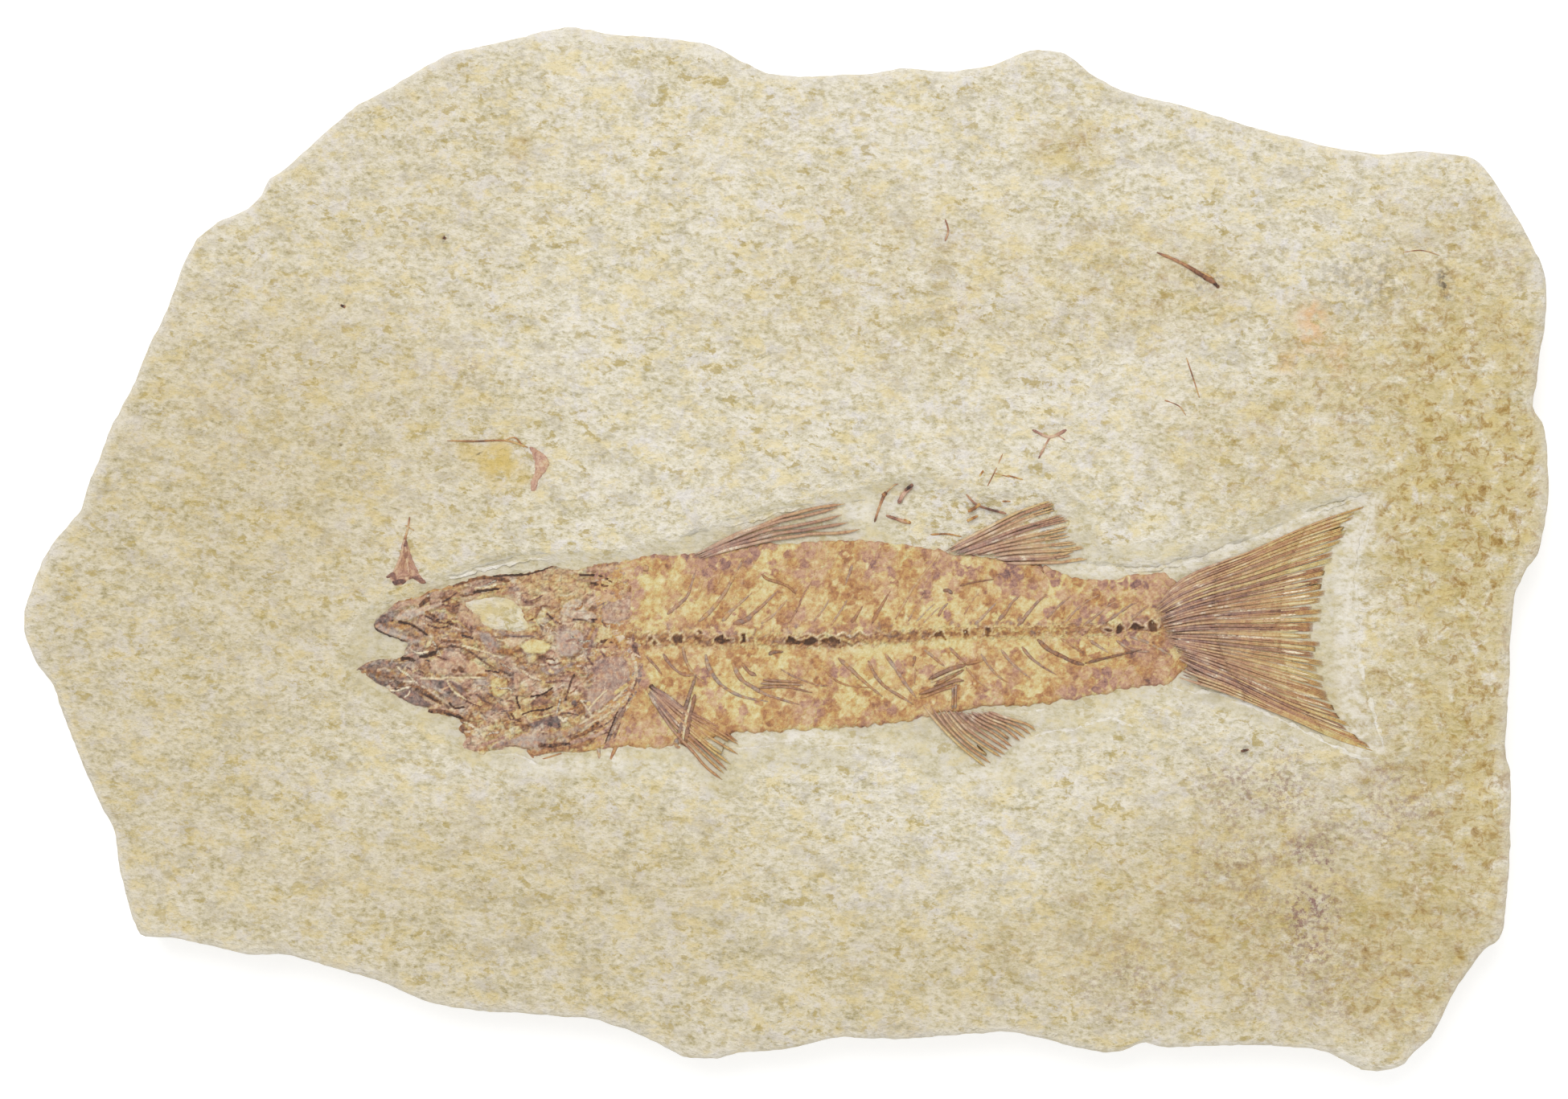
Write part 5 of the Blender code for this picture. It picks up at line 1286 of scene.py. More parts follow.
@dataclass
class Head:
    """The crushed skull: jaws, gill cover and throat bones in a crumbly jumble."""

    step: float = 0.19
    reach_x: tuple[float, float] = (-84.6, -26.2)
    reach_y: tuple[float, float] = (-41.6, -1.6)
    tan: float = 0.095             # how much darker than its bones' paint the head is
    noise: Noise = field(default_factory=lambda: Noise(23))
    outline: Line = (
        (-83.4, -23.3), (-81, -21.8), (-79, -21.2), (-76.4, -21.1), (-74.8, -20.8), (-73.8, -20.2),
        (-73.6, -19.2), (-73.2, -18.4), (-74.8, -17.5), (-77, -16.8), (-78.8, -16.1),
        (-79.8, -15), (-79.4, -13.5), (-78.1, -12.2), (-76.6, -11.2), (-75.2, -9.9), (-73, -9.1),
        (-70.8, -8.7), (-69, -7.8), (-66.5, -7.4), (-64.4, -6.8), (-62, -6.1), (-60, -5.2),
        (-56, -4.9), (-51.6, -4.5), (-50, -4.5), (-48, -3.9), (-44.6, -3), (-42.8, -3.7),
        (-40, -3.8), (-38, -3.1), (-35.5, -2.7), (-31.4, -2.6), (-29.6, -7), (-29.6, -13),
        (-28.2, -16), (-27.3, -20), (-27.3, -24), (-28.2, -27), (-29.6, -30), (-31.2, -32.5),
        (-32.2, -35.5), (-32.8, -37.4), (-34.6, -38.4), (-36.6, -38.9), (-38.6, -39.4),
        (-41, -39.5), (-44, -39.4), (-46.2, -39.8), (-47.6, -40.2), (-49.2, -40.1),
        (-50.2, -39.1), (-52.6, -38.3), (-54, -38.5), (-55.8, -39.1), (-57.4, -39.4),
        (-58.6, -40.1), (-60.4, -39.3), (-61.6, -39), (-62.6, -38.7), (-62.9, -37.6),
        (-62.1, -36.6), (-61.9, -35.8), (-63.1, -35.4), (-63.5, -34.5), (-62.6, -33.8),
        (-63.6, -32.9), (-65.4, -32.5), (-67.4, -32), (-69.5, -31.7), (-69.2, -30.9),
        (-70.4, -30.6), (-72.2, -30.2), (-74, -29.2), (-76.2, -28), (-77.4, -27), (-79, -26.2),
        (-80.4, -25.1), (-82, -24.2),
    )
    orbit: Line = (
        (-61.9, -10.4), (-59, -9.8), (-55.5, -9.5), (-52.8, -10.1), (-51.3, -11.8), (-50.5, -13.5),
        (-49.9, -15), (-52.2, -15.8), (-55.2, -15.5), (-57.4, -15.1), (-58.9, -14.2), (-59, -13),
        (-60.4, -12.1),
    )
    inside: Array = field(init=False)
    gap: Array = field(init=False)
    hole: Array = field(init=False)
    smooth: Array = field(init=False)

    def lay_out(self) -> Relief:
        """A square grid over the head, crumbly all over, falling to a sunk rim at its outline."""
        x, y = np.meshgrid(np.arange(*self.reach_x, self.step),
                           np.arange(*self.reach_y, self.step), indexing="ij")
        n = self.noise
        ragged = 0.26 * n.fractal(x, y, 1.6, 3) + 0.14 * n.smooth(x, y, 0.6)
        ragged *= smoothstep(x, -84, -72)
        self.inside = depth_inside(x, y, curve(self.outline, 420, closed=True)) + ragged
        lean = (x * 0.5 + y * 0.35, y - x * 0.3)
        crumb = n.ridged(*lean, 1.7, 3)
        first, second, mark = n.cells(*lean, 1.4)
        fine = n.ridged(lean[0] + 40, lean[1], 0.8, 3)
        rock = 0.36 * (crumb - 0.45) + 0.16 * smoothstep(second - first, 0, 0.5)
        rock += 0.14 * n.fractal(x, y, 7, 3) + 0.16 * (fine - 0.5)
        r = Relief(x, y, SUNK + (FLESH - SUNK + rock) * dome(self.inside, 0.8))
        r.tone = 0.27 + 0.3 * (mark - 0.5) + 0.24 * n.fractal(x, y, 2.4, 4)
        r.mauve = 0.1 + 0.75 * smoothstep(n.fractal(x - 30, y, 4, 3), -0.25, 0.4)
        r.slate = 0.15 + 0.6 * smoothstep(n.fractal(x, y + 45, 3, 3), 0.0, 0.6)
        r.crust = 0.7 * smoothstep(crumb, 0.68, 0.92)
        # painted shade in the cracks between cells and in the crumble's hollows
        r.dark = 0.6 * smoothstep(second - first, 0.16, 0.0) + 0.4 * smoothstep(crumb, 0.3, 0.1)
        self.gap = second - first
        return r

    def weather(self, r: Relief) -> None:
        """Crumble it a little: flecks of lime on crests, partly a painted highlight, and painted
        shade darkening the hollows and cracks.

        Flat plates keep most of their smoothness.
        """
        n = self.noise
        loose = 1 - 0.75 * self.smooth
        fine = n.ridged(r.x - 9, r.y, 0.9, 3)
        speck = n.fractal(r.x, r.y - 70, 0.85, 2)
        r.z += (0.14 * (fine - 0.5) + 0.04 * speck) * loose
        r.tone += (0.2 * speck - 0.14 * (fine - 0.4)) * (0.35 + 0.65 * loose)
        r.tint(0.55 * smoothstep(fine, 0.74, 0.95) * loose, crust=0.9)
        r.tint(0.5 * smoothstep(fine, 0.24, 0.06) * loose, dark=0.9)
        r.tint(0.35 * smoothstep(self.gap, 0.1, 0.0) * loose, dark=0.8)

    def fibres(self, r: Relief, count: int, seed: int) -> None:
        """Short splinters of bone strewn along the run of the head."""
        rng = np.random.default_rng(seed)
        for _ in range(count):
            x, y = rng.uniform(-80, -28), rng.uniform(-39, -5)
            turn = math.radians(-26 + rng.normal(0, 20) + (50 if x > -50 and y < -24 else 0)
                                + (40 if y > -12 else 0))
            half = rng.uniform(0.6, 2.2)
            dx, dy = math.cos(turn) * half, math.sin(turn) * half
            bow = rng.normal(0, 0.25)
            path = [(x - dx, y - dy), (x + bow * dy, y - bow * dx), (x + dx, y + dy)]
            r.rod(path, (rng.uniform(0.12, 0.26), rng.uniform(0.1, 0.22)),
                  rng.uniform(0.08, 0.2), tone=rng.uniform(0.05, 0.85),
                  mauve=rng.uniform(0, 0.9), slate=rng.choice([0.0, 0.0, 0.8]),
                  crust=rng.choice([0.0, 0.0, 0.7]), dark=0.0)

    def bones(self, r: Relief) -> None:
        """The bones that can be told apart, from the deepest up."""
        n = self.noise
        rag = 0.2 * n.fractal(r.x, r.y, 1.2, 3)
        vein = n.fractal(r.x + 5, r.y, 1.6, 4)
        self.smooth = np.zeros_like(r.x)
        for outline, (tone, mauve, slate), lift, flat in HEAD_PLATES:
            r.plate(outline, lift, flat, rag, tone=tone + 0.16 * vein, mauve=mauve, slate=slate)
            within = smoothstep(depth_inside(r.x, r.y, outline), -0.1, 0.4)
            self.smooth = np.maximum(self.smooth, within * flat)
        ring = np.hypot(r.x + 34.4, 0.85 * (r.y + 24.4))
        plate = smoothstep(depth_inside(r.x, r.y, HEAD_PLATES[GILL_COVER][0]), -0.1, 0.6)
        r.tint(plate * 0.75, tone=0.4 + 0.2 * vein, mauve=0.75, slate=0.6)
        r.tint(plate * smoothstep(np.sin(ring * 4.4 + 1.6 * vein), 0.5, 0.95) * 0.3, tone=0.2)
        spoke = np.arctan2(r.y + 19.5, r.x + 33.6) * 9 + 1.5 * vein
        crack = smoothstep(0.14 - np.abs(np.sin(spoke)), 0, 0.1) * smoothstep(vein, -0.4, 0.1)
        r.tint(plate * crack * 0.7, crust=0.8, tone=0.15, slate=0.1)

    def rods(self, r: Relief) -> None:
        """The long bones and threads that lie over the plates."""
        for line, radii, (tone, mauve, slate), lift, lime, hollow in HEAD_RODS:
            r.rod(line, radii, lift, tone=tone, mauve=mauve, slate=slate, crust=lime, dark=hollow)

    def build(self) -> bpy.types.Object:
        """The head as one closed relief."""
        r = self.lay_out()
        height = r.z.copy()
        self.fibres(r, 190, 77)
        self.bones(r)
        self.fibres(r, 40, 78)
        self.rods(r)
        self.weather(r)
        r.tone = r.tone + self.tan
        front = np.clip(smoothstep(r.x, -66, -74) * smoothstep(r.y, -9.5, -13.5), 0, 1)
        r.slate = np.clip(r.slate + 0.5 * front, 0, 1)
        self.open_orbit(r)
        rise = np.clip(self.inside / 0.5, 0, 1)
        r.z = blend(height, r.z, rise)
        r.z = np.clip(r.z, SUNK, 13.62)
        kept = (self.inside > -0.12) & (self.hole < 0.45)
        return dress(r.cut_solid("fish_skull", kept, SUNK - 0.25), Slot.FISH, "fossil_fish")

    def open_orbit(self, r: Relief) -> None:
        """The eye socket, cut down to the stone, its rim rounded over."""
        inside = depth_inside(r.x, r.y, curve(self.orbit, 60, closed=True))
        self.hole = inside + 0.3 * self.noise.fractal(r.x, r.y, 1.3, 3)
        r.z = blend(r.z, 12.3, smoothstep(self.hole, -0.6, 0.45))
        rim = smoothstep(0.9 - np.abs(self.hole + 0.5), 0, 0.8)
        r.tint(rim * 0.45, dark=0.1, tone=0.22, slate=0.3, mauve=0.1)


@dataclass(frozen=True)
class Fin:
    """One fin: the guide lines its rays run between, and how they lie.

    guides go from the leading edge to the trailing one, each from root to tip; radii are at the
    root and the tip; split is the share of a ray's length at which it forks, and web how much of
    the ray the skin still joins; heights, tone and mauve are at root and tip, and lime is how
    much pale crust clings to the root.
    """

    guides: Sequence[Line]
    rays: int
    radii: tuple[float, float]
    split: float
    web: float
    heights: tuple[float, float]
    tone: tuple[float, float]
    mauve: tuple[float, float]
    lime: float
    seed: int


FINS: dict[str, Fin] = {
    "first_dorsal_fin": Fin(
        (
            [(-18.3, -1.2), (-14, 0.7), (-9.6, 3.1), (-5, 4.6), (-0.5, 6.7), (3, 7.6),
             (6, 8.5), (11.8, 9)],
            [(-18, -1.4), (-12.5, 1), (-8, 3), (-4, 4.3), (0, 5.3), (4, 6), (8, 7.2), (9.9, 7.9)],
            [(-17.6, -1.5), (-11, 1), (-6, 2.8), (-3, 3.8), (1, 4.3), (5, 5.1), (8.5, 5.9),
             (10.9, 6.6)],
            [(-17, -1.6), (-11, 0.6), (-6, 2), (-1, 3.3), (3, 3.7), (6, 4.3), (9, 4.8),
             (12.1, 5.4)],
            [(-16.4, -1.9), (-12, -0.3), (-7, 0.9), (-3, 1.8), (1, 2.3), (5, 2.9), (9, 3),
             (11, 3.1), (14.3, 3.8)],
        ),
        5, (0.34, 0.25), 1.0, 0.6, (12.98, 12.58), (0.48, 0.42), (0.95, 0.5), 1.0, 3,
    ),
    "second_dorsal_fin": Fin(
        (
            [(30.4, -0.5), (34, 1.6), (38, 3.7), (42, 5.8), (45, 7.3), (48, 8.4), (50.7, 9.3)],
            [(31, -0.6), (36, 1.7), (40, 3.6), (44, 5.6), (47, 6.9), (50, 7.9), (52.2, 8.5)],
            [(32, -0.8), (38, 1.5), (43, 3.7), (47, 5.1), (50, 5.9), (53, 6.9)],
            [(33, -1), (39, 0.9), (44, 2.6), (48, 3.8), (51, 4.6), (54.8, 5.5)],
            [(34.4, -1.2), (40.4, 0.6), (45.4, 1.7), (49.4, 2.5), (54.2, 3.6)],
            [(36.6, -1.3), (42, 0), (47, 0.5), (51, 0.9), (55.7, 1.3)],
            [(39, -1.6), (44, -0.8), (49, -0.6), (53, -0.4), (57.8, 0.3)],
            [(41, -2), (45, -1.8), (49, -1.8), (54, -1)],
            [(42.2, -2.7), (45, -2.8), (49, -2.7), (53, -2.6), (58, -1.9)],
        ),
        12, (0.3, 0.2), 0.72, 0.74, (12.95, 12.58), (0.44, 0.4), (0.95, 0.4), 0.5, 4,
    ),
    "pelvic_fin": Fin(
        (
            [(-26, -26.3), (-22.5, -28.6), (-19.5, -31), (-15.5, -33), (-13, -34.4), (-11, -36),
             (-9.4, -37.1)],
            [(-26.1, -26.8), (-22, -30), (-18, -33), (-14.6, -35.2), (-12, -36.6), (-8.4, -38.8)],
            [(-26.2, -27.2), (-21, -32.4), (-17, -36), (-14, -38.4), (-11.6, -39.8), (-9.6, -41)],
            [(-26.4, -27.5), (-21.4, -33.4), (-17.6, -37), (-14.6, -39.8), (-11.4, -42.9)],
            [(-26.6, -27.8), (-22.4, -34.2), (-19.8, -37.2), (-17.6, -39.6), (-15.6, -42),
             (-12.4, -44.5)],
        ),
        9, (0.3, 0.2), 1.0, 0.72, (13.2, 12.58), (0.54, 0.38), (0.95, 0.05), 0.6, 5,
    ),
    "anal_fin": Fin(
        (
            [(26.2, -30.2), (29.6, -34.2), (33.6, -38.2), (38.2, -42)],
            [(29, -30.6), (32, -34.6), (35.6, -38), (40.4, -41)],
            [(31, -31), (34.4, -34.8), (38, -37.4), (42, -39.9)],
            [(33, -31.2), (36.4, -34), (39.6, -36.2), (43.2, -38.6)],
            [(35, -31.4), (38, -33.2), (41.4, -34.8), (44.4, -37.4)],
            [(36.8, -31.4), (40, -32.9), (43, -34.1), (46.4, -36.4)],
            [(38.4, -31), (41, -32), (44, -32.9), (46.8, -33.8), (48.2, -34.9)],
        ),
        12, (0.27, 0.2), 1.0, 0.5, (12.95, 12.58), (0.44, 0.36), (0.85, 0.1), 0.4, 6,
    ),
    "tail_fin": Fin(
        (
            [(71.5, -10.6), (74.5, -7.2), (78.5, -4.7), (84, -2.5), (90, -0.3), (96, 2.5),
             (104, 5.8), (111.4, 8.2)],
            [(71, -11.6), (75, -8.6), (80, -6.2), (86, -3.9), (92, -1.4), (100, 1.6), (109, 4.4)],
            [(71.4, -12.4), (76, -9.8), (82, -7.4), (90, -5), (98, -2.2), (106.6, 0.4)],
            [(72, -13.3), (78, -11), (85, -9.2), (93, -7.4), (104.8, -4.8)],
            [(72.6, -14.4), (80, -12.6), (88, -11.8), (96, -11.2), (103.4, -10.4)],
            [(73, -15.8), (80, -15.2), (88, -15.2), (96, -15.2), (103, -15.2)],
            [(73.4, -17), (80, -17.6), (88, -18.4), (96, -19.2), (103.2, -20)],
            [(74, -18.2), (80, -19.6), (88, -21.6), (96, -23.8), (104.8, -26.4)],
            [(75, -19.8), (80, -21.6), (88, -25), (96, -28.6), (107.4, -32.4)],
            [(76, -21.6), (80, -23.6), (86, -26), (92, -28.9), (98, -31.8), (106, -35.4),
             (112.4, -38)],
            [(75.8, -24.8), (80, -26.1), (85, -27.7), (92, -30.6), (98, -33), (106, -36.6),
             (113.4, -39)],
        ),
        42, (0.24, 0.14), 0.3, 0.86, (13.22, 12.56), (0.5, 0.4), (0.9, 0.1), 0.3, 7,
    ),
}


@dataclass
class Fins:
    """The fins: forked, jointed rays over a thin web."""

    steps: int = 14
    noise: Noise = field(default_factory=lambda: Noise(41))

    def ray_middles(self, fin: Fin, share: Array) -> Array:
        """Places along a ray for each share of the fin, from root to tip.

        Each lies between its two nearest guide lines, point for point.

        Args:
            fin: the fin.
            share: where across the fin each ray lies, 0 at the leading edge.

        Returns:
            An array (rays, steps, 2).
        """
        guides = np.stack([curve(line, self.steps) for line in fin.guides])
        at = np.clip(share, 0, 1) * (len(guides) - 1)
        low = np.clip(at.astype(int), 0, len(guides) - 2)
        part = (at - low)[:, None, None]
        return guides[low] * (1 - part) + guides[low + 1] * part

    def read_off(self, middles: Array, share: Array) -> Array:
        """The place at a share of each ray's length, between its two nearest steps."""
        at = share * (self.steps - 1)
        low = np.clip(at.astype(int), 0, self.steps - 2)
        part = (at - low)[..., None]
        ray = np.arange(len(share)).reshape(-1, *[1] * (share.ndim - 1))
        return middles[ray, low] * (1 - part) + middles[ray, low + 1] * part

    def rays(self, name: str, fin: Fin) -> bpy.types.Object:
        """Every ray as a stem that forks, and forks again on the tail."""
        rng = np.random.default_rng(fin.seed)
        strands = Strands()
        forks = (0.0, fin.split, 0.5 * (1 + fin.split) + 0.06)
        levels = 3 if fin.rays > 20 else 1 + (fin.split < 1)
        t = np.linspace(0, 1, self.steps)
        gap = 1.0 / (fin.rays - 1)
        for i in range(fin.rays):
            base = np.clip(i * gap + rng.normal(0, 0.12) * gap, 0, 1)
            reach = 1.0 + rng.uniform(-0.07, 0.015) * (1.0 if fin.rays > 20 else 0.3)
            late = rng.uniform(0.0, 0.09)
            if i in (0, fin.rays - 1):
                reach = 1.0
            height = rng.uniform(-0.04, 0.06)
            hue = rng.normal(0, 0.16)
            for level in range(levels):
                begin = forks[level]
                finish = forks[level + 1] + 0.03 if level + 1 < levels else reach
                many = 2**level
                for k in range(many):
                    fan = ((k + 0.5) / many - 0.5) * gap * (0.74 if level else 0)
                    along = begin + (finish - begin) * t
                    grown = smoothstep(along, forks[1] - 0.1, 0.5 * (1 + forks[1]))
                    flat = self.read_off(self.ray_middles(fin, base + fan * grown), along)
                    radius = blend(fin.radii[0], fin.radii[1], along) * (1, 0.66, 0.52)[level]
                    radius = radius * (1 + 0.16 * np.sin(along * 90 + i) * (along > fin.split))
                    radius = radius * smoothstep(along, reach + 0.005, reach - 0.05) + 0.02
                    radius = radius * smoothstep(along, late - 0.05, late + 0.08) + 0.01
                    wave = 0.05 * np.sin(along * 17 + rng.uniform(0, 6))
                    z = blend(fin.heights[1], fin.heights[0], (1 - along) ** 1.7)
                    z = z + height + wave - 0.1 * level
                    tone = blend(fin.tone[0], fin.tone[1], along) + 0.6 * hue
                    mauve = blend(fin.mauve[0], fin.mauve[1], along) + hue
                    crust = smoothstep(self.noise.smooth(flat[:, 0] * 1.2, flat[:, 1] * 3, 2.0),
                                       0.5 - 0.6 * fin.lime, 0.7) * smoothstep(along, 0.7, 0.3)
                    strands.add(np.column_stack([flat, z]), radius, 0.75,
                                tone=np.clip(tone, 0.1, 0.95), mauve=np.clip(mauve, 0, 1),
                                crust=0.85 * crust, slate=np.clip(0.9 * mauve - 0.4, 0, 1))
        return dress(strands.put(f"{name}_rays"), Slot.FISH, "fossil_fish")

    def web(self, name: str, fin: Fin) -> bpy.types.Object:
        """The skin between the rays: a thin sheet that frays out between their tips."""
        across, along = 10 * fin.rays, 46
        share = np.linspace(0, 1, across)
        n = self.noise
        phase = share * (fin.rays - 1)
        comb = np.abs((phase % 1.0) - 0.5) * 2
        fray = fin.web * (1 + 0.14 * n.fractal(share * 40, share * 0 + fin.seed, 3, 3))
        fray = np.clip(fray + 0.14 * (comb - 0.6), 0.2, 0.97)
        t = np.linspace(0, 1, along)[None] * fray[:, None]
        flat = self.read_off(self.ray_middles(fin, share), t)
        x, y = flat[..., 0], flat[..., 1]
        furrow = 0.16 * np.cos(2 * np.pi * phase)[:, None]
        z = blend(fin.heights[1] - 0.2, fin.heights[0] - 0.2, (1 - t) ** 1.7) + furrow
        z = z - 0.9 * smoothstep(t + 0.1 * n.fractal(x, y, 2.0, 3), 0.14, 0.0)
        z = z + 0.07 * n.fractal(x, y, 1.6, 3)
        r = Relief(x, y, z)
        streak = n.fractal(share[:, None] * 160 + 0 * t, t * 9, 3, 3)
        # the tone is a little darker in the furrows between rays and paler on their ridges: painted
        # shade and highlight
        r.tone = np.clip(blend(fin.tone[0], 0.14, t) + 0.24 * streak - 0.1 * furrow, 0, 1)
        r.mauve = np.clip(blend(fin.mauve[0], 0.1, t) + 0.3 * streak, 0, 1)
        r.slate = np.clip(blend(0.4, 0.0, t) + 0.5 * streak, 0, 1) * fin.mauve[0]
        r.crust = smoothstep(streak - 0.5 * furrow + 0.4 * t + 0.35 * fin.lime * (1 - t), 0.3, 0.75)
        # painted shade in the web's gaps near the root and beside and under the rays
        r.dark = 0.6 * fin.lime * smoothstep(-streak, -0.1, 0.4) * smoothstep(t, 0.7, 0.3)
        r.dark += 0.3 * smoothstep(comb[:, None] * (1 - t), 0.2, 0.7) * (streak > 0)
        r.z = np.clip(r.z, 11.98, 13.2)
        r.sink_edge()
        turn = np.cross(flat[-1, 0] - flat[0, 0], flat[across // 2, -1] - flat[across // 2, 0])
        if turn < 0:
            r.flip()
        return dress(r.solid(f"{name}_web"), Slot.FISH, "fossil_fish")

    def build(self) -> list[bpy.types.Object]:
        """Every fin's web and rays."""
        made = []
        for name, fin in FINS.items():
            made += [self.web(name, fin), self.rays(name, fin)]
        return made


# Lines on the flank as (line, radii, tone, slate): spines above the backbone, ribs and spines
# below it, and rods.
SPINES = (
    ([(-23, -12.6), (-20.5, -10.4), (-19.2, -9.2), (-18.3, -6.8), (-17.5, -4)], (0.34, 0.16), 0.5,
     0.5),
    ([(-16.9, -14), (-14.5, -11.8), (-12.2, -8.9), (-10, -5), (-7.8, -1)], (0.4, 0.16), 0.42, 0.5),
    ([(-12.4, -13.9), (-10.7, -12), (-9.5, -10.9), (-6.6, -8.4)], (0.42, 0.12), 0.44, 0.6),
    ([(-10.3, -14.4), (-7.8, -13.7), (-6.4, -12.4), (-4.5, -10.8), (-1.6, -8)], (0.46, 0.14), 0.5,
     0.6),
    ([(-4.9, -14.4), (-2.5, -12.7), (0.2, -9.7)], (0.3, 0.14), 0.36, 0.5),
    ([(0.6, -14.2), (2.1, -11.5), (3.4, -8.6), (4.9, -6.2)], (0.2, 0.12), 0.52, 0.2),
    ([(5.3, -13.9), (7.2, -11.5), (8.3, -9.6)], (0.2, 0.12), 0.42, 0.5),
    ([(8.6, -14.7), (10.4, -12), (11.7, -9.8)], (0.24, 0.14), 0.44, 0.5),
    ([(12.6, -14.2), (13.7, -12.5), (14.7, -11)], (0.36, 0.16), 0.54, 0.3),
    ([(16.5, -14.3), (17.4, -12.6), (18.3, -11), (20.1, -8)], (0.34, 0.12), 0.54, 0.2),
    ([(21, -13.5), (23, -10), (24.6, -7.2), (27, -4.2), (29.4, -1)], (0.2, 0.24), 0.36, 0.2),
    ([(23.5, -13.9), (25, -11), (26.6, -8.6)], (0.18, 0.1), 0.42, 0.5),
    ([(25, -14), (27.6, -11.4), (28.8, -10.4)], (0.16, 0.1), 0.36, 0.8),
    ([(26.4, -14.2), (28.6, -12), (29.6, -11.2)], (0.16, 0.1), 0.36, 0.8),
    ([(29.3, -13), (30.1, -11.5), (31.2, -10.4)], (0.26, 0.14), 0.5, 0.7),
    ([(11.3, -7), (12.2, -4.6), (12.7, -3)], (0.16, 0.26), 0.5, 0.6),
    ([(-16.8, -8.4), (-16, -5.6)], (0.2, 0.12), 0.42, 0.1),
    ([(-13.2, -6.9), (-12.8, -3.9)], (0.2, 0.12), 0.42, 0.1),
    ([(34.3, -12.6), (35.6, -10.3), (37.2, -8.4)], (0.2, 0.1), 0.42, 0.4),
    ([(36.3, -14.6), (38.3, -12.6), (40.5, -10.3)], (0.3, 0.14), 0.4, 0.7),
    ([(40.7, -14), (42.4, -12), (43.5, -10.3), (45.2, -8.8)], (0.36, 0.14), 0.5, 0.6),
    ([(44.6, -14.9), (46.5, -12.5), (48.6, -10), (50.2, -8.8)], (0.36, 0.16), 0.52, 0.6),
    ([(50.3, -13.3), (51.5, -11.9), (53.4, -10.2), (54.8, -9)], (0.28, 0.12), 0.44, 0.5),
    ([(53.6, -14.3), (55.6, -12), (57.9, -10.1), (60.3, -8.8)], (0.22, 0.12), 0.44, 0.5),
    ([(57.2, -14.8), (59.7, -12.9), (62.2, -10.8), (64, -10)], (0.26, 0.12), 0.44, 0.5),
    ([(60.7, -14.5), (63.5, -12.8), (66, -11), (67.8, -10.2)], (0.32, 0.14), 0.54, 0.6),
    ([(66.6, -13.5), (68.6, -11.8), (70, -10.8)], (0.24, 0.14), 0.5, 0.4),
)
RIBS = (
    ([(-27, -20.7), (-25.3, -22.5), (-24, -24.2)], (0.24, 0.16), 0.5, 0.4),
    ([(-23.8, -20.2), (-22, -22.7), (-19.9, -24.2), (-17.5, -24.3)], (0.3, 0.16), 0.5, 0.5),
    ([(-20, -18.8), (-19.4, -21.4), (-18.2, -23.6), (-15.6, -25.8)], (0.3, 0.14), 0.42, 0.5),
    ([(-15.6, -20.3), (-14.9, -23), (-13, -25.8), (-11, -27.3), (-8, -28.6), (-3.5, -29.4)],
     (0.36, 0.16), 0.46, 0.8),
    ([(-10.4, -22), (-8.8, -25), (-6.5, -26.6), (-4, -28), (0, -29.3), (2.5, -30)], (0.4, 0.14),
     0.46, 0.7),
    ([(-8.8, -21.8), (-7.2, -23.7), (-5.8, -24.4)], (0.22, 0.3), 0.52, 0.4),
    ([(-1, -23.2), (1.5, -24.6), (5.6, -26.1), (8, -26.4)], (0.18, 0.12), 0.5, 0.5),
    ([(7.5, -23.4), (9.5, -25.3), (12, -26.3), (16.5, -26.8)], (0.2, 0.12), 0.5, 0.1),
    ([(10, -21), (11.8, -22.6), (13.6, -24.3), (15.5, -26), (18.5, -28.5)], (0.36, 0.16), 0.46,
     0.5),
    ([(15.8, -21.5), (16.9, -24), (19, -26.5), (22, -28.4), (24.5, -30)], (0.3, 0.2), 0.48, 0.5),
    ([(19, -20.2), (21, -23), (22.8, -25.8), (25, -28.6)], (0.3, 0.24), 0.42, 0.7),
    ([(24.8, -20.6), (24.4, -22.6)], (0.3, 0.16), 0.56, 0.6),
    ([(24.9, -22.6), (24.7, -26)], (0.14, 0.1), 0.42, 0.4),
    ([(26.6, -19.4), (28.8, -21.2), (30.5, -22.6)], (0.3, 0.14), 0.46, 0.6),
    ([(31.4, -19), (33, -20.6), (34.6, -22.2)], (0.28, 0.2), 0.5, 0.4),
    ([(34.6, -22.8), (36.5, -25), (38.8, -27)], (0.2, 0.12), 0.46, 0.3),
    ([(37.5, -20.2), (39.4, -23), (41.5, -25), (43, -25.9)], (0.24, 0.12), 0.46, 0.6),
    ([(41.4, -19.4), (43.4, -21.9), (45.6, -23.8), (47, -24.8)], (0.3, 0.12), 0.44, 0.6),
    ([(45.4, -18.8), (47, -20.8), (49.3, -22.6), (52, -24.2)], (0.28, 0.12), 0.5, 0.6),
    ([(48.4, -17.4), (50.6, -19.4), (53, -20.6), (55.2, -21.7), (57.4, -22.3)], (0.34, 0.3), 0.62,
     0.5),
    ([(53, -17.3), (55.2, -18.8), (57, -20)], (0.24, 0.12), 0.46, 0.4),
    ([(58.5, -17.6), (60.6, -19), (62.3, -20.1)], (0.28, 0.14), 0.42, 0.6),
    ([(63.6, -17.6), (66.5, -19.4), (70, -19.8)], (0.26, 0.14), 0.42, 0.7),
    ([(66.4, -16.9), (70, -18.2), (74, -20.4)], (0.26, 0.2), 0.36, 0.8),
)
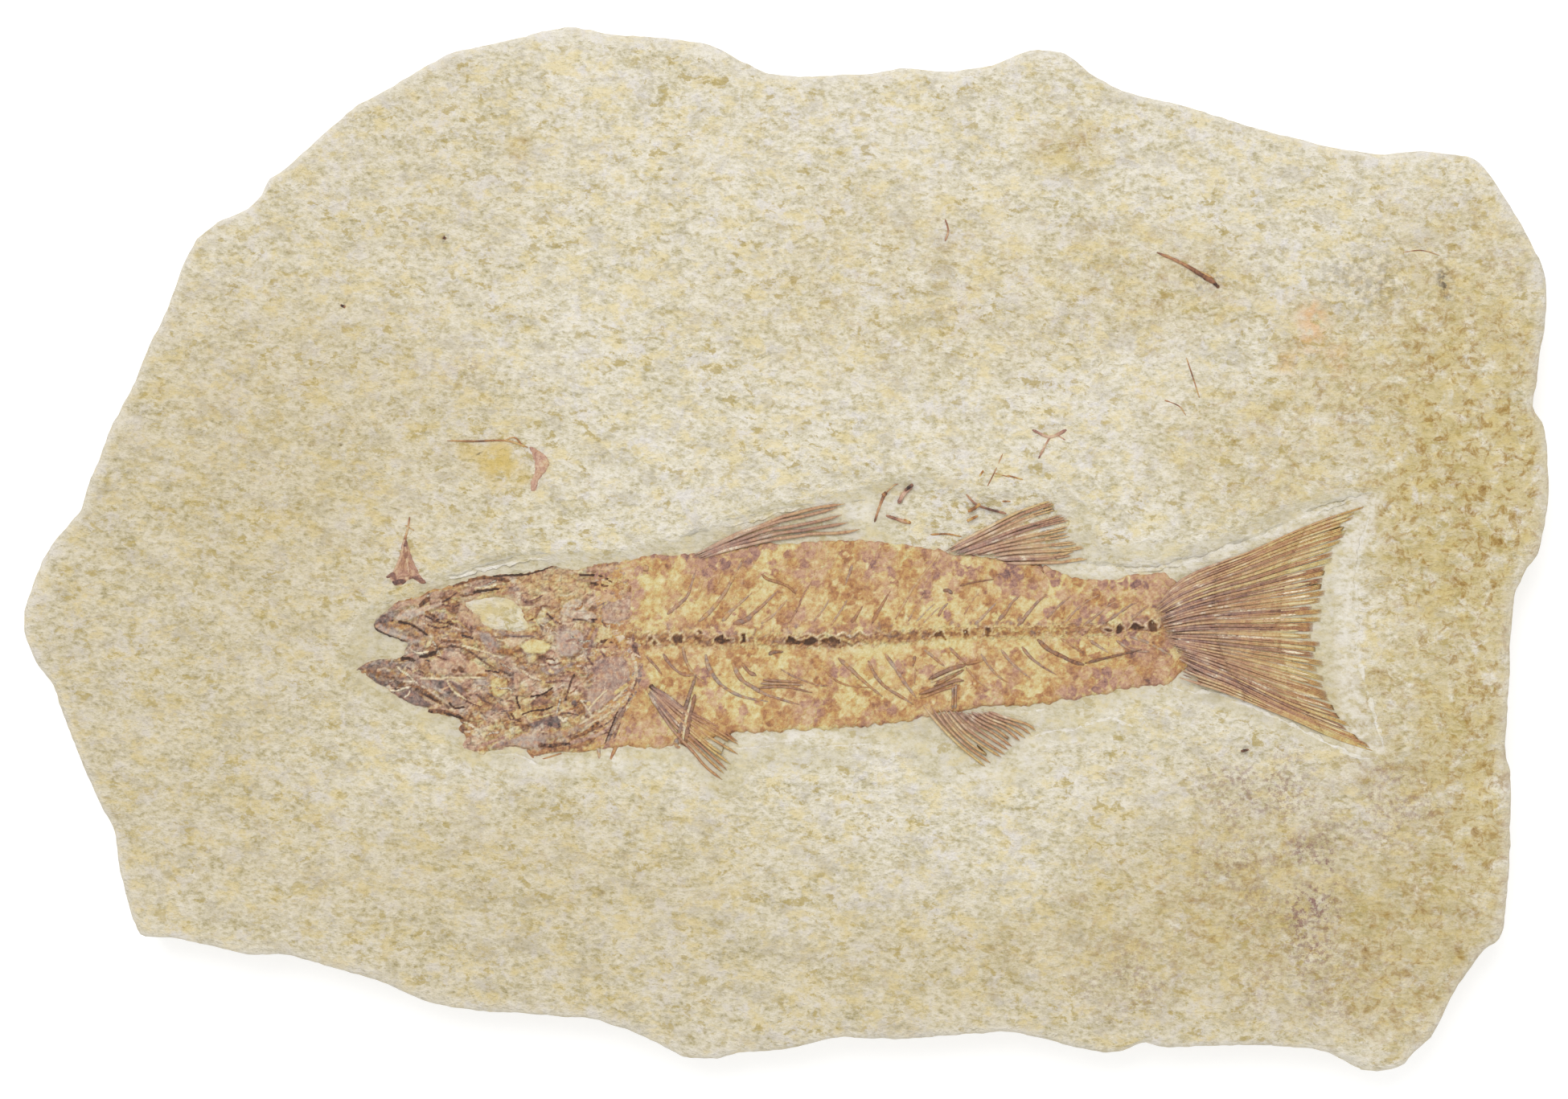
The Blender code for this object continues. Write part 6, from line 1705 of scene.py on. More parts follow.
RODS = (
    ([(57.6, -22), (61.6, -21), (65, -20.2), (68.5, -19.4)], (0.24, 0.12), 0.66, 0.4),
    ([(-5, -25.9), (0, -26), (3.2, -26.2)], (0.2, 0.14), 0.4, 0.5),
    ([(-5.3, -26.7), (0, -26.6), (5, -27.7)], (0.26, 0.12), 0.5, 0.4),
    ([(-4.5, -25.2), (0, -25.5), (2.8, -25.6)], (0.22, 0.14), 0.5, 0.4),
    ([(-3.4, -20.4), (-2.6, -19.9), (-0.6, -19.8)], (0.3, 0.14), 0.62, 0.6),
    ([(27.4, -25.1), (31, -23.4), (34.6, -22.3)], (0.26, 0.36), 0.56, 0.4),
    ([(27.8, -25.7), (31.4, -24), (34, -23)], (0.22, 0.2), 0.16, 0.4),
    ([(28.4, -26.4), (31.6, -24.8), (34.2, -23.3)], (0.2, 0.2), 0.56, 0.4),
    ([(34.6, -22.2), (36.6, -21.8), (38, -21.4)], (0.24, 0.14), 0.5, 0.1),
    ([(25.6, -28), (29, -26.8), (32.6, -25.4), (34.2, -25.4)], (0.22, 0.26), 0.56, 0.3),
    ([(25.8, -28.7), (30, -27.2), (33.4, -26.2)], (0.22, 0.2), 0.5, 0.1),
    ([(32.1, -26), (32.1, -28.4), (32, -30.8)], (0.18, 0.18), 0.46, 0.8),
    ([(32.7, -26), (32.6, -28.4), (32.6, -30.8)], (0.18, 0.18), 0.46, 0.8),
    ([(-17.4, -24.2), (-18.8, -28.4), (-20, -32.6), (-20.8, -36.6)], (0.2, 0.4), 0.56, 0.6),
    ([(-18.2, -29), (-19.4, -33), (-20, -37.2)], (0.3, 0.2), 0.1, 0.6),
    ([(-17.6, -28), (-18.5, -31.6), (-19.4, -37)], (0.34, 0.4), 0.6, 0.3),
    ([(-20.4, -37), (-19.2, -38.2)], (0.26, 0.2), 0.74, 0.1),
    ([(-21.2, -36.6), (-21.2, -38.2), (-20.4, -38.2)], (0.4, 0.3), 0.4, 1.0),
    ([(-26.3, -26.2), (-25.2, -27.4)], (0.4, 0.3), 0.76, 0.5),
    ([(-4.8, -4.8), (-3.6, -5.8), (-1, -6.6), (0.6, -7.4), (1.8, -8.6)], (0.24, 0.16), 0.52, 0.2),
    ([(33.4, -7.1), (36, -6.4), (40, -5.8)], (0.14, 0.1), 0.62, 0.1),
    ([(45, 3), (46.5, 1.5), (48, -1), (48.6, -2.4), (49.6, -4.6)], (0.14, 0.22), 0.62, 0.1),
    ([(30.2, -8), (31.2, -8), (32, -8.6)], (0.24, 0.24), 0.6, 0.8),
    ([(-27.6, -3.6), (-26.6, -3.8)], (0.5, 0.4), 0.4, 0.3),
)


# Splinters that hang below the throat, on the stone.
FRINGE = (
    ([(-36.3, -38.4), (-36.1, -40.4), (-36.3, -42.6)], (0.36, 0.28), 0.36, 1.0),
    ([(-31.6, -34.6), (-33, -38.4), (-34.2, -41.2)], (0.4, 0.34), 0.5, 0.0),
    ([(-52.6, -40.4), (-51.8, -41.4), (-51, -41.2)], (0.26, 0.2), 0.6, 0.0),
    ([(-49.8, -38.8), (-48.7, -40.6), (-48.6, -42.2)], (0.34, 0.22), 0.56, 0.0),
    ([(-48.6, -40.8), (-46.6, -40.4), (-43.4, -39.4)], (0.22, 0.14), 0.5, 0.0),
    ([(-48.4, -39.6), (-46.4, -38.8), (-43.8, -38.6)], (0.5, 0.3), 0.5, 0.0),
)


@dataclass
class Spines:
    """The spines above the backbone, the ribs below it, and the rods of the fin girdles."""

    trunk: Trunk

    def lay(
        self, strands: Strands, path: Line, radii: tuple[float, float], lift: float,
        **paint: float,
    ) -> None:
        """Lay one rod on the flank along a path, tapering between its radii."""
        line = curve(path, 5 + 3 * len(path))
        z = self.trunk.relief.height_at(line[:, 0], line[:, 1])
        z = np.convolve(np.pad(z, 2, mode="edge"), np.ones(5) / 5, mode="valid") + lift
        t = np.linspace(0, 1, len(line))
        radius = blend(radii[0], radii[1], t) * np.clip(6 * np.minimum(t + 0.06, 1.06 - t), 0.3, 1)
        radius *= 1.3 * (1 + 0.2 * self.trunk.noise.smooth(line[:, 0], line[:, 1], 1.2))
        strands.add(np.column_stack([line, np.clip(z, 12.2, FLANK_TOP)]), radius, 0.6, **paint)

    def build(self) -> list[bpy.types.Object]:
        """Spines, ribs and girdle rods, each kind one piece."""
        rng = np.random.default_rng(9)
        made = []
        for name, table, lift, deepen in (("fish_spines", SPINES, -0.02, 0.02),
                                          ("fish_ribs", RIBS, 0.0, 0.04),
                                          ("fish_rods", RODS, 0.12, 0.06)):
            strands = Strands()
            for line, radii, tone, slate in table:
                self.lay(strands, line, radii, lift, tone=tone + deepen,
                         mauve=rng.uniform(0.15, 0.5), slate=slate)
            if table is RODS:
                self.hang(strands)
            made.append(dress(strands.put(name), Slot.FISH, "fossil_fish"))
        return made

    def hang(self, strands: Strands, count: int = 12, height: float = 12.52) -> None:
        """Add the throat's splinters, which lie level on the stone."""
        for line, radii, tone, slate in FRINGE:
            place = np.column_stack([curve(line, count), np.full(count, height)])
            strands.add(place, blend(radii[0], radii[1], np.linspace(0, 1, count)), 0.6,
                        tone=tone, mauve=0.3, slate=slate)


@dataclass
class LooseBones:
    """The bones that lie on the stone away from the fish."""

    foot: float = 12.4             # height of a flat bone's edge
    under: float = 12.25           # and of its underside
    step: float = 0.11
    noise: Noise = field(default_factory=lambda: Noise(61))

    def plate(
        self, name: str, outline: Line, top: float, tone: float, mauve: float,
        ribs: Sequence[tuple[Line, tuple[float, float], float, float]], node: str,
    ) -> bpy.types.Object:
        """A ragged flat bone with its own ridges, cut from a fine grid.

        Args:
            name: the piece's name.
            outline: its edge.
            top: height of its face.
            tone, mauve: its colour.
            ribs: ridges on it: path, radii, lift and tone.
            node: the part's solid that it stands for.
        """
        p = np.asarray(outline, float)
        low, high = p.min(axis=0) - 0.6, p.max(axis=0) + 0.6
        x, y = np.meshgrid(np.arange(low[0], high[0], self.step),
                           np.arange(low[1], high[1], self.step), indexing="ij")
        n = self.noise
        inside = depth_inside(x, y, curve(outline, 120, closed=True)) + 0.16 * n.fractal(x, y, 1, 3)
        rise = dome(inside, 0.5)
        crumb = n.ridged(x, y, 1.1, 3)
        r = Relief(x, y, self.foot + (top - self.foot + 0.2 * (crumb - 0.5)) * rise)
        r.tone = tone + 0.25 * (crumb - 0.5) + 0.15 * n.fractal(x, y, 1.6, 2)
        r.mauve = mauve + 0.3 * n.fractal(x, y, 2.2, 2)
        r.crust = 0.5 * smoothstep(crumb, 0.8, 0.97)
        for path, radii, lift, shade in ribs:
            r.rod(path, radii, lift, tone=shade)
        r.z = blend(self.foot, np.clip(r.z, self.foot, 13.6), np.clip(rise * 1.6, 0, 1))
        return dress(r.cut_solid(name, inside > 0.0, self.under), Slot.LOOSE, node)

    def sticks(
        self, name: str, paths: Sequence[tuple[Line, tuple[float, float], float, float, float]],
        *nodes: str,
    ) -> bpy.types.Object:
        """Thin bones: path, radii, height of the middle, tone and mauve of each."""
        strands = Strands(sides=8)
        for path, radii, height, tone, mauve in paths:
            line = curve(path, 14)
            t = np.linspace(0, 1, 14)
            radius = blend(radii[0], radii[1], t)
            radius = radius * (1 + 0.2 * self.noise.smooth(line[:, 0] * 3, line[:, 1] * 3, 1.3))
            radius = radius * np.clip(9 * np.minimum(t + 0.05, 1.05 - t), 0.35, 1)
            z = height + 0.05 * self.noise.smooth(line[:, 0], line[:, 1], 2.0)
            strands.add(np.column_stack([line, z]), radius, 0.75,
                        tone=tone - 0.08 + 0.16 * np.sin(7 * t + tone * 40), mauve=mauve)
        return dress(strands.put(name), Slot.LOOSE, *nodes)

    def build(self) -> list[bpy.types.Object]:
        """Every loose bone."""
        face = FACE - 0.02
        bed = BED + 0.12
        return [
            self.plate("cone_bone", [
                (-73.5, 2.2), (-72.9, 1.4), (-72.3, -0.8), (-71.4, -3.2), (-69.9, -5.4),
                (-69.2, -6.4), (-70.6, -6.9), (-72.2, -5.8), (-73.9, -7.0), (-75.2, -7.2),
                (-76.6, -6.0), (-77.2, -5.3), (-76, -4.2), (-75.2, -2.6), (-74.6, -0.4),
                (-74.2, 1.4),
            ], 13.05, 0.44, 0.85, [
                ([(-73.6, 1.6), (-74.3, -1.5), (-75.6, -4.2)], (0.26, 0.3), 0.2, 0.3),
                ([(-73.5, 0.8), (-73.8, -1.8), (-74.1, -4.4)], (0.2, 0.3), 0.25, 0.56),
                ([(-73.4, 1.2), (-73.2, -1.8), (-72.8, -4.4)], (0.2, 0.26), 0.25, 0.28),
                ([(-73.2, 0.8), (-72.4, -1.6), (-71.2, -4.4)], (0.22, 0.3), 0.25, 0.5),
                ([(-73.1, 1.7), (-73.6, 0.6)], (0.4, 0.3), 0.15, 0.72),
                ([(-73.2, -0.8), (-73.4, -1.8)], (0.34, 0.2), 0.1, 0.66),
                ([(-77.1, -5.2), (-76, -4.9), (-75.4, -5.7)], (0.5, 0.5), 0.3, 0.74),
                ([(-75.6, -6.6), (-74.4, -6.2), (-73.4, -6.4)], (0.55, 0.5), 0.25, 0.8),
                ([(-74.6, -5.1), (-72.8, -4.8), (-71.2, -5.2)], (0.36, 0.36), 0.25, 0.42),
                ([(-72.4, -5.6), (-71.2, -5.6), (-69.7, -6.5)], (0.42, 0.4), 0.3, 0.72),
            ], "loose_cone_bone"),
            self.sticks("cone_bone_spine", [
                ([(-73.6, 1.6), (-73.0, 4), (-72.6, 6.2)], (0.26, 0.14), face, 0.5, 0.5),
                ([(-73.5, 4.6), (-71.8, 3.6)], (0.12, 0.1), face, 0.45, 0.2),
            ], "loose_cone_bone"),
            self.plate("flake_bone", [
                (-49.6, 19.7), (-48.2, 19.4), (-46.4, 18.2), (-45.6, 16.6), (-46.4, 14.8),
                (-47.6, 13.4), (-48.2, 11.4), (-49.2, 11.1), (-49.4, 13), (-48.6, 15),
                (-48.8, 17),
            ], 13.12, 0.42, 0.95, [], "loose_flake_bone"),
            self.sticks("flake_ledge", [
                ([(-65.4, 20.9), (-60, 20.8), (-54, 20.9), (-49.8, 19.6)], (0.13, 0.2), face + 0.02,
                 0.6, 0.2),
                ([(-54.6, 20.8), (-52.4, 21.5), (-50.6, 19.6)], (0.12, 0.18), face, 0.55, 0.2),
            ]),
            self.sticks("splinter_bone", [
                ([(71.4, 57.2), (76.4, 55.0), (82.8, 51.2)], (0.22, 0.5), face + 0.1, 0.7, 0.4),
                ([(73, 56.8), (78.4, 54.0), (82.4, 52.2)], (0.14, 0.26), face + 0.14, 0.35, 0.2),
                ([(80.4, 52.2), (82, 51.6), (83.4, 50.4)], (0.3, 0.34), face + 0.04, 0.85, 0.3),
            ], "loose_splinter_bone"),
            self.sticks("rod_bone_1", [
                ([(17.0, 5.2), (17.9, 8), (18.9, 10.6)], (0.2, 0.3), bed + 0.12, 0.66, 0.5),
                ([(18.6, 10.2), (19.3, 11)], (0.42, 0.4), bed + 0.1, 0.85, 0.4),
                ([(19.2, 10.8), (20.6, 12.2), (21.6, 12.6)], (0.14, 0.1), face - 0.2, 0.5, 0.4),
            ], "loose_rod_bone_1"),
            self.sticks("rod_bone_2", [
                ([(21.6, 8.8), (22.6, 10.6), (24.2, 12.2)], (0.42, 0.42), face - 0.3, 0.5, 1.0),
                ([(22.8, 11.2), (24.4, 12.5)], (0.3, 0.34), face - 0.06, 0.9, 0.6),
            ], "loose_rod_bone_2"),
            self.sticks("rod_bone_3", [
                ([(19.2, 6.5), (21.6, 5.7), (23.6, 5.1)], (0.24, 0.42), bed + 0.22, 0.62, 0.7),
                ([(22.6, 5.6), (24.0, 5.0)], (0.3, 0.3), bed + 0.3, 0.5, 0.1),
            ], "loose_rod_bone_3"),
            self.sticks("forked_bone", [
                ([(47.4, 23.0), (50.8, 21.6), (54, 23.0)], (0.24, 0.34), face + 0.04, 0.5, 0.95),
                ([(50.9, 21.7), (49.7, 19.6), (48.6, 17.4)], (0.22, 0.18), face, 0.5, 0.8),
                ([(52.2, 22.0), (53.8, 21.0)], (0.16, 0.12), face, 0.5, 0.8),
            ], "loose_forked_bone"),
            self.sticks("scattered_splinters", [
                ([(30.6, 63.6), (31.2, 61.4), (30.6, 59.4)], (0.16, 0.2), face, 0.62, 0.7),
                ([(34.6, 10.6), (37, 8.4), (42.4, 6.8)], (0.2, 0.26), face - 0.02, 0.72, 0.6),
                ([(35, 7.2), (36.4, 8.0), (37.4, 8.8)], (0.34, 0.3), face - 0.06, 0.6, 0.0),
                ([(34.8, 5.4), (36.9, 6.4)], (0.3, 0.26), face - 0.1, 0.55, 0.0),
                ([(38.0, 15.2), (37.2, 14.0)], (0.24, 0.2), face, 0.6, 0.0),
                ([(42.6, 14.2), (45.6, 13.4)], (0.16, 0.14), face, 0.6, 0.1),
                ([(38.6, 11.8), (40.2, 15), (41.8, 18.6)], (0.12, 0.12), face, 0.62, 0.4),
                ([(40.2, 14.6), (43, 13.9)], (0.14, 0.1), face, 0.55, 0.2),
                ([(41.6, 9.2), (43.2, 9.2)], (0.2, 0.16), face, 0.6, 0.1),
                ([(27.8, 2.8), (31, 2.9), (33.8, 2.4)], (0.18, 0.16), bed + 0.2, 0.6, 0.0),
                ([(77.1, 36.9), (78.4, 33), (79.6, 29.2)], (0.13, 0.12), face, 0.6, 0.3),
                ([(72.7, 28.8), (75.6, 27.6), (77, 25.8)], (0.15, 0.1), face, 0.6, 0.4),
                ([(118.9, 57.2), (122.4, 57.6), (126, 56.6)], (0.1, 0.08), face, 0.6, 0.4),
                ([(-66.2, 60.2), (-65.6, 59.8)], (0.4, 0.3), face - 0.1, 0.9, 0.4),
                ([(-86, 47.1), (-85, 46.6)], (0.36, 0.3), face - 0.1, 0.9, 0.4),
                ([(87.6, -39), (89.2, -38.6)], (0.34, 0.3), face - 0.1, 0.9, 0.4),
            ]),
        ]


# ---------------------------------------------------------------- finishes


Socket = bpy.types.NodeSocket


def rgb(red: int, green: int, blue: int) -> tuple[float, float, float, float]:
    """A colour given as screen values 0 to 255, turned to linear light."""
    share = [c / 255 for c in (red, green, blue)]
    linear = [c / 12.92 if c <= 0.04045 else ((c + 0.055) / 1.055) ** 2.4 for c in share]
    return (*linear, 1.0)


class Wiring:
    """Adds nodes to one tree and links them."""

    def __init__(self, tree: bpy.types.NodeTree) -> None:
        """Work on one node tree."""
        self.tree = tree

    def plug(self, socket: Socket, value: Socket | float | tuple) -> None:
        """Link a socket to another, or set its number or colour."""
        if isinstance(value, bpy.types.NodeSocket):
            self.tree.links.new(value, socket)
        else:
            socket.default_value = value

    def node(self, kind: str, inputs: Optional[dict] = None, **settings: object) -> bpy.types.Node:
        """A node with its settings made and its inputs linked or set."""
        node = self.tree.nodes.new(kind)
        for key, value in settings.items():
            setattr(node, key, value)
        for key, value in (inputs or {}).items():
            self.plug(node.inputs[key], value)
        return node

    def math(self, operation: str, a: Socket | float, b: Socket | float,
             clamp: bool = False) -> Socket:
        """One step of arithmetic, its result held to 0..1 if clamped."""
        return self.node("ShaderNodeMath", {0: a, 1: b}, operation=operation,
                         use_clamp=clamp).outputs[0]

    def times(self, a: Socket | float, b: Socket | float) -> Socket:
        """The product of two values."""
        return self.math("MULTIPLY", a, b)

    def plus(self, a: Socket | float, b: Socket | float, clamp: bool = False) -> Socket:
        """The sum of two values."""
        return self.math("ADD", a, b, clamp)

    def less(self, a: Socket | float, b: Socket | float) -> Socket:
        """The first value less the second."""
        return self.math("SUBTRACT", a, b)

    def noise(self, vector: Socket, size: float, detail: float = 3.0, rough: float = 0.55,
              twist: float = 0.0) -> Socket:
        """Noise whose blotches are about `size` millimetres across."""
        return self.node("ShaderNodeTexNoise", {
            "Vector": vector, "Scale": 1 / (size * MM), "Detail": detail, "Roughness": rough,
            "Distortion": twist,
        }).outputs[0]

    def cells(self, vector: Socket, size: float) -> Socket:
        """The distance to the nearest middle of cells about `size` millimetres across."""
        return self.node("ShaderNodeTexVoronoi", {
            "Vector": vector, "Scale": 1 / (size * MM),
        }).outputs["Distance"]

    def span(self, value: Socket, low: float, high: float, a: float = 0.0,
             b: float = 1.0) -> Socket:
        """Carry low..high to a..b, smoothly and clamped."""
        return self.node("ShaderNodeMapRange", {
            "Value": value, "From Min": low, "From Max": high, "To Min": a, "To Max": b,
        }, interpolation_type="SMOOTHSTEP").outputs[0]

    def mix(self, share: Socket | float, a: Socket | tuple, b: Socket | tuple,
            kind: str = "MIX") -> Socket:
        """Mix two colours."""
        node = self.node("ShaderNodeMix", data_type="RGBA", blend_type=kind, clamp_result=True)
        self.plug(node.inputs["Factor"], share)
        self.plug(node.inputs[6], a)
        self.plug(node.inputs[7], b)
        return node.outputs[2]

    def cover(self, under: Socket, mask: Socket, share: float, over: Socket | tuple,
              kind: str = "MIX") -> Socket:
        """Lay a colour over another where a mask is, at a share of full strength."""
        return self.mix(self.times(mask, share), under, over, kind)

    def ramp(self, value: Socket, stops: Sequence[tuple[float, tuple]]) -> Socket:
        """Colours along a value."""
        node = self.node("ShaderNodeValToRGB", {0: value})
        bar = node.color_ramp
        while len(bar.elements) < len(stops):
            bar.elements.new(0.5)
        for element, (place, colour) in zip(bar.elements, stops):
            element.position = place
            element.color = colour
        return node.outputs[0]

    def field(self, name: str) -> Socket:
        """A number kept on the mesh."""
        return self.node("ShaderNodeAttribute", attribute_name=name).outputs["Fac"]

    def place(self, turn: float = 0.0, stretch: tuple = (1.0, 1.0, 1.0)) -> Socket:
        """The place on the object, so that patterns stretch along a line turned by degrees."""
        here = self.node("ShaderNodeTexCoord").outputs["Object"]
        return self.node("ShaderNodeMapping", {
            "Vector": here, "Rotation": (0, 0, math.radians(turn)), "Scale": stretch,
        }, vector_type="TEXTURE").outputs[0]

    def roughen(self, shader: bpy.types.Node, strength: float, deep: float,
                rise: Socket) -> None:
        """Bump a shader's surface by a height, to a depth in millimetres."""
        bump = self.node("ShaderNodeBump", {
            "Strength": strength, "Distance": deep * MM, "Height": rise,
        })
        self.plug(shader.inputs["Normal"], bump.outputs[0])

    def group(self, tree: bpy.types.NodeTree, **inputs: Socket | float) -> bpy.types.Node:
        """A shared effect, placed with its own values."""
        node = self.node("ShaderNodeGroup", node_tree=tree)
        for key, value in inputs.items():
            self.plug(node.inputs[key.capitalize()], value)
        return node


def new_material(name: str) -> tuple[bpy.types.Material, Wiring, bpy.types.Node]:
    """A material, its wiring and its Principled shader."""
    material = bpy.data.materials.new(name)
    material.use_nodes = True
    return material, Wiring(material.node_tree), material.node_tree.nodes["Principled BSDF"]


def new_group(name: str, inputs: Sequence[tuple[str, str, float | None]],
              outputs: Sequence[tuple[str, str]]) -> tuple[bpy.types.NodeTree, dict, dict]:
    """An empty shared effect.

    Args:
        name: its name.
        inputs: name, socket kind and starting value of each input.
        outputs: name and socket kind of each output.

    Returns:
        The tree, its input sockets by name, and its output sockets by name.
    """
    tree = bpy.data.node_groups.new(name, "ShaderNodeTree")
    for label, kind, value in inputs:
        socket = tree.interface.new_socket(label, in_out="INPUT", socket_type=kind)
        if value is not None:
            socket.default_value = value
    for label, kind in outputs:
        tree.interface.new_socket(label, in_out="OUTPUT", socket_type=kind)
    entry, leave = tree.nodes.new("NodeGroupInput"), tree.nodes.new("NodeGroupOutput")
    return tree, dict(entry.outputs.items()), dict(leave.inputs.items())


def grit_group() -> bpy.types.NodeTree:
    """Fine grit: a grain value about nought, a mask of dark specks, and a height for bumps."""
    tree, given, out = new_group(
        "grit", [("Vector", "NodeSocketVector", None), ("Size", "NodeSocketFloat", 1.0)],
        [("Grain", "NodeSocketFloat"), ("Specks", "NodeSocketFloat"),
         ("Height", "NodeSocketFloat")])
    w = Wiring(tree)
    scale = w.math("DIVIDE", 1.0, given["Size"])
    grown = w.node("ShaderNodeVectorMath", {0: given["Vector"], "Scale": scale},
                   operation="SCALE").outputs[0]
    coarse, fine = w.noise(grown, 1.0, 3.0, 0.6), w.noise(grown, 0.34, 2.0, 0.6)
    w.plug(out["Grain"], w.less(w.plus(coarse, fine), 1.0))
    cell = w.cells(grown, 1.7)
    w.plug(out["Specks"], w.times(w.span(cell, 0.26, 0.08), w.span(fine, 0.5, 0.66)))
    w.plug(out["Height"], w.plus(coarse, w.times(fine, 0.45)))
    return tree


def mottle_group() -> bpy.types.NodeTree:
    """Mottling: one value from broad and middling blotches, and a mask of small bright spots."""
    tree, given, out = new_group(
        "mottle", [("Vector", "NodeSocketVector", None), ("Broad", "NodeSocketFloat", 0.3)],
        [("Value", "NodeSocketFloat"), ("Spots", "NodeSocketFloat")])
    w = Wiring(tree)
    wide = w.noise(given["Vector"], 9.0, 3.0, 0.6, 0.3)
    middle = w.noise(given["Vector"], 2.0, 4.0, 0.7, 0.4)
    small = w.noise(given["Vector"], 0.8, 3.0, 0.6, 0.2)
    pair = w.plus(w.times(middle, 0.6), w.times(small, 0.4))
    lean = w.times(w.less(wide, 0.5), given["Broad"])
    w.plug(out["Value"], w.plus(pair, lean))
    other = w.noise(w.node("ShaderNodeVectorMath", {0: given["Vector"], 1: (3.1, 1.7, 0.0)},
                           operation="ADD").outputs[0], 2.0, 3.0, 0.6)
    w.plug(out["Spots"], w.span(other, 0.58, 0.72))
    return tree


@dataclass(frozen=True)
class StoneFinish:
    """Pecked limestone: cream mottled with grey-green and tan, iron stains, dark specks."""

    grit: bpy.types.NodeTree
    mottle: bpy.types.NodeTree
    deep: tuple = rgb(156, 145, 106)
    olive: tuple = rgb(190, 180, 148)
    cream: tuple = rgb(216, 208, 186)
    pale: tuple = rgb(228, 221, 205)
    butter: tuple = rgb(224, 207, 157)
    lilac: tuple = rgb(221, 216, 214)
    ash: tuple = rgb(190, 182, 168)
    moss: tuple = rgb(174, 154, 92)
    chalk: tuple = rgb(226, 221, 212)
    # painted shade of the scarps' steep faces
    grey: tuple = rgb(160, 157, 150)
    rust: tuple = rgb(160, 124, 58)
    umber: tuple = rgb(126, 90, 42)
    tan: tuple = rgb(204, 184, 116)
    dun: tuple = rgb(240, 236, 226)
    ochre: tuple = rgb(206, 178, 96)
    plum: tuple = rgb(136, 100, 96)
    blush: tuple = rgb(226, 178, 132)
    soot: tuple = rgb(74, 62, 50)
    smooth: tuple = rgb(178, 169, 138)

    def make(self) -> bpy.types.Material:
        """Build the material."""
        material, w, shader = new_material("pecked_limestone")
        lean, plain = w.place(-6, (1.5, 1.0, 1.0)), w.place()
        mottle = w.group(self.mottle, vector=lean, broad=0.22)
        grit = w.group(self.grit, vector=lean, size=0.8)
        value, spots = mottle.outputs["Value"], mottle.outputs["Spots"]
        grain = grit.outputs["Grain"]
        value = w.plus(value, w.times(grain, 0.26))
        colour = w.ramp(value, [(0.22, self.deep), (0.36, self.olive), (0.5, self.cream),
                                (0.62, self.pale), (0.78, self.chalk)])
        yellow, white = w.noise(lean, 3.0, 4.0, 0.7), w.noise(plain, 3.6, 4.0, 0.7)
        colour = w.mix(w.span(yellow, 0.48, 0.66, 0, 0.65), colour, self.butter)
        colour = w.mix(w.span(white, 0.52, 0.66, 0, 0.6), colour, self.lilac)
        dim = w.noise(lean, 4.4, 5.0, 0.75, 0.4)
        colour = w.mix(w.span(dim, 0.5, 0.34, 0, 0.5), colour, self.ash)
        iron, scraped = w.field("iron"), w.field("scraped")
        colour = w.mix(w.field("dull"), colour, self.dun, "MULTIPLY")
        stain = w.times(w.field("ochre"), w.span(w.noise(plain, 3.0, 3.0), 0.25, 0.55))
        colour = w.cover(colour, stain, 0.6, self.ochre)
        tinge = w.noise(plain, 4.5, 4.0, 0.65, 0.6)
        flush = w.times(iron, w.span(tinge, 0.3, 0.56))
        colour = w.cover(colour, flush, 0.45, self.tan, "MULTIPLY")
        colour = w.cover(colour, flush, 0.4, self.tan)
        clumps = w.noise(lean, 1.9, 5.0, 0.68, 0.3)
        dotted = w.span(w.noise(plain, 14.0, 2.0), 0.36, 0.6, 0.2, 0.75)
        flaws = w.times(w.span(clumps, 0.55, 0.63), dotted)
        colour = w.mix(flaws, colour, self.moss)
        rusty = w.times(spots, w.plus(0.12, w.times(iron, 0.6)))
        colour = w.mix(rusty, colour, self.rust)
        worn = w.noise(plain, 2.3, 6.0, 0.72, 0.6)
        burnt = w.times(iron, w.span(worn, 0.5, 0.62))
        colour = w.cover(colour, burnt, 0.75, self.rust)
        core = w.times(iron, w.span(worn, 0.61, 0.7))
        colour = w.cover(colour, core, 0.7, self.umber)
        smooth = w.mix(0.5, self.smooth, colour)
        colour = w.cover(colour, scraped, 0.8, smooth)
        # darker spots and patches on the stone
        dark_patch_share = w.times(w.field("dark_patches"), w.span(w.noise(plain, 1.2, 3.0), 0.42, 0.6))
        violet = w.times(w.field("mauve"),
                        w.span(w.noise(plain, 1.1, 5.0, 0.75), 0.46, 0.6))
        violet = w.times(violet, w.span(w.noise(plain, 5.0, 2.0), 0.4, 0.56, 0.2, 1.0))
        rosy = w.times(w.field("blush"), w.span(w.noise(plain, 2.5, 3.0), 0.35, 0.6))
        colour = w.cover(colour, rosy, 0.6, self.blush)
        colour = w.cover(colour, violet, 0.7, self.plum)
        colour = w.cover(colour, dark_patch_share, 0.85, self.soot)
        colour = w.cover(colour, grit.outputs["Specks"], 0.3, self.soot)
        colour = w.cover(colour, w.field("broken"), 0.35, self.chalk)
        patchy = w.span(w.noise(lean, 1.6, 4.0, 0.7), 0.34, 0.6)
        whiten = w.times(w.field("chalk"), patchy)
        colour = w.cover(colour, whiten, 0.75, self.chalk)
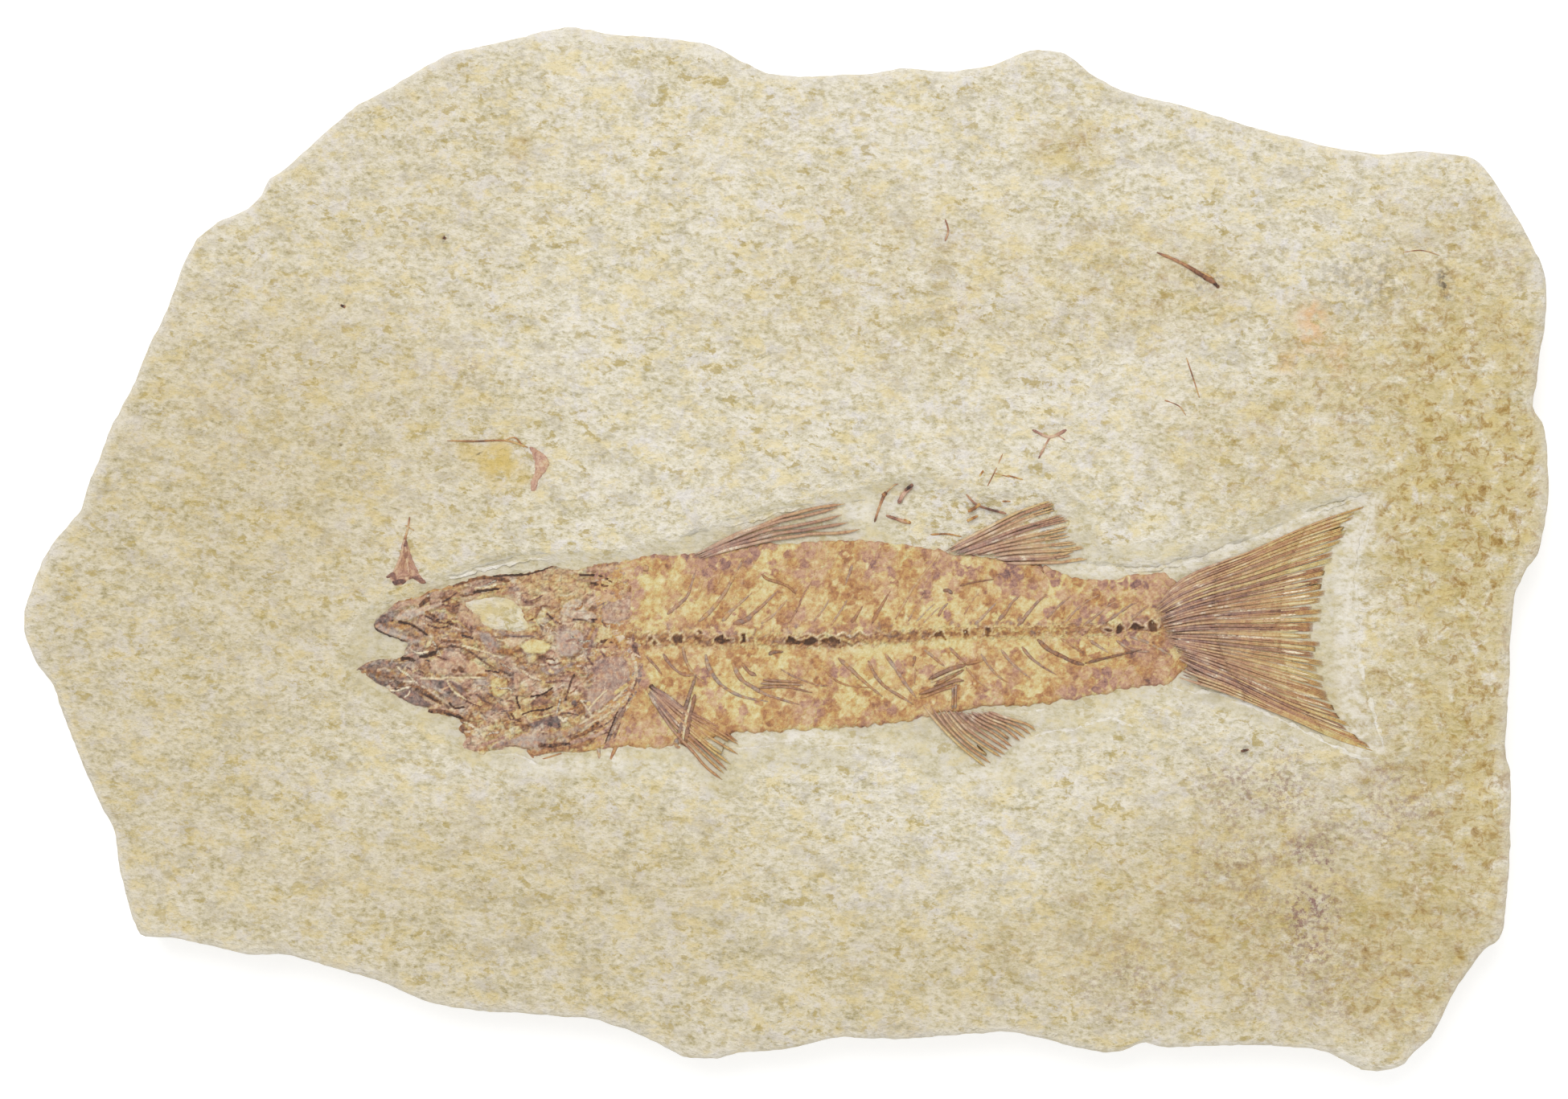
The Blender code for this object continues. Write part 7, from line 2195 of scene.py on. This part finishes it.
        # painted shade: grey on the scarps' steep faces
        colour = w.cover(colour, w.field("shade"), 0.75, self.grey)
        w.plug(shader.inputs["Base Color"], colour)
        w.plug(shader.inputs["Roughness"], w.span(value, 0.3, 0.7, 0.96, 0.8))
        shader.inputs["Specular IOR Level"].default_value = 0.22
        rise = w.plus(w.times(value, 1.2),
                      w.times(grit.outputs["Height"], 0.7))
        rise = w.times(rise, w.less(1.0, w.times(scraped, 0.5)))
        w.roughen(shader, 0.75, 0.6, rise)
        return material


@dataclass(frozen=True)
class BoneFinish:
    """Fossil bone: gold to umber, or rose to violet brown, crusted with lime in places; the lime's
    flecks also stand in for glints, a painted highlight, and the hollows take painted shade.
    """

    name: str
    grit: bpy.types.NodeTree
    mottle: bpy.types.NodeTree
    gold: tuple = (
        (0.0, rgb(214, 204, 160)), (0.2, rgb(205, 186, 128)), (0.36, rgb(194, 156, 95)),
        (0.54, rgb(172, 120, 70)), (0.75, rgb(130, 87, 53)), (0.95, rgb(62, 42, 30)),
    )
    violet: tuple = (
        (0.0, rgb(218, 203, 182)), (0.22, rgb(206, 176, 153)), (0.42, rgb(187, 147, 126)),
        (0.58, rgb(160, 119, 104)), (0.78, rgb(112, 82, 77)), (0.96, rgb(56, 43, 41)),
    )
    grey: tuple = (
        (0.0, rgb(210, 202, 187)), (0.25, rgb(187, 172, 157)), (0.45, rgb(163, 147, 136)),
        (0.65, rgb(127, 113, 106)), (0.85, rgb(79, 70, 66)), (1.0, rgb(45, 40, 38)),
    )
    lime: tuple = rgb(240, 230, 204)
    # painted shade in hollows and cracks
    hollow: tuple = rgb(64, 42, 26)
    gloss: float = 0.4

    def make(self) -> bpy.types.Material:
        """Build the material."""
        material, w, shader = new_material(self.name)
        here = w.place()
        mottle = w.group(self.mottle, vector=here, broad=0.2)
        grit = w.group(self.grit, vector=here, size=0.5)
        shift = w.less(mottle.outputs["Value"], 0.5)
        tone = w.plus(w.field("tone"), w.times(shift, 0.75))
        tone = w.plus(tone, w.times(grit.outputs["Grain"], 0.42))
        hue = w.plus(w.field("mauve"), w.times(shift, 1.2), clamp=True)
        colour = w.mix(hue, w.ramp(tone, self.gold), w.ramp(tone, self.violet))
        bloom = w.times(w.field("slate"), w.span(w.noise(here, 1.1, 3.0), 0.34, 0.6))
        colour = w.mix(bloom, colour, w.ramp(tone, self.grey))
        # lime flecks, which also stand in for the bone's glints: partly a painted highlight
        flecks = w.span(w.noise(here, 0.5, 3.0, 0.7), 0.36, 0.6)
        colour = w.mix(w.times(w.field("crust"), flecks), colour, self.lime)
        shade = w.times(w.field("dark"), w.span(w.noise(here, 0.8, 3.0), 0.25, 0.5))
        colour = w.cover(colour, shade, 0.85, self.hollow)
        w.plug(shader.inputs["Base Color"], colour)
        w.plug(shader.inputs["Roughness"], w.span(tone, 0.1, 0.8, 0.78, 0.5))
        shader.inputs["Specular IOR Level"].default_value = self.gloss
        rise = w.plus(grit.outputs["Height"], w.times(shift, 1.2))
        w.roughen(shader, 0.8, 0.3, rise)
        return material


# ---------------------------------------------------------------- the studio


@dataclass(frozen=True)
class Lamp:
    """A soft square light aimed at the slab: its place and width in metres, and its watts."""

    name: str
    place: tuple[float, float, float]
    size: float
    watts: float

    def put(self) -> None:
        """Put it into the scene."""
        light = bpy.data.lights.new(self.name, "AREA")
        light.size = self.size
        light.energy = self.watts
        lamp = bpy.data.objects.new(self.name, light)
        bpy.context.scene.collection.objects.link(lamp)
        lamp.location = self.place
        lamp.rotation_euler = (-Vector(self.place)).to_track_quat("-Z", "Y").to_euler()


@dataclass
class Studio:
    """A pale floor, a soft light from the top of the slab, and a camera straight above."""

    frame_width: float = 302.25    # of the view at the face's height, in millimetres
    centre: tuple[float, float] = (-0.465, -0.0775)
    lens: float = 100.0
    sensor: float = 36.0
    floor_half: float = 1500.0
    floor_height: float = -0.02
    paper: tuple[float, float, float, float] = (0.6, 0.6, 0.596, 1)
    white: tuple[float, float, float, float] = (1.0, 1.0, 1.0, 1)
    paper_glow: float = 0.5
    sky_strength: float = 0.8
    lamps: tuple[Lamp, ...] = (
        Lamp("key_light", (-0.4, 1.0, 1.7), 1.2, 19.5),
        Lamp("fill_light", (0.5, -1.0, 1.5), 1.4, 2.0),
    )

    def floor(self) -> bpy.types.Object:
        """A wide flat sheet just under the slab's back."""
        half, z = self.floor_half, self.floor_height
        points = np.array([(-half, -half, z), (half, -half, z), (half, half, z), (-half, half, z)])
        sheet = put_mesh("studio_floor", points, [[0, 1, 2, 3]], {})
        material, _, shader = new_material("pale_paper")
        shader.inputs["Base Color"].default_value = self.paper
        shader.inputs["Emission Color"].default_value = self.white
        shader.inputs["Emission Strength"].default_value = self.paper_glow
        shader.inputs["Roughness"].default_value = 1.0
        shader.inputs["Specular IOR Level"].default_value = 0.0
        sheet.data.materials.append(material)
        return sheet

    def light(self) -> None:
        """An even sky, a broad key from beyond the slab's top edge, a weak fill from below."""
        scene = bpy.context.scene
        world = scene.world or bpy.data.worlds.new("studio_sky")
        scene.world = world
        world.use_nodes = True
        sky = world.node_tree.nodes["Background"]
        sky.inputs["Color"].default_value = self.white
        sky.inputs["Strength"].default_value = self.sky_strength
        for lamp in self.lamps:
            lamp.put()
        scene.view_settings.view_transform = "Standard"
        scene.view_settings.look = "None"

    def camera(self) -> None:
        """Straight down, upright to the slab's top edge."""
        shape = bpy.data.cameras.new("camera")
        shape.lens, shape.sensor_width, shape.sensor_fit = self.lens, self.sensor, "HORIZONTAL"
        shape.clip_start, shape.clip_end = 0.01, 20
        camera = bpy.data.objects.new("camera", shape)
        bpy.context.scene.collection.objects.link(camera)
        height = self.frame_width * self.lens / self.sensor + FACE
        camera.location = (self.centre[0] * MM, self.centre[1] * MM, height * MM)
        bpy.context.scene.camera = camera


def main() -> None:
    """Build every piece in order and report it."""
    logging.basicConfig(level=logging.INFO, format="%(message)s")
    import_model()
    grit, mottle = grit_group(), mottle_group()
    stone = StoneFinish(grit, mottle).make()
    bone = BoneFinish("fossil_bone_finish", grit, mottle).make()
    dark_bone = BoneFinish("loose_bone_finish", grit, mottle, gloss=0.35).make()
    stone_slab = StoneSlab()
    slab, lips = stone_slab.build(), Scarps(stone_slab).build()
    trunk, head = Trunk(), Head()
    fish = [trunk.build(), head.build()]
    fish += Fins().build()
    fish += Spines(trunk).build()
    loose = LooseBones().build()
    for pieces, finish in (([slab, lips], stone), (fish, bone), (loose, dark_bone)):
        for piece in pieces:
            piece.data.materials.clear()
            piece.data.materials.append(finish)
            LOG.info("%s: %d faces", piece.name, len(piece.data.polygons))
    studio = Studio()
    studio.floor()
    studio.light()
    studio.camera()


if __name__ == "__main__":
    main()
